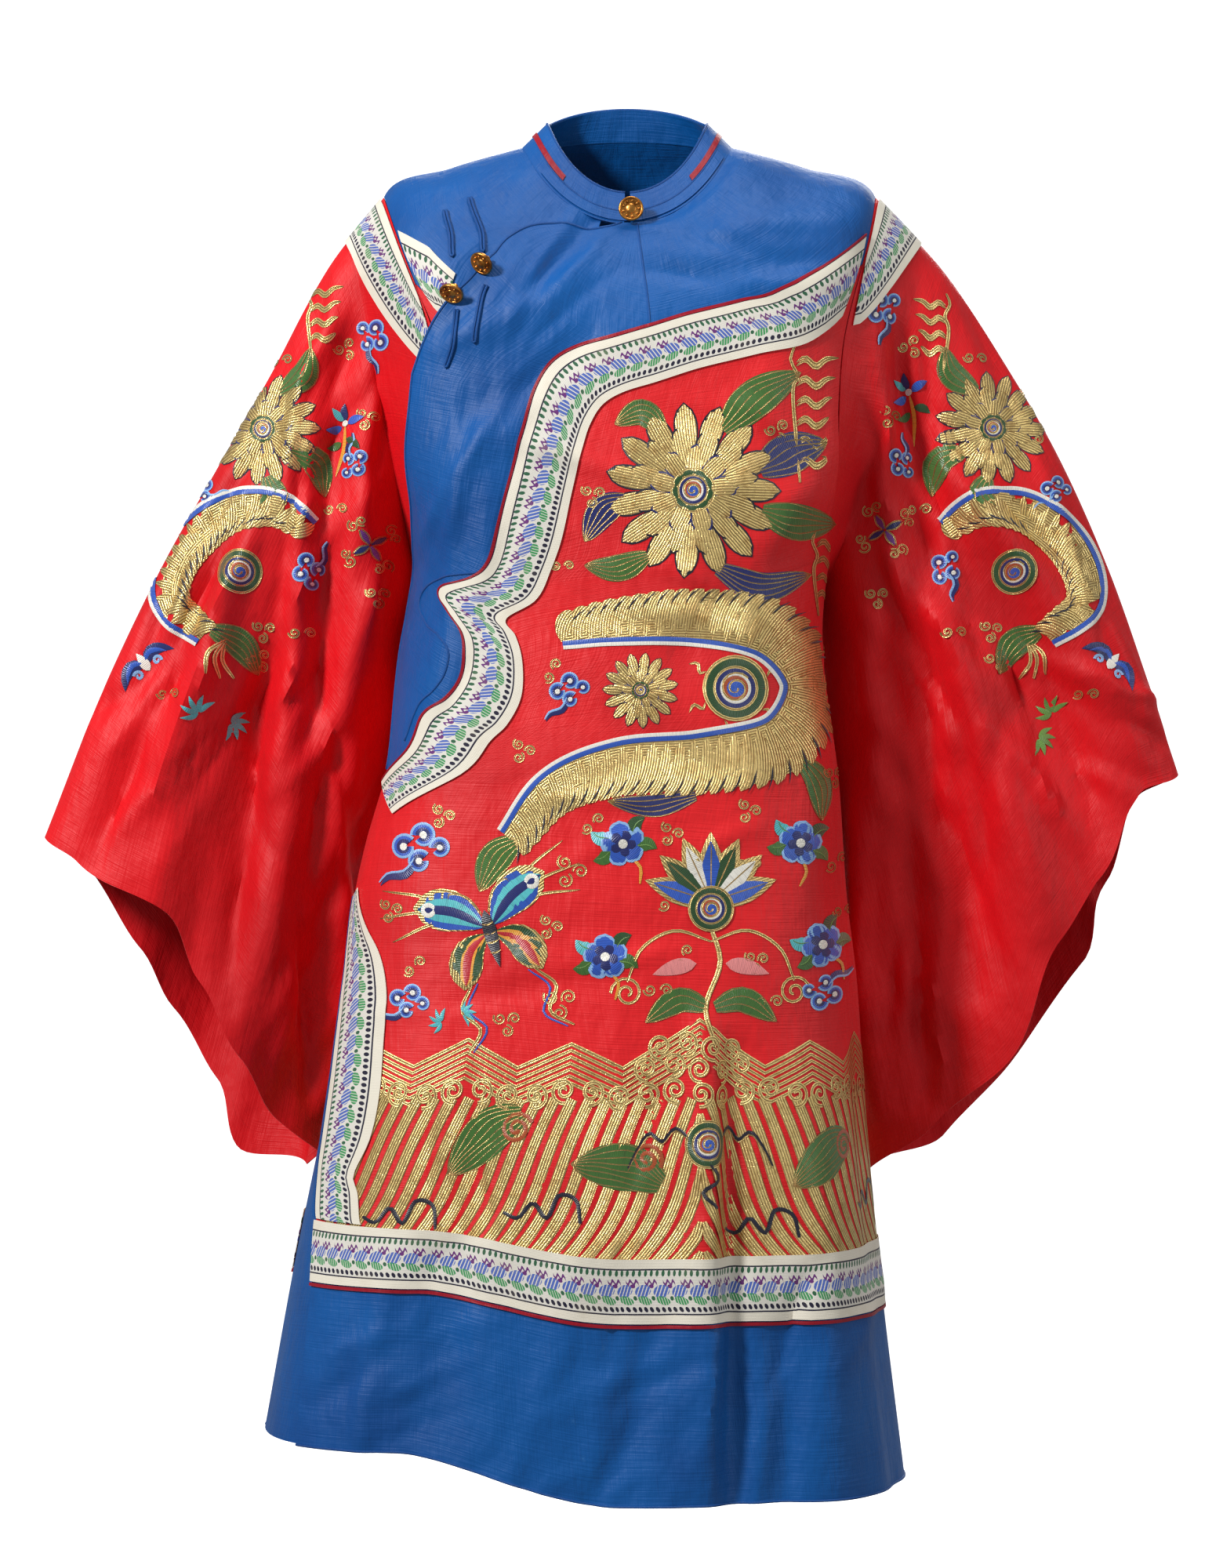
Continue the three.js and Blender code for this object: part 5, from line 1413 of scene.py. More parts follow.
    def back(self) -> None:
        """Cut the back yoke, panel and hem border."""
        f, w, n, m = self.forms, self.finishes, self.columns, self.rows
        yoke = self._back_yoke_line(n)
        right = armhole_line(1, 0, YOKE_STEP, False, 16)
        left = armhole_line(-1, YOKE_STEP, 0, False, 16) + np.array([360.0, 0.0])
        foot = np.vstack([right, yoke[1:-1], left])
        top = between((90, NECK), (270, NECK), len(foot) - 1)
        ridges = [between((side, NECK), (side, SHOULDER), 44) for side in (90, 270)]
        self.cut("cloth_yoke_back", f.body, patch(top, foot, *ridges), w.blue, BLUE, ["back_yoke"])
        seams = []
        for side, shift in ((1, 0.0), (-1, 360.0)):
            edge = armhole_line(side, YOKE_STEP, ARMHOLE_STEPS, False, 40) + np.array([shift, 0.0])
            seams.append(np.vstack([edge, between((90 * side + shift, UNDERARM), (90 * side + shift, BORDER),
                                                  m - 40)[1:]]))
        border = between((90, BORDER), (270, BORDER), n)
        self.cut("cloth_back_panel", f.body, patch(yoke, border, *seams), w.body_red, RED, ["back_panel"])
        first, last = 90 - HEM_LAP, 270 + HEM_LAP
        hem = band(between((first, BORDER), (last, BORDER), n), between((first, HEM), (last, HEM), n), 26)
        self.cut("cloth_back_hem", f.body, hem, w.blue, BLUE, ["back_hem"])

    @staticmethod
    def _back_yoke_line(count: int, start: float = 0.0) -> Line:
        """Edge of the back yoke between the armholes, start degrees in from each."""
        a = np.array(armhole(1, YOKE_STEP, False))
        b = np.array(armhole(-1, YOKE_STEP, False)) + np.array([360.0, 0.0])
        t = np.linspace(0.0, 1.0, count + 1)
        u = (a[0] + start) + (b[0] - a[0] - 2 * start) * t
        share = (u - a[0]) / (b[0] - a[0])
        return np.stack([u, a[1] + BACK_YOKE_DROP * np.sin(np.pi * share)], axis=-1)

    def sleeves(self) -> None:
        """Cut the two sleeves, open at the cuffs."""
        u = np.linspace(0.0, 360.0, 144, endpoint=False)
        start = 0.001 + 0.016 * ((1 - np.cos(np.radians(u))) / 2) ** 2
        t = np.linspace(0.0, 1.0, 111)[:, None]
        v = start[None] + (1 - start[None]) * t
        grid = np.stack([np.broadcast_to(u[None], v.shape), v], axis=-1)
        for side, cloth in self.forms.sleeves.items():
            self.cut(f"cloth_sleeve_{side.value}", cloth, grid, self.finishes.sleeve_red, RED,
                     [f"sleeve_{side.value}"], closed=True)

    def ribbons(self) -> None:
        """Lay the woven ribbon over the seams."""
        f, stand = self.forms, 2.1
        clear = np.array([-TRIM_CLEARANCE, 0.0])
        corner_steps = 150
        top = self._trim_line(self.ribbon_top, clear, corner_steps)
        foot = self._trim_line(self.ribbon_foot, clear, corner_steps)
        self._ribbon("ribbon_front", f.front, band(top, foot, 12), "ribbon_front", stand)
        for name, cloth, start, slant, end in (("front", f.front, self.corner[0], HEM_SLANT, 90),
                                               ("back", f.body, 90, 0, 270)):
            high = between((start - slant, HEM_RIBBON_TOP), (end, HEM_RIBBON_TOP), 90)
            low = between((start, HEM_RIBBON_FOOT), (end, HEM_RIBBON_FOOT), 90)
            self._ribbon(f"ribbon_hem_{name}", cloth, band(high, low, 10), f"ribbon_hem_{name}", stand)
        yoke = self._back_yoke_line(90, TRIM_CLEARANCE + 3)
        rise = np.array([0.0, BACK_RIBBON_RISE])
        self._ribbon("ribbon_back", f.body, band(yoke - rise, yoke + rise, 12), "ribbon_back", stand)
        clear = np.array([TRIM_CLEARANCE, 0.0])
        left_top, left_foot = (
            evenly(np.vstack([armhole(-1, step, True) + clear, f.on_front(edge)]), 20, ROUND)
            for step, edge in ((1.4, LEFT_RIBBON_TOP), (3.3, LEFT_RIBBON_FOOT))
        )
        self._ribbon("ribbon_front_left", f.body, band(left_top, left_foot, 12), "ribbon_front_left", stand)
        self._vent(stand)
        self._sleeve_ribbons(stand)

    def _trim_line(self, line: Line, clear: np.ndarray, count: int) -> Line:
        """One edge of the front ribbon, row for row with the other edge."""
        start = line[:1] + clear
        rows = np.vstack([start, line[1:]])
        return rows_at(rows, np.linspace(0.0, len(rows) - 1, count + 1))

    def _ribbon(self, name: str, cloth: Cloth, grid: np.ndarray, node: str, stand: float) -> None:
        """Lay one stretch of ribbon."""
        self.cut(f"trim_{name}", cloth, grid, self.finishes.ribbon, RIBBON, [node], held="", run=Run.RIBBON,
                 thickness=0.6, stand=stand)

    def _vent(self, stand: float) -> None:
        """Lay the ribbon and the blue edge beside the left vent."""
        f = self.forms
        inner = curve(f.on_front(VENT_RIBBON_INNER), 60, ROUND)
        keep = (f.side_edge[:, 1] < HEM_RIBBON_TOP) & (f.side_edge[:, 1] > inner[0, 1])
        edge = evenly(f.side_edge[keep], 60, ROUND)
        pull = (np.linspace(0.0, 1.0, 61) ** 8)[:, None]
        foot = HEM_RIBBON_TOP - 0.006
        lines = []
        for line in (edge, edge + np.array([1.7, 0.0]), edge + np.array([2.0, 0.0]), inner):
            met = line.copy()
            met[:, 1:] = met[:, 1:] * (1 - pull) + foot * pull
            lines.append(met)
        self._ribbon("ribbon_vent", f.front, band(lines[2], lines[3], 12), "ribbon_vent", stand)
        self.cut("trim_vent_border", f.front, band(lines[0], lines[1], 3), self.finishes.blue, BLUE,
                 ["vent_border"], held="", thickness=0.8, stand=stand)

    def _sleeve_ribbons(self, stand: float) -> None:
        """Lay the crescent of ribbon over each shoulder."""
        t = np.linspace(-1.0, 1.0, 71)
        for side, cloth in self.forms.sleeves.items():
            front = 74 if side is Side.LEFT else 64
            inner = np.stack([np.where(t > 0, 0.66 * front, 28) * t, np.full_like(t, self.crescent_start)],
                             axis=-1)
            swell = np.cos(t * np.pi / 2) ** self.crescent_fullness
            reach = self.crescent_foot + self.crescent_depth * swell
            outer = np.stack([np.where(t > 0, front, 54) * t, reach], axis=-1)
            self._ribbon(f"ribbon_sleeve_{side.value}", cloth, band(inner, outer, 12),
                         f"ribbon_sleeve_{side.value}", stand)

    def piping(self) -> None:
        """Sew the dark red edging beside the ribbon and the rolled blue cords at the edges."""
        f, w = self.forms, self.finishes
        clear = np.array([-TRIM_CLEARANCE, 0.0])
        top = self._trim_line(self.ribbon_top, clear, 150)
        foot = self._trim_line(self.ribbon_foot, clear, 150)
        hem = [between((self.corner[0], v), (90, v), 90) for v in (HEM_RIBBON_FOOT, HEM_RIBBON_TOP)]
        back = [between((90, v), (270, v), 90) for v in (HEM_RIBBON_FOOT, HEM_RIBBON_TOP)]
        yoke = self._back_yoke_line(90, TRIM_CLEARANCE + 3)
        rise = np.array([0.0, BACK_RIBBON_RISE])
        for name, cloth, line, other in (
            ("front", f.front, top, foot),
            ("hem_front", f.front, *hem),
            ("hem_back", f.body, *back),
            ("back", f.body, yoke - rise, yoke + rise),
        ):
            grid = band(self._beside(cloth, line, other, 0.2), self._beside(cloth, line, other, 3.4), 4)
            self.cut(f"trim_piping_{name}", cloth, grid, w.piping, PIPING, [f"piping_{name}"], held="",
                     thickness=1.4, stand=1.8, run=Run.CUT)
        flap = self._beside(f.front, self.flap_line, self.flap_inner, -1.2)
        self._cord("cord_flap", f.front, flap, 1.1, ["piping_flap"])
        seam = between((CENTRE_SEAM_ANGLE, 0.06), self.middle[SEAM_FOOT], 40)[:-2]
        self._cord("cord_centre", f.front, seam, 0.9, ["piping_centre"])
        for name, cloth, start, end in (("front", f.front, HEM_CORNER_ANGLE + 0.4, 89.6),
                                        ("back", f.body, 90.4, 269.6)):
            self._cord(f"cord_hem_{name}", cloth, between((start, HEM), (end, HEM), 120), 1.1, [])
        self._cord("cord_lobe", f.front, curve(f.on_front(LOBE_EDGE), 70, ROUND), 1.1, [])

    def _cord(self, name: str, cloth: Cloth, line: Line, radius: float, nodes: Sequence[str]) -> None:
        """Sew a rolled cord along a line."""
        piece = tube(name, cloth.at(line[:, 0], line[:, 1], np.full(len(line), 0.5)), radius)
        dress(piece, self.finishes.cord, nodes)

    @staticmethod
    def _beside(cloth: Cloth, edge: Line, other: Line, length: float) -> Line:
        """A line moved off one edge of a band, away from its other edge."""
        a = cloth.at(edge[:, 0], edge[:, 1])
        b = cloth.at(other[:, 0], other[:, 1])
        t = (length / np.linalg.norm(a - b, axis=-1))[:, None]
        return edge + (edge - other) * t

    def collar(self) -> None:
        """Stand up the collar with its red stripe and lower band."""
        cloth, w = self.forms.collar, self.finishes
        whole = np.linspace(1.4, 358.6, 181)
        self._ring("cloth_collar", cloth, whole, (-0.015, 1.0), w.blue, BLUE, "collar", 1.8, 0.0, 12)
        self._ring("trim_collar_stripe", cloth, whole[18:-18], (0.42, 0.6), w.piping, PIPING,
                   "collar_stripe", 0.8, 1.5, 4)
        angles = np.linspace(*self.band_ends, self.band_steps)
        self._ring("trim_collar_band", cloth, angles, self.band_heights, w.blue, BLUE,
                   "collar_band", 1.0, 1.6, 6)
        edge = np.stack([whole, np.full_like(whole, 1.0)], axis=-1)
        self._cord("cord_collar_top", cloth, edge, 1.1, [])
        rim = np.full_like(angles, self.band_heights[1])
        piece = tube("cord_collar_band", cloth.at(angles, rim, np.full_like(angles, 1.7)), 0.9)
        dress(piece, w.cord)

    def _ring(self, name: str, cloth: Cloth, angles: np.ndarray, heights: tuple[float, float],
              material: bpy.types.Material, slot: str, node: str, thickness: float, stand: float,
              steps: int) -> None:
        """Set one strip round the collar."""
        low, high = (np.stack([angles, np.full_like(angles, h)], axis=-1) for h in heights)
        self.cut(name, cloth, band(low, high, steps), material, slot, [node], held="", thickness=thickness,
                 stand=stand)


# ---- embroidery ----------------------------------------------------------------------------------------
NAVY, INK = srgb(24, 34, 104), srgb(14, 14, 38)
MID_BLUE, PALE_BLUE = srgb(40, 88, 190), srgb(140, 184, 232)
GREEN, DARK_GREEN, LIME = srgb(64, 112, 42), srgb(36, 76, 34), srgb(104, 150, 66)
TEAL, ORANGE, PINK = srgb(86, 190, 196), srgb(238, 164, 54), srgb(238, 142, 140)
VIOLET, WHITE, RUST = srgb(112, 46, 134), srgb(240, 236, 224), srgb(176, 78, 34)
GROUND, LAYER = 0.85, 0.2  # height of the lowest stitches above the cloth's middle, and of each layer


@dataclass(frozen=True)
class Stitch:
    """One raised strip of thread along a spine; it is gold where it has no dye."""

    spine: np.ndarray
    half: np.ndarray
    lift: float
    crown: float
    dye: Colour | None
    across: int = 2


@dataclass(frozen=True)
class Spot:
    """Where a motif goes: centre, turn in degrees, size, and whether it is mirrored."""

    x: float
    z: float
    turn: float = 0.0
    size: float = 1.0
    mirror: bool = False

    def put(self, points: Sequence[Sequence[float]]) -> np.ndarray:
        """Move a motif's points into place."""
        p = np.array(points, float) * self.size
        if self.mirror:
            p[:, 0] *= -1
        c, s = math.cos(math.radians(self.turn)), math.sin(math.radians(self.turn))
        return np.stack([p[:, 0] * c - p[:, 1] * s, p[:, 0] * s + p[:, 1] * c], axis=-1) + (self.x, self.z)


class Facing:
    """Finds places on a cloth as seen straight from in front or behind."""

    def __init__(self, cloth: Cloth, to_uv: Callable, start: tuple, low: tuple, high: tuple) -> None:
        """Keep the search's own settings."""
        self.cloth, self.search = cloth, (to_uv, start, low, high)

    def __call__(self, places: np.ndarray) -> tuple[np.ndarray, np.ndarray, np.ndarray]:
        """u, v and whether each place was met."""
        u, v = self.cloth.find(places, *self.search)
        reached = self.cloth.at(u, v)
        missed = np.hypot(reached[..., 0] - places[..., 0], reached[..., 2] - places[..., 1])
        return u, v, missed < 1.5


class RoundSkirt:
    """Places round the skirt: the length from the centre fold, and the height."""

    def __init__(self, cloth: Cloth, zero: float = 18.0, level: float = 10.0) -> None:
        """Measure round the skirt at one level."""
        self.cloth = cloth
        ring = cloth.at(cloth.u, np.full_like(cloth.u, level))
        length = np.concatenate([[0.0], np.cumsum(np.linalg.norm(np.diff(ring, axis=0), axis=-1))])
        self.length = length - np.interp(zero, cloth.u, length)

    def reach(self, u: float) -> float:
        """Length at an angle."""
        return float(np.interp(u, self.cloth.u, self.length))

    def __call__(self, places: np.ndarray) -> tuple[np.ndarray, np.ndarray, np.ndarray]:
        """u, v and whether each place was met."""
        u = np.interp(places[..., 0], self.length, self.cloth.u)
        v = np.full(u.shape, 9.0)
        for _ in range(14):
            z = self.cloth.at(u, v)[..., 2]
            drop = self.cloth.at(u, v + 0.05)[..., 2] - z
            move = (places[..., 1] - z) / np.minimum(drop, -0.5) * 0.05
            v = np.clip(v + np.clip(move, -0.8, 0.8), 5.0, HEM)
        return u, v, np.ones(u.shape, dtype=bool)


class Hoop:
    """A stretch of cloth in a frame: motifs are stitched on it and laid as two raised layers."""

    def __init__(self, name: str, cloth: Cloth, locate: Callable) -> None:
        """Start an empty hoop."""
        self.name, self.cloth, self.locate = name, cloth, locate
        self.stitches: list[Stitch] = []
        self.hand = random.Random(name)

    def sew(self, spine: np.ndarray, half: np.ndarray | float, layer: float, crown: float = 0.25,
            dye: Colour | None = None, across: int = 2) -> None:
        """Add one strip."""
        width = np.broadcast_to(np.asarray(half, float), (len(spine),))
        lift = GROUND + LAYER * layer
        self.stitches.append(Stitch(np.asarray(spine, float), width, lift, crown, dye, across))

    def line(self, spot: Spot, points: Sequence[Sequence[float]], half: float, layer: float,
             dye: Colour | None = None, count: int = 10, taper: float = 0.5) -> None:
        """Sew a thread along a smooth curve, thinner at its ends."""
        spine = curve(spot.put(points), count)
        t = np.linspace(-1.0, 1.0, count + 1)
        self.sew(spine, half * (1 - taper * np.abs(t) ** 3), layer, 0.22, dye)

    def leaf(self, spot: Spot, points: Sequence[Sequence[float]], half: float, layer: float,
             dye: Colour | None = None, count: int = 8, round_tip: bool = False, crown: float = 0.4) -> None:
        """Sew a filled leaf or petal along a smooth curve."""
        spine = curve(spot.put(points), count)
        t = np.linspace(0.0, 1.0, count + 1)
        shape = np.sin(np.pi * t ** (1.3 if round_tip else 0.75)) ** (0.6 if round_tip else 0.85)
        self.sew(spine, np.maximum(half * spot.size * shape, 0.12), layer, crown, dye, 4 if half > 6 else 2)

    def lay(self, gold: bpy.types.Material, floss: bpy.types.Material) -> None:
        """Lay the stitches on the cloth, gold and floss apart."""
        for metal, material in ((True, gold), (False, floss)):
            chosen = [stitch for stitch in self.stitches if (stitch.dye is None) == metal]
            if chosen:
                piece = self._mesh(f"stitches_{self.name}_{'gold' if metal else 'floss'}", chosen)
                dress(piece, material)
                LOG.info("%s: %d faces", piece.name, len(piece.data.polygons))

    def _mesh(self, name: str, chosen: Sequence[Stitch]) -> bpy.types.Object:
        """Build one mesh from many stitches."""
        places, heights, cuts, dyes, faces = [], [], [], [], []
        count = 0
        for stitch in chosen:
            n, m = len(stitch.spine), stitch.across + 1
            run = np.gradient(stitch.spine, axis=0)
            run /= np.maximum(np.linalg.norm(run, axis=-1, keepdims=True), 1e-9)
            aside = np.stack([-run[:, 1], run[:, 0]], axis=-1)
            share = np.linspace(-1.0, 1.0, m)
            offset = share[None] * stitch.half[:, None]
            places.append((stitch.spine[:, None] + aside[:, None] * offset[..., None]).reshape(-1, 2))
            swell = np.sqrt(stitch.half / stitch.half.max())[:, None] * (1 - share ** 2)[None]
            heights.append((stitch.lift + stitch.crown * swell).ravel())
            steps = np.linalg.norm(np.diff(stitch.spine, axis=0), axis=-1)
            along = np.concatenate([[0.0], np.cumsum(steps)]) * MM
            cut = np.stack([np.broadcast_to(along[:, None], (n, m)), offset * MM], axis=-1)
            cuts.append(cut.reshape(-1, 2))
            shade = 0.9 + 0.2 * self.hand.random()
            dyes.append(np.tile(np.append(np.array(stitch.dye or (1, 1, 1)) * shade, 1.0), (n * m, 1)))
            i, j = (a.ravel() for a in np.meshgrid(np.arange(n - 1), np.arange(m - 1), indexing="ij"))
            first = count + i * m + j
            faces.append(np.stack([first, first + m, first + m + 1, first + 1], axis=-1))
            count += n * m
        places, heights, cuts, dyes, faces = (
            np.concatenate(rows) for rows in (places, heights, cuts, dyes, faces)
        )
        u, v, met = self.locate(places)
        faces = faces[met[faces].all(axis=1)]
        points = self.cloth.at(u, v, heights)
        a, b, c = (points[faces[:, k]] for k in range(3))
        outward = self.cloth.at(u, v, 1.0) - self.cloth.at(u, v, 0.0)
        if np.einsum("ij,ij->i", np.cross(b - a, c - a), outward[faces[:, 0]]).sum() < 0:
            faces = faces[:, ::-1]
        used, numbers = np.unique(faces, return_inverse=True)
        faces = numbers.reshape(faces.shape)
        piece = new_object(name, points[used], faces, cuts[used][faces])
        layer = piece.data.color_attributes.new(name="dye", type="FLOAT_COLOR", domain="POINT")
        layer.data.foreach_set("color", dyes[used].ravel().astype(np.float32))
        return piece


def spiral(radius: float, turns: float, start: float, core: float = 0.14, count: int = 26) -> np.ndarray:
    """Points of a spiral that winds in to a core."""
    t = np.linspace(0.0, 1.0, count + 1)
    turn = math.radians(start) + 2 * math.pi * turns * t
    size = radius * (1 - (1 - core) * t)
    return np.stack([size * np.cos(turn), size * np.sin(turn)], axis=-1)


class Motifs:
    """Traditional motifs, drawn with threads on a hoop."""

    def __init__(self, hoop: Hoop) -> None:
        """Work on one hoop."""
        self.hoop = hoop

    def curl(self, spot: Spot, radius: float = 9.0, turns: float = 1.6, half: float = 1.0,
             layer: float = 1.0, dye: Colour | None = None, start: float = 0.0) -> None:
        """A single scroll."""
        self.hoop.sew(spot.put(spiral(radius, turns, start)), half, layer, 0.25, dye)

    def scrolls(self, spot: Spot, count: int = 3) -> None:
        """A cluster of small gold scrolls."""
        for k in range(count):
            turn = 360.0 * k / count
            c, s = math.cos(math.radians(turn)), math.sin(math.radians(turn))
            place = spot.put([(c * 7.5, s * 7.5)])[0]
            self.curl(Spot(*place, spot.turn + turn, spot.size, k % 2 == 0), 5.6, 1.5, 0.75, 1)

    def flames(self, spot: Spot, count: int = 4) -> None:
        """Wavy tongues of gold thread from one stem."""
        stem = [(0, 12), (-4, 0), (2, -14), (-2, -30), (4, -14 - 15 * count)]
        self.hoop.line(spot, stem, 1.5, 1, count=20)
        for k in range(count):
            z = -2 - 17 * k
            for rise in (0.0, -3.2):
                points = [(1, z + rise), (9, z + 5 + rise), (18, z - 1 + rise), (27, z + 5 + rise * 0.6),
                          (38 - 3 * k, z + 6)]
                self.hoop.line(spot, points, 1.5, 1, count=12, taper=0.8)

    def strands(self, spot: Spot, points: Sequence[Sequence[float]], half: float, dye: Colour,
                layer: float = 1.0, count: int = 14, lines: int = 5) -> None:
        """A flowing tuft: dyed floss with gold lines along it."""
        spine = curve(spot.put(points), count)
        t = np.linspace(0.0, 1.0, count + 1)
        shape = np.maximum(half * spot.size * np.sin(np.pi * (0.1 + 0.9 * t)) ** 0.7, 0.15)
        self.hoop.sew(spine, shape, layer, 0.35, dye, 4)
        run = np.gradient(spine, axis=0)
        run /= np.linalg.norm(run, axis=-1, keepdims=True)
        aside = np.stack([-run[:, 1], run[:, 0]], axis=-1)
        for k in range(lines):
            share = -0.92 + 1.84 * k / (lines - 1)
            wave = 0.06 * np.sin(9 * t + k)
            height = layer + 1.9 * (1 - share ** 2) + 0.3
            self.hoop.sew(spine + aside * (shape * (share + wave))[:, None], 0.42, height, 0.12)

    def petals(self, spot: Spot, count: int, inner: float, outer: float, half: float, layer: float,
               dye: Colour | None, edge: Colour | None = None, shift: float = 0.0) -> None:
        """A ring of petals round a centre."""
        for k in range(count):
            petal = Spot(spot.x, spot.z, spot.turn + shift + 360.0 * k / count, spot.size)
            if edge is not None:
                self.hoop.leaf(petal, [(inner, 0), ((inner + outer) / 2, 0.4), (outer + 1.2, 0)], half + 1.1,
                               layer - 0.5, edge, round_tip=True, crown=0.3)
            self.hoop.leaf(petal, [(inner, 0), ((inner + outer) / 2, 0.4), (outer, 0)], half, layer, dye,
                           round_tip=True, crown=0.5)

    def gold_bloom(self, spot: Spot) -> None:
        """A large gold chrysanthemum with dark edges and a ringed heart."""
        self.petals(spot, 15, 20, 60, 7.4, 1.0, None, INK)
        self.petals(spot, 12, 14, 45, 6.8, 2.0, None, INK, 12)
        self.petals(spot, 9, 8, 31, 6.4, 3.0, None, NAVY, 5)
        self.disc(Spot(spot.x, spot.z, spot.turn, spot.size * 0.62), 4.0)

    def ring(self, spot: Spot, radius: float, half: float, layer: float, dye: Colour | None) -> None:
        """A round of thread."""
        turn = np.linspace(0.0, 2 * np.pi, 29)
        points = np.stack([radius * np.cos(turn), radius * np.sin(turn)], axis=-1)
        self.hoop.sew(spot.put(points), half * spot.size, layer, 0.25, dye)

    def disc(self, spot: Spot, layer: float = 1.0) -> None:
        """Rings of colour round a scroll."""
        for radius, half, dye in (
            (24, 1.3, None), (20, 2.7, DARK_GREEN), (16.3, 1.0, None), (13.6, 1.7, NAVY),
            (10.8, 1.1, WHITE), (8.2, 1.4, RUST), (3.4, 3.4, MID_BLUE),
        ):
            self.ring(spot, radius, half, layer, dye)
        self.hoop.sew(spot.put(spiral(12.5, 1.9, 40)), 0.9, layer + 0.6, 0.2, None)

    def scaled_band(self, spot: Spot, points: Sequence[Sequence[float]], half: float, pitch: float = 9.0,
                    side: int = 1) -> None:
        """A broad gold sash in overlapping scales, with a dark hem and a blue and white edge."""
        path = spot.put(points)
        length = float(np.linalg.norm(np.diff(curve(path, 60), axis=0), axis=-1).sum())
        count = max(6, int(length / (pitch * spot.size)))
        spine = curve(path, count)
        run = np.gradient(spine, axis=0)
        run /= np.linalg.norm(run, axis=-1, keepdims=True)
        aside = np.stack([-run[:, 1], run[:, 0]], axis=-1) * side * (-1 if spot.mirror else 1)
        t = np.linspace(0.0, 1.0, count + 1)
        width = half * spot.size * np.clip(np.sin(np.pi * (0.06 + 0.88 * t)) ** 0.45, 0.3, 1.0)
        step = pitch * spot.size
        self.hoop.sew(spine, width * 0.9, 0.6, 0.3, None, 4)
        plain = Spot(0, 0)
        for k in range(count):
            c, r, a, w = spine[k], run[k], aside[k], width[k]
            scale = [c - a * w * 0.85, c + r * step * 0.25, c + a * w * 0.7 + r * step * 0.75,
                     c + a * w * 1.04 + r * step * 1.35]
            self.hoop.leaf(plain, scale, step * 0.72, 1.4 + 0.3 * (k % 2), None, count=9, round_tip=True)
            stroke = [c + a * w * 0.45 + r * step * 1.0, c + a * w * 0.8 + r * step * 1.5,
                      c + a * w * 1.06 + r * step * 2.1]
            self.hoop.leaf(plain, stroke, 0.75, 3.4, INK, count=5)
        fine = curve(spine, 3 * count)
        along = np.gradient(fine, axis=0)
        along /= np.linalg.norm(along, axis=-1, keepdims=True)
        away = -np.stack([-along[:, 1], along[:, 0]], axis=-1) * side * (-1 if spot.mirror else 1)
        reach = np.interp(np.linspace(0, 1, len(fine)), t, width)[:, None]
        self.hoop.sew(fine + away * (reach - 0.8 * spot.size), 2.2 * spot.size, 2.6, 0.3, MID_BLUE)
        self.hoop.sew(fine + away * (reach + 1.8 * spot.size), 2.0 * spot.size, 2.2, 0.3, WHITE)

    def blossom(self, spot: Spot) -> None:
        """A small navy flower with pale tips, green leaves and an orange stem."""
        self.hoop.line(spot, [(2, -8), (8, -16), (6, -26)], 1.3, 1, ORANGE, 6)
        for turn, dye in ((200, GREEN), (-18, GREEN), (150, TEAL), (40, DARK_GREEN)):
            place = Spot(spot.x, spot.z, spot.turn + turn, spot.size)
            self.hoop.leaf(place, [(8, 0), (15, 2), (21, 0)], 4.4, 1, dye)
            self.hoop.line(place, [(9, 0), (15, 1.4), (19, 0)], 0.4, 3.2, LIME, 4)
        self.petals(spot, 5, 2, 13, 5.4, 2.0, MID_BLUE, PALE_BLUE, 18)
        self.petals(spot, 5, 0, 8, 3.6, 3.4, NAVY, None, 54)
        self.ring(spot, 1.4, 1.4, 5.6, WHITE)

    def cloud(self, spot: Spot) -> None:
        """A blue cloud of four curls, shaded from pale to navy."""
        for x, z, hand, size in (
            (-9, 4, False, 1.0), (7, 7, True, 1.0), (15, -5, True, 0.8), (-2, -9, False, 0.9),
        ):
            place = spot.put([(x, z)])[0]
            curl = Spot(*place, spot.turn, spot.size * size, hand != spot.mirror)
            for radius, half, layer, dye in ((8.6, 1.2, 1.0, PALE_BLUE), (6.6, 1.6, 1.4, MID_BLUE),
                                             (4.2, 1.9, 1.8, NAVY)):
                self.hoop.sew(curl.put(spiral(radius, 0.9, 20, 0.72, 16)), half * spot.size, layer, 0.3, dye)
            self.ring(curl, 1.3, 1.4, 2.4, WHITE)
        tail = [(-4, -8), (-14, -14), (-26, -12), (-34, -16)]
        self.hoop.leaf(spot, tail, 3.4, 1.0, NAVY)
        self.hoop.line(spot, [(x, z + 2.4) for x, z in tail], 0.9, 2.6, PALE_BLUE, 8)

    def sprig(self, spot: Spot) -> None:
        """A standing flower stem."""
        self.hoop.line(spot, [(0, 0), (2, -22), (-2, -46)], 1.5, 1, ORANGE, 10, 0.8)
        for x, z, turn, dye in ((0, 2, 100, NAVY), (2, 0, 30, MID_BLUE), (-2, -2, 200, MID_BLUE),
                                (2, -12, -30, DARK_GREEN), (0, -16, 205, GREEN), (0, 4, 150, TEAL)):
            place = Spot(*spot.put([(x, z)])[0], spot.turn + turn, spot.size)
            self.hoop.leaf(place, [(1, 0), (8, 1.5), (16, 0)], 3.6, 2, dye)
        self.ring(Spot(*spot.put([(0, 1)])[0], 0, spot.size), 1.5, 1.4, 4.4, WHITE)

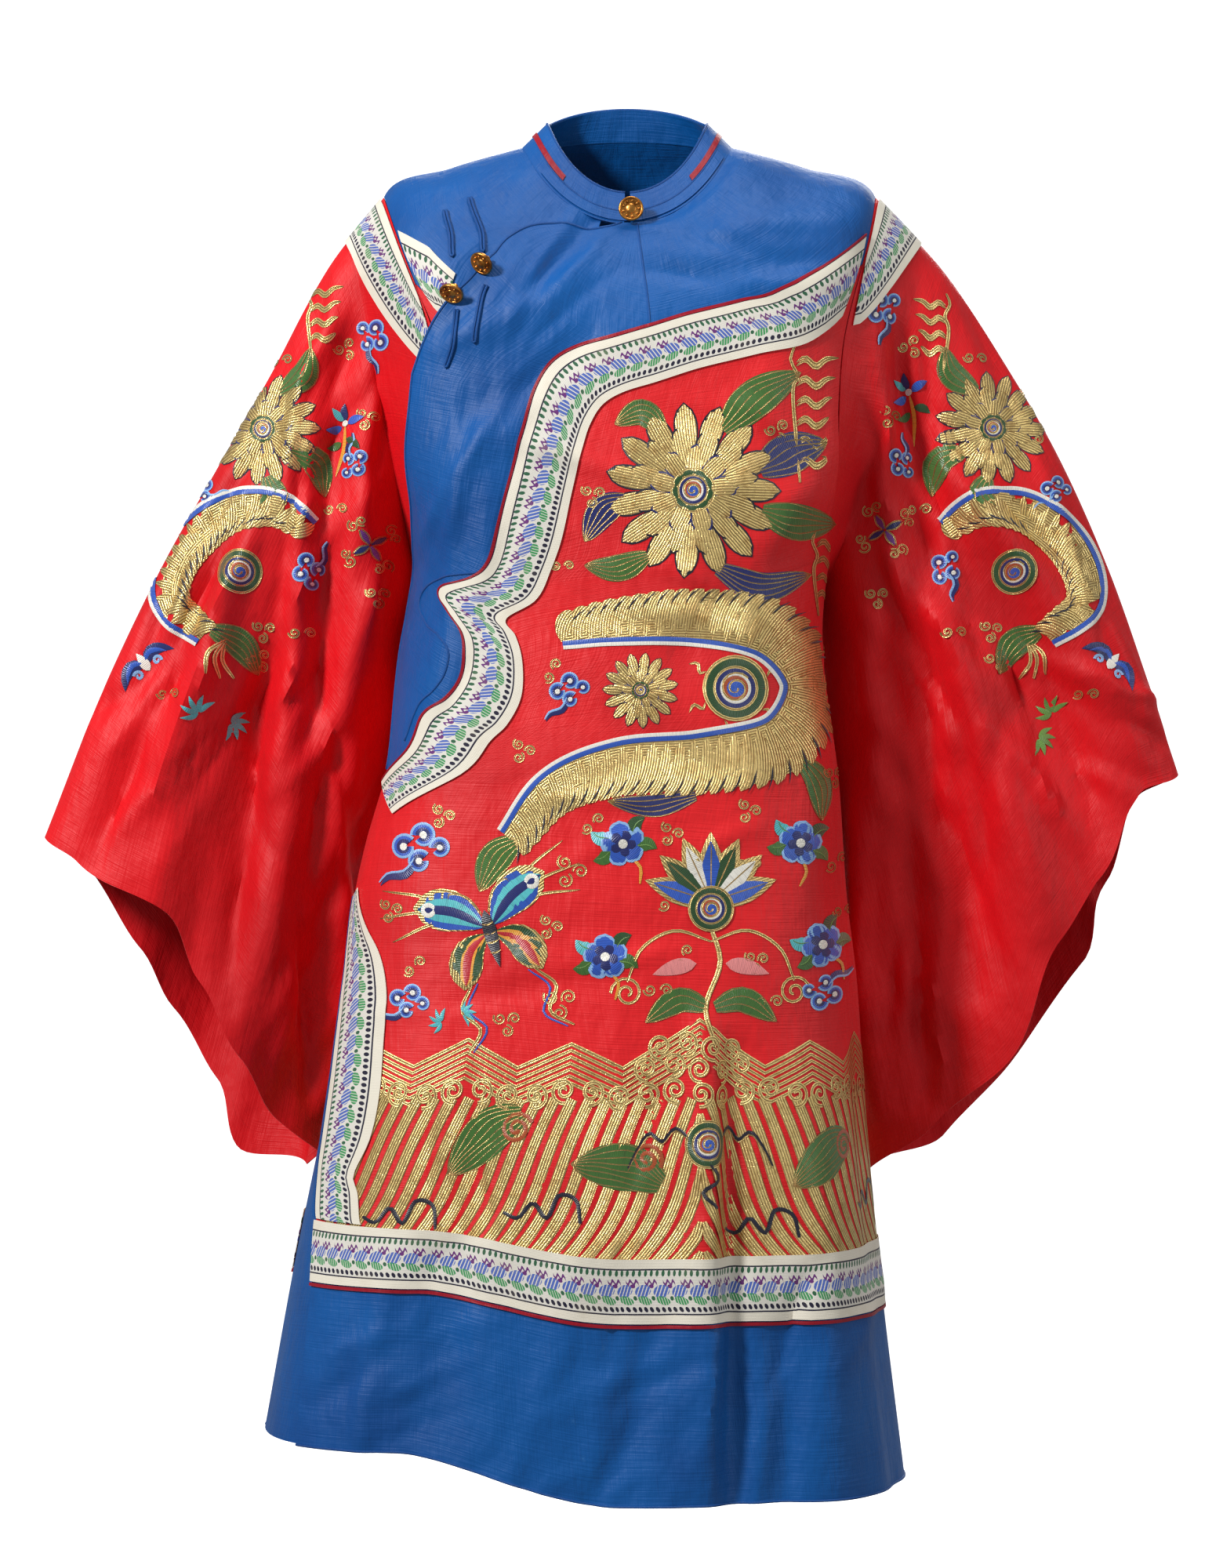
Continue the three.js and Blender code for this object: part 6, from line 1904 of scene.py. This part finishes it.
    def bamboo(self, spot: Spot, dye: Colour) -> None:
        """Narrow leaves in fans."""
        for x, z, turns in ((0, 0, (20, 60, 100, 140, 180)), (20, -16, (-120, -85, -50, -15, 20))):
            place = spot.put([(x, z)])[0]
            for turn in turns:
                at = Spot(*place, spot.turn + turn, spot.size)
                self.hoop.leaf(at, [(1, 0), (8, 1), (16, -1)], 2.3, 1, dye)

    def emblem(self, spot: Spot) -> None:
        """A tied lozenge of violet and gold among scrolls."""
        for turn in (0, 90, 180, 270):
            place = Spot(spot.x, spot.z, spot.turn + turn, spot.size)
            self.hoop.leaf(place, [(1, 0), (9, 0), (17, 0)], 3.2, 1.4, VIOLET if turn % 180 else NAVY)
            for rise in (3.4, -3.4):
                self.hoop.line(place, [(1, rise * 0.3), (9, rise), (18, rise * 0.3)], 0.6, 2.2, None, 6)
            self.curl(Spot(*place.put([(24, 4)])[0], spot.turn + turn, spot.size), 6, 1.5, 0.7)
            self.curl(Spot(*place.put([(24, -5)])[0], spot.turn + turn, spot.size, True), 5, 1.5, 0.7)

    def bat(self, spot: Spot) -> None:
        """A small winged cloud in blue with a white heart."""
        for hand in (1, -1):
            wing = [(0, 0), (hand * 12, 7), (hand * 24, 2), (hand * 32, -7)]
            self.hoop.leaf(spot, wing, 6.0, 1, NAVY)
            self.hoop.leaf(spot, [(x * 0.8, z * 0.8 + 2) for x, z in wing], 2.6, 2.8, MID_BLUE)
            wing_curl = Spot(*spot.put([(hand * 12, -4)])[0], 0, spot.size, hand < 0)
            self.curl(wing_curl, 5, 1.1, 1.3, 1.6, PALE_BLUE)
        self.hoop.leaf(spot, [(0, -7), (0, 3), (0, 14)], 5.0, 3, WHITE)

    def butterfly(self, spot: Spot) -> None:
        """A butterfly with banded wings and long gold streamers."""
        for hand in (1, -1):
            for tip_x, tip_z in ((58, 40), (64, 24), (60, 8)):
                plume = [(hand * 14, 6), (hand * tip_x * 0.55, tip_z * 0.5 + 8), (hand * tip_x, tip_z)]
                self.hoop.line(spot, plume, 1.1, 1, None, 10, 0.8)
            upper = [(hand * 2, 2), (hand * 20, 17), (hand * 42, 25)]
            lower = [(hand * 2, -2), (hand * 17, -12), (hand * 25, -32)]
            for points, half, layer, dye in (
                (upper, 13.0, 1.2, None), (upper, 11.4, 1.8, MID_BLUE), (upper, 7.4, 2.8, TEAL),
                (upper, 3.6, 4.0, NAVY), (lower, 10.6, 1.4, None), (lower, 9.2, 2.0, DARK_GREEN),
                (lower, 5.6, 3.0, ORANGE), (lower, 2.6, 4.2, srgb(190, 24, 40)),
            ):
                share = 1.0 if dye is None else 0.94
                self.hoop.leaf(spot, [(x * share, z * share) for x, z in points], half, layer, dye,
                               round_tip=True)
            self.ring(Spot(*spot.put([(hand * 33, 21)])[0], 0, spot.size), 3.2, 1.4, 4.6, WHITE)
            feeler = [(hand * 2, 10), (hand * 8, 22), (hand * 18, 27), (hand * 20, 21)]
            self.hoop.line(spot, feeler, 0.8, 2, None, 10)
            tail = [(hand * 20, -30), (hand * 30, -44), (hand * 22, -58), (hand * 34, -70)]
            self.hoop.line(spot, tail, 1.4, 1.2, None, 14)
            self.hoop.line(spot, [(x - hand * 4, z) for x, z in tail], 0.9, 1.2, MID_BLUE, 14)
        self.hoop.leaf(spot, [(0, 12), (0, 0), (0, -24)], 4.2, 4.4, INK)
        for z in (4, -2, -8, -14):
            self.hoop.line(spot, [(-3.4, z), (0, z - 1), (3.4, z)], 0.6, 6.6, None, 4)

    def lotus(self, spot: Spot) -> None:
        """A lotus on a scrolled stem, between fans of reed."""
        for k in range(7):
            turn = 18 + 24 * k
            place = Spot(spot.x, spot.z, spot.turn + turn, spot.size)
            self.hoop.leaf(place, [(2, 0), (20, 0), (38, 0)], 7.4, 1.0 + 0.3 * (k % 2), None, crown=0.4)
            self.hoop.leaf(place, [(3, 0), (18, 0), (33, 0)], 5.4, 2.6 + 0.3 * (k % 2),
                           (MID_BLUE, WHITE, DARK_GREEN)[k % 3])
            self.hoop.line(place, [(6, 0), (18, 0), (32, 0)], 0.5, 4.8, None, 6)
        self.disc(Spot(*spot.put([(0, -4)])[0], 0, spot.size * 0.5), 4.6)
        self.hoop.line(spot, [(0, -14), (5, -34), (-3, -58), (2, -78)], 2.0, 1, None, 14, 0.2)
        for hand in (1, -1):
            stem = [(0, -22), (hand * 20, -16), (hand * 38, -26), (hand * 46, -44)]
            self.hoop.line(spot, stem, 1.3, 1.4, None, 14)
            self.curl(Spot(*spot.put([(hand * 46, -50)])[0], 0, spot.size, hand < 0), 9, 1.7, 1.1)
            self.strands(spot, [(hand * 2, -58), (hand * 18, -54), (hand * 36, -66)], 7, GREEN, 1, 10, 4)
            self.hoop.leaf(spot, [(hand * 8, -34), (hand * 20, -36), (hand * 32, -40)], 4.4, 1.6, PINK)

    def jewel(self, spot: Spot) -> None:
        """A ringed jewel with fluttering dark cords."""
        self.disc(Spot(spot.x, spot.z, 0, spot.size * 0.72), 3.4)
        for hand in (1, -1):
            cord = [(hand * 14, 4), (hand * 26, 12), (hand * 36, 2), (hand * 46, 8), (hand * 56, -6),
                    (hand * 62, -18)]
            self.hoop.line(spot, cord, 1.5, 3.2, INK, 20, 0.4)
            self.hoop.line(spot, [(x, z - 1.9) for x, z in cord], 0.5, 3.6, None, 20, 0.4)
        self.hoop.line(spot, [(0, -14), (8, -26), (-4, -36), (6, -48)], 1.5, 3.2, INK, 12, 0.3)

    def lattice(self, low: float, high: float, top: float, foot: float, fold: float = 0.0) -> None:
        """Slanting gold bands of standing water, leaning away from a fold.

        Args:
            low: where the stretch starts, round the skirt.
            high: where it ends.
            top: height of its upper edge.
            foot: height of its lower edge.
            fold: where the lean changes hand.
        """
        pitch, gap, count = 14.2, 5.0, 36
        t = np.linspace(0.0, 1.0, count + 1)
        lean = 40 * t + 26 * t * t * t + 3.0 * np.sin(6 * t)
        z = top + (foot - top) * t
        for hand in (1, -1):
            start, end = (fold, high) if hand > 0 else (fold, low)
            for k in range(-4, int(abs(end - start) / pitch) + 2):
                near = start + hand * (k * pitch + lean)
                edges = [np.clip(near + hand * side, min(start, end), max(start, end))
                         for side in (gap / 2, pitch - gap / 2)]
                spine = np.stack([(edges[0] + edges[1]) / 2, z], axis=-1)
                half = np.abs(edges[1] - edges[0]) / 2
                keep = half > 0.6
                if keep.sum() > 2:
                    self.hoop.sew(spine[keep], half[keep], 0, 0.35, None, 4)

    def surf(self, low: float, high: float, level: float, rows: int = 2) -> None:
        """Rows of rolling gold scrolls."""
        step = 23.0
        for row in range(rows):
            for k in range(int((high - low) / step)):
                x = low + step * (k + 0.5 + 0.5 * (row % 2))
                if x + 11 > high:
                    continue
                place = Spot(x, level + 17 * row + 3 * math.sin(k * 1.7), 0, 1.0, k % 2 == 0)
                self.hoop.sew(place.put(spiral(10.4, 1.75, -100, 0.1, 34)), 1.5, 1.6 + 0.3 * row, 0.35, None)

    def peaks(self, low: float, high: float, ridge: Sequence[tuple[float, float]], lines: int) -> None:
        """Nested gold chevrons of far mountains.

        Args:
            low: where they start, round the skirt.
            high: where they end.
            ridge: corners of the upper line.
            lines: how many lines.
        """
        table = np.array(ridge, float)
        for k in range(lines):
            keep = (table[:, 0] > low) & (table[:, 0] < high)
            ends = [[x, float(np.interp(x, table[:, 0], table[:, 1]))] for x in (low, high)]
            corners_of = np.vstack([ends[0], table[keep], ends[1]]) - (0.0, 5.0 * k)
            fine = [between(a, b, 5)[:-1] for a, b in zip(corners_of[:-1], corners_of[1:])]
            spine = np.vstack([*fine, corners_of[-1:]])
            self.hoop.sew(spine, 1.35 if k else 1.6, 0.2 + 0.05 * k, 0.3, None)


@dataclass
class Embroiderer:
    """Works the front, the back and both faces of the sleeves."""

    forms: Forms
    finishes: Wardrobe

    def work(self) -> None:
        """Work every hoop and lay it on the cloth."""
        f = self.forms
        hoops = []
        for name, cloth, to_uv, across, drop in (
            ("front", f.front, body_uv, 0.0, 0.0), ("back", f.body, back_uv, -25.0, -34.0),
        ):
            hoop = Hoop(name, cloth, Facing(cloth, to_uv, (0.0, 0.4), (-1.0, 0.0), (1.0, 1.0)))
            self._body(Motifs(hoop), across, drop)
            hoops.append(hoop)
        for name, cloth, ends in (
            ("skirt_front", f.front, (-58.0, 89.0)), ("skirt_back", f.body, (91.0, 269.0)),
        ):
            place = RoundSkirt(cloth)
            hoop = Hoop(name, cloth, place)
            self._skirt(Motifs(hoop), *(place.reach(u) for u in ends))
            hoops.append(hoop)
        for side, cloth in f.sleeves.items():
            for face in (True, False):
                seek = Facing(cloth, sleeve_uv(face), (0.5, 0.5), (0.0, 0.0), (1.0, 1.0))
                hoop = Hoop(f"sleeve_{side.value}_{'front' if face else 'back'}", cloth, seek)
                self._sleeve(Motifs(hoop), side)
                hoops.append(hoop)
        for hoop in hoops:
            hoop.lay(self.finishes.gold, self.finishes.floss)

    @staticmethod
    def _body(m: Motifs, across: float, drop: float) -> None:
        """The large motifs of the body."""
        def at(x: float, z: float, turn: float = 0.0, size: float = 1.0, mirror: bool = False) -> Spot:
            """A place on this side of the robe."""
            return Spot(x + across, z + drop, turn, size, mirror)

        for points, half, dye in (
            ([(20, 40), (42, 62), (72, 80)], 13, GREEN),
            ([(-20, 40), (-34, 52), (-52, 44)], 9, GREEN),
            ([(44, 14), (66, 26), (90, 34)], 14, NAVY),
            ([(46, -14), (70, -20), (98, -18)], 12, GREEN),
            ([(-44, -6), (-60, -14), (-72, -34)], 10, NAVY),
            ([(-30, -44), (-50, -52), (-72, -50)], 9, GREEN),
            ([(16, -52), (46, -64), (80, -54)], 10, NAVY),
        ):
            m.strands(at(52, -292, 0, 1.2), points, half, dye, 0.4, 14, 6)
        m.gold_bloom(at(52, -292, 0, 1.16))
        m.flames(at(134, -186, 0, 0.95), 6)
        m.flames(at(152, -330, 0, 0.8), 4)
        m.scaled_band(at(0, 0), [(-54, -404), (-10, -396), (56, -392), (118, -404), (150, -446), (126, -494),
                                 (62, -510), (-4, -514), (-56, -532), (-92, -572)], 25, 11, 1)
        m.disc(at(86, -450, 0, 1.05), 2.0)
        for turn in (20, 75, 150, 205, 250, 320):
            m.hoop.line(at(86, -450, turn), [(27, 0), (31, 4), (36, -2), (42, 2)], 1.3, 1, None, 8, 0.9)
        m.gold_bloom(at(10, -452, 10, 0.5))
        m.cloud(at(-48, -452, 30, 0.8))
        for x, z, points, half, dye, count in (
            (-92, -572, [(4, 0), (-14, -14), (-26, -40)], 13, GREEN, 6),
            (140, -512, [(0, 4), (14, -14), (16, -44)], 11, GREEN, 5),
            (20, -536, [(34, 0), (0, -8), (-36, -4)], 9, NAVY, 5),
        ):
            m.strands(at(x, z), points, half, dye, 0.6, 12, count)
        m.lotus(at(66, -620, 0, 1.45))
        for x, z, turn in ((-4, -574, 10), (138, -574, -14), (-18, -664, 0), (156, -656, 20)):
            m.blossom(at(x, z, turn, 1.3))
        m.butterfly(at(-110, -642, 16, 1.3))
        for x, z, turn, size in ((-168, -578, 20, 1.15), (158, -694, 190, 0.85), (-176, -700, 10, 0.8)):
            m.cloud(at(x, z, turn, size))
        for x, z, turn, size in ((-46, -596, 0, 1.1), (-54, -700, 30, 1.1), (-96, -716, 30, 0.9)):
            m.scrolls(at(x, z, turn, size))
        for x, z, turn in ((112, -700, 0), (24, -690, 0), (170, -590, 30)):
            m.scrolls(at(x, z, turn, 0.9), 2)
        m.bamboo(at(-148, -716, 60, 0.7), TEAL)
        for x, z, turn, count in (
            (168, -420, 0, 3), (-28, -296, 20, 3), (120, -244, 50, 3), (24, -382, 0, 2), (-60, -436, 60, 2),
            (-84, -500, 0, 3), (168, -520, 30, 3), (96, -548, 0, 3), (-28, -558, 40, 2), (34, -566, 0, 3),
            (-148, -552, 0, 3), (-190, -628, 10, 3), (-170, -672, 40, 2), (102, -668, 20, 3),
            (44, -664, 60, 2), (96, -590, 0, 2), (34, -620, 30, 2), (-62, -640, 0, 3), (176, -630, 0, 2),
        ):
            m.scrolls(at(x, z, turn, 0.82), count)
        m.scrolls(at(-52, -352, 0, 0.7), 2)

    @staticmethod
    def _skirt(m: Motifs, low: float, high: float) -> None:
        """Mountains, surf and standing water round the hem."""
        centre = 0.0 if low < 0.0 < high else (low + high) / 2
        ridge = [(centre - 66.0, -752.0), (centre, -714.0), (centre + 66.0, -752.0)]
        for k in range(1, 14):
            height = -752.0 if k % 2 == 0 else -730.0 - 3 * (k % 3)
            ridge = [(centre - 66.0 - 44 * k, height), *ridge, (centre + 66.0 + 44 * k, height)]
        m.peaks(low, high, ridge, 7)
        m.surf(low, high, -772.0, 1)
        m.surf(centre - 58, centre + 58, -752.0, 2)
        m.lattice(low, high, -776.0, -915.0, centre)
        m.jewel(Spot(centre + 6, -812, 0, 1.05))
        for offset, height, turn in ((-172, -812, 24), (-66, -836, -30), (122, -830, 10), (-270, -840, 10),
                                     (262, -822, -18)):
            if low + 40 < centre + offset < high - 40:
                plant = Spot(centre + offset, height, turn, 1.1)
                m.strands(plant, [(30, 10), (4, 8), (-34, -10)], 17, GREEN, 1.6, 16, 8)
                m.curl(Spot(centre + offset + 22, height + 12, turn), 13, 1.9, 1.6, 3.0, RUST)
        for offset, height in ((-120, -866), (64, -880), (-232, -872), (200, -866)):
            if low + 40 < centre + offset < high - 40:
                cord = [(-34, 0), (-22, -4), (-12, 8), (0, -4), (8, 14), (22, 10), (26, -8)]
                m.hoop.line(Spot(centre + offset, height), cord, 1.7, 2.4, INK, 26, 0.3)

    @staticmethod
    def _sleeve(m: Motifs, side: Side) -> None:
        """The motifs of one sleeve face."""
        right = side is Side.RIGHT
        hand = 1 if right else -1
        m.cloud(Spot(208 * hand, -140 if right else -160, 60 * hand, 0.8, not right))
        m.sprig(Spot(232 * hand, -205 if right else -230, 8 * hand, 0.95))
        m.emblem(Spot(212 * hand, -318 if right else -330, 30, 0.85))
        m.flames(Spot(262 * hand, -132 if right else -120, 0, 0.75, right), 4)
        m.gold_bloom(Spot(300 * hand, -234, 0, 0.78))
        for points in ([(-24, -20), (-44, -28), (-50, -56)], [(-14, 30), (-34, 44), (-40, 66)],
                       [(-4, -40), (-10, -58), (6, -70)]):
            m.strands(Spot(300 * hand, -234, 0, 1.0, not right), points, 11, GREEN, 0.6, 12, 5)
        band_of = [(262, -318), (290, -302), (330, -306), (366, -336), (376, -374), (346, -404)]
        m.scaled_band(Spot(0, 0), [(x * hand, z) for x, z in band_of], 18, 9, -hand)
        m.disc(Spot(318 * hand, -352, 0, 0.72), 2.0)
        frond = [(0, 0), (-22 * hand, -12), (-34 * hand, -36)]
        m.strands(Spot(340 * hand, -400), frond, 12, GREEN, 0.8, 12, 6)
        for k in range(3):
            stalk = Spot(330 * hand, -408, hand * (20 * k - 10))
            m.hoop.line(stalk, [(0, 0), (6 * hand, -16), (0, -32)], 1.6, 1.4)
        m.cloud(Spot(262 * hand, -350, 80, 0.75, not right))
        m.cloud(Spot(224 * hand, -262, 110 * hand, 0.66, right))
        m.cloud(Spot(352 * hand, -284, 20, 0.66, not right))
        for x, z, turn in (
            (240, -300, 0), (206, -372, 30), (268, -402, 0), (232, -168, 60), (300, -400, 20),
            (286, -176, 0), (338, -236, 40), (214, -226, 10), (304, -424, 50), (378, -452, 0),
        ):
            m.scrolls(Spot(x * hand, z, turn, 0.8), 3 if turn else 2)
        m.bat(Spot(398 * hand, -428, -40 * hand, 0.85))
        m.bamboo(Spot(352 * hand, -468, 20, 0.95, right), LIME if right else TEAL)


# ---- fastenings ----------------------------------------------------------------------------------------
@dataclass(frozen=True)
class Frog:
    """A double rolled cord through three front-view points."""

    name: str
    on_flap: bool
    ends: tuple[tuple[float, float], ...]


@dataclass(frozen=True)
class Button:
    """A shank button: its place on the front, its height off the cloth, and how it leans."""

    name: str
    at: tuple[float, float]
    stand: float
    gap: float
    tilt: float
    turn: float


FROGS = (
    Frog("outer_upper", False, ((-148, -62), (-143, -82), (-141, -101))),
    Frog("outer_lower", True, ((-136, -146), (-136, -170), (-143, -191))),
    Frog("inner_upper", False, ((-128, -51), (-119, -78), (-117, -96))),
    Frog("inner_lower", True, ((-113, -128), (-118, -150), (-121, -172))),
)
BUTTONS = (
    Button("button_neck", (3, -73.5), 12.9, 1.5, -4, 0),
    Button("button_outer", (-139, -134), 9.5, 0.4, 48, -28),
    Button("button_inner", (-116, -113), 9.5, 0.8, 34, -40),
)


@dataclass
class Fastener:
    """Makes the frogs and the buttons."""

    forms: Forms
    finishes: Wardrobe
    radius: float = 10.0
    cord_radius: float = 1.15
    cord_apart: float = 1.25
    cord_end: float = 1.2
    neck_front: float = -86.0
    boss_radius: float = 4.4
    bead_ring: float = 6.4
    beads: int = 9

    def frogs(self) -> None:
        """Sew the rolled loops, two cords side by side, turned at their ends."""
        for frog in FROGS:
            cloth = self.forms.front if frog.on_flap else self.forms.body
            line = curve(self.forms.on_front(frog.ends), 26, ROUND)
            middle = cloth.at(line[:, 0], line[:, 1], 2.0)
            run = np.gradient(middle, axis=0)
            normal = cloth.at(line[:, 0], line[:, 1], 1.0) - cloth.at(line[:, 0], line[:, 1], 0.0)
            aside = np.cross(run, normal)
            aside /= np.linalg.norm(aside, axis=-1, keepdims=True)
            end = run[-1] / np.linalg.norm(run[-1]) * self.cord_end
            aside = aside * self.cord_apart
            loop = np.vstack([middle + aside, middle[-1:] + end, (middle - aside)[::-1]])
            piece = tube(f"cord_frog_{frog.name}", loop, self.cord_radius)
            dress(piece, self.finishes.cord, [f"frog_{frog.name}"])

    def buttons(self) -> None:
        """Cast the buttons."""
        for button in BUTTONS:
            self._button(button)

    def _button(self, button: Button) -> None:
        """Turn one button: a shank, a disc, a rolled rim and a beaded boss."""
        u, v = self.forms.on_front([button.at])[0]
        seat = self.forms.front.at(np.array([u]), np.array([v]), np.array([button.stand]))[0]
        if button.name == "button_neck":
            seat[1] = min(seat[1], self.neck_front)
        shank = button.stand - button.gap
        parts = []
        bpy.ops.object.select_all(action="DESELECT")
        bpy.ops.mesh.primitive_cylinder_add(vertices=48, radius=self.radius * 0.97 * MM, depth=2.0 * MM,
                                            location=(0, 0, 0))
        parts.append(bpy.context.active_object)
        bpy.ops.mesh.primitive_torus_add(major_segments=56, minor_segments=12,
                                         major_radius=self.radius * 0.9 * MM, minor_radius=1.15 * MM,
                                         location=(0, 0, 0.7 * MM))
        parts.append(bpy.context.active_object)
        bpy.ops.mesh.primitive_cylinder_add(vertices=20, radius=2.4 * MM, depth=shank * MM,
                                            location=(0, 0, -shank / 2 * MM))
        parts.append(bpy.context.active_object)
        bpy.ops.mesh.primitive_uv_sphere_add(segments=28, ring_count=12, radius=self.boss_radius * MM,
                                             location=(0, 0, 0.8 * MM))
        boss = bpy.context.active_object
        boss.scale = (1.0, 1.0, 0.36)
        parts.append(boss)
        for k in range(self.beads):
            turn = 2 * math.pi * k / self.beads
            ring = self.bead_ring * MM
            spot = (ring * math.cos(turn), ring * math.sin(turn), 1.1 * MM)
            bead = (1.1 + 0.25 * (k % 2)) * MM
            bpy.ops.mesh.primitive_uv_sphere_add(segments=12, ring_count=8, radius=bead, location=spot)
            parts.append(bpy.context.active_object)
        bpy.ops.object.select_all(action="DESELECT")
        for part in parts:
            part.select_set(True)
        piece = parts[0]
        bpy.context.view_layer.objects.active = piece
        bpy.ops.object.transform_apply(location=True, rotation=True, scale=True)
        bpy.ops.object.join()
        piece.name = f"metal_{button.name}"
        tilt, turn = math.radians(90 + button.tilt), math.radians(button.turn)
        piece.rotation_euler = (tilt, 0.0, turn)
        piece.location = seat * MM
        bpy.ops.object.transform_apply(location=True, rotation=True, scale=True)
        bpy.ops.object.shade_smooth_by_angle(angle=math.radians(40.0))
        piece.select_set(False)
        dress(piece, self.finishes.brass, [button.name])


def main() -> None:
    """Build the robe, piece by piece."""
    logging.basicConfig(level=logging.INFO)
    finishes = Wardrobe.make()
    forms = Forms()
    LOG.info("surfaces ready")
    tailor = Tailor(forms, finishes)
    fastener = Fastener(forms, finishes)
    for step in (
        tailor.front, tailor.under_front, tailor.back, tailor.sleeves, tailor.ribbons, tailor.piping,
        tailor.collar, fastener.frogs, fastener.buttons, Embroiderer(forms, finishes).work,
    ):
        step()
        LOG.info("%s done", step.__name__)
    LOG.info("robe ready")


@dataclass(frozen=True)
class Lamp:
    """A soft round light: its place, what it points at, its size in metres and its power in watts."""

    name: str
    place: tuple[float, float, float]
    target: tuple[float, float, float]
    size: float
    power: float


LAMPS = (
    Lamp("key", (-2.2, -2.3, 1.3), (0.0, 0.0, -0.5), 0.6, 112.0),
    Lamp("fill", (2.8, -1.5, 0.2), (0.0, 0.0, -0.55), 1.2, 15.0),
    Lamp("top", (0.2, -0.5, 2.0), (0.0, 0.0, -0.3), 1.0, 22.0),
    Lamp("back", (0.4, 2.2, 0.8), (0.0, 0.0, -0.5), 1.6, 40.0),
)


@dataclass(frozen=True)
class Studio:
    """Camera, lights and the pale sweep behind."""

    distance: float = 3.5
    height: float = -0.5265
    offset: float = -0.013
    lens: float = 96.92
    floor: float = -1.5
    room_light: float = 0.26

    def build(self) -> None:
        """Set everything up."""
        self._camera()
        self._sweep()
        for lamp in LAMPS:
            self._light(lamp)
        world = bpy.data.worlds.new("white_room")
        world.use_nodes = True
        world.node_tree.nodes["Background"].inputs["Color"].default_value = (1.0, 1.0, 1.0, 1.0)
        world.node_tree.nodes["Background"].inputs["Strength"].default_value = self.room_light
        bpy.context.scene.world = world
        bpy.context.scene.view_settings.view_transform = "Standard"

    def _camera(self) -> None:
        """Look straight at the front."""
        data = bpy.data.cameras.new("camera")
        data.lens = self.lens
        data.sensor_width = 36.0
        camera = bpy.data.objects.new("camera", data)
        camera.location = (self.offset, -self.distance, self.height)
        camera.rotation_euler = (math.radians(90.0), 0.0, 0.0)
        bpy.context.collection.objects.link(camera)
        bpy.context.scene.camera = camera

    @staticmethod
    def _light(lamp: Lamp) -> None:
        """Hang one soft light."""
        data = bpy.data.lights.new(lamp.name, "AREA")
        data.shape = "DISK"
        data.size = lamp.size
        data.energy = lamp.power
        light = bpy.data.objects.new(lamp.name, data)
        light.location = lamp.place
        away = np.subtract(lamp.target, lamp.place)
        flat = math.hypot(away[0], away[1])
        light.rotation_euler = (math.atan2(flat, -away[2]), 0.0, math.atan2(away[1], away[0]) - math.pi / 2)
        bpy.context.collection.objects.link(light)

    def _sweep(self) -> None:
        """Lay the floor, which turns up into the wall behind."""
        half, near, bend, radius, top = 8.0, -8.0, 6.0, 0.8, 6.0
        profile = [(near, self.floor), (bend - radius, self.floor)]
        for i in range(1, 13):
            turn = math.pi / 2 * i / 12
            y = bend - radius + radius * math.sin(turn)
            profile.append((y, self.floor + radius - radius * math.cos(turn)))
        profile.append((bend, top))
        points = np.array([[x, y, z] for y, z in profile for x in (-half, half)]) / MM
        faces = np.array([[2 * i, 2 * i + 1, 2 * i + 3, 2 * i + 2] for i in range(len(profile) - 1)])
        sweep = new_object("sweep", points, faces, np.zeros((len(faces), 4, 2)))
        maker = Maker("white_sweep")
        sweep.data.materials.append(maker.finish(
            {"Base Color": (0.93, 0.93, 0.93), "Roughness": 0.9, "Emission Color": (1.0, 1.0, 1.0),
             "Emission Strength": 0.9}, {}))
        sweep.visible_diffuse = False
        sweep.visible_glossy = False
        sweep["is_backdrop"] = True


def corners(box: Sequence[Sequence[float]]) -> list[list[float]]:
    """A box's two corners as plain numbers."""
    return [[float(value) for value in corner] for corner in box]


if __name__ == "__main__":
    Studio().build()
    main()
    {"cad": corners(CAD_BOX), "visual": corners(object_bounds())}
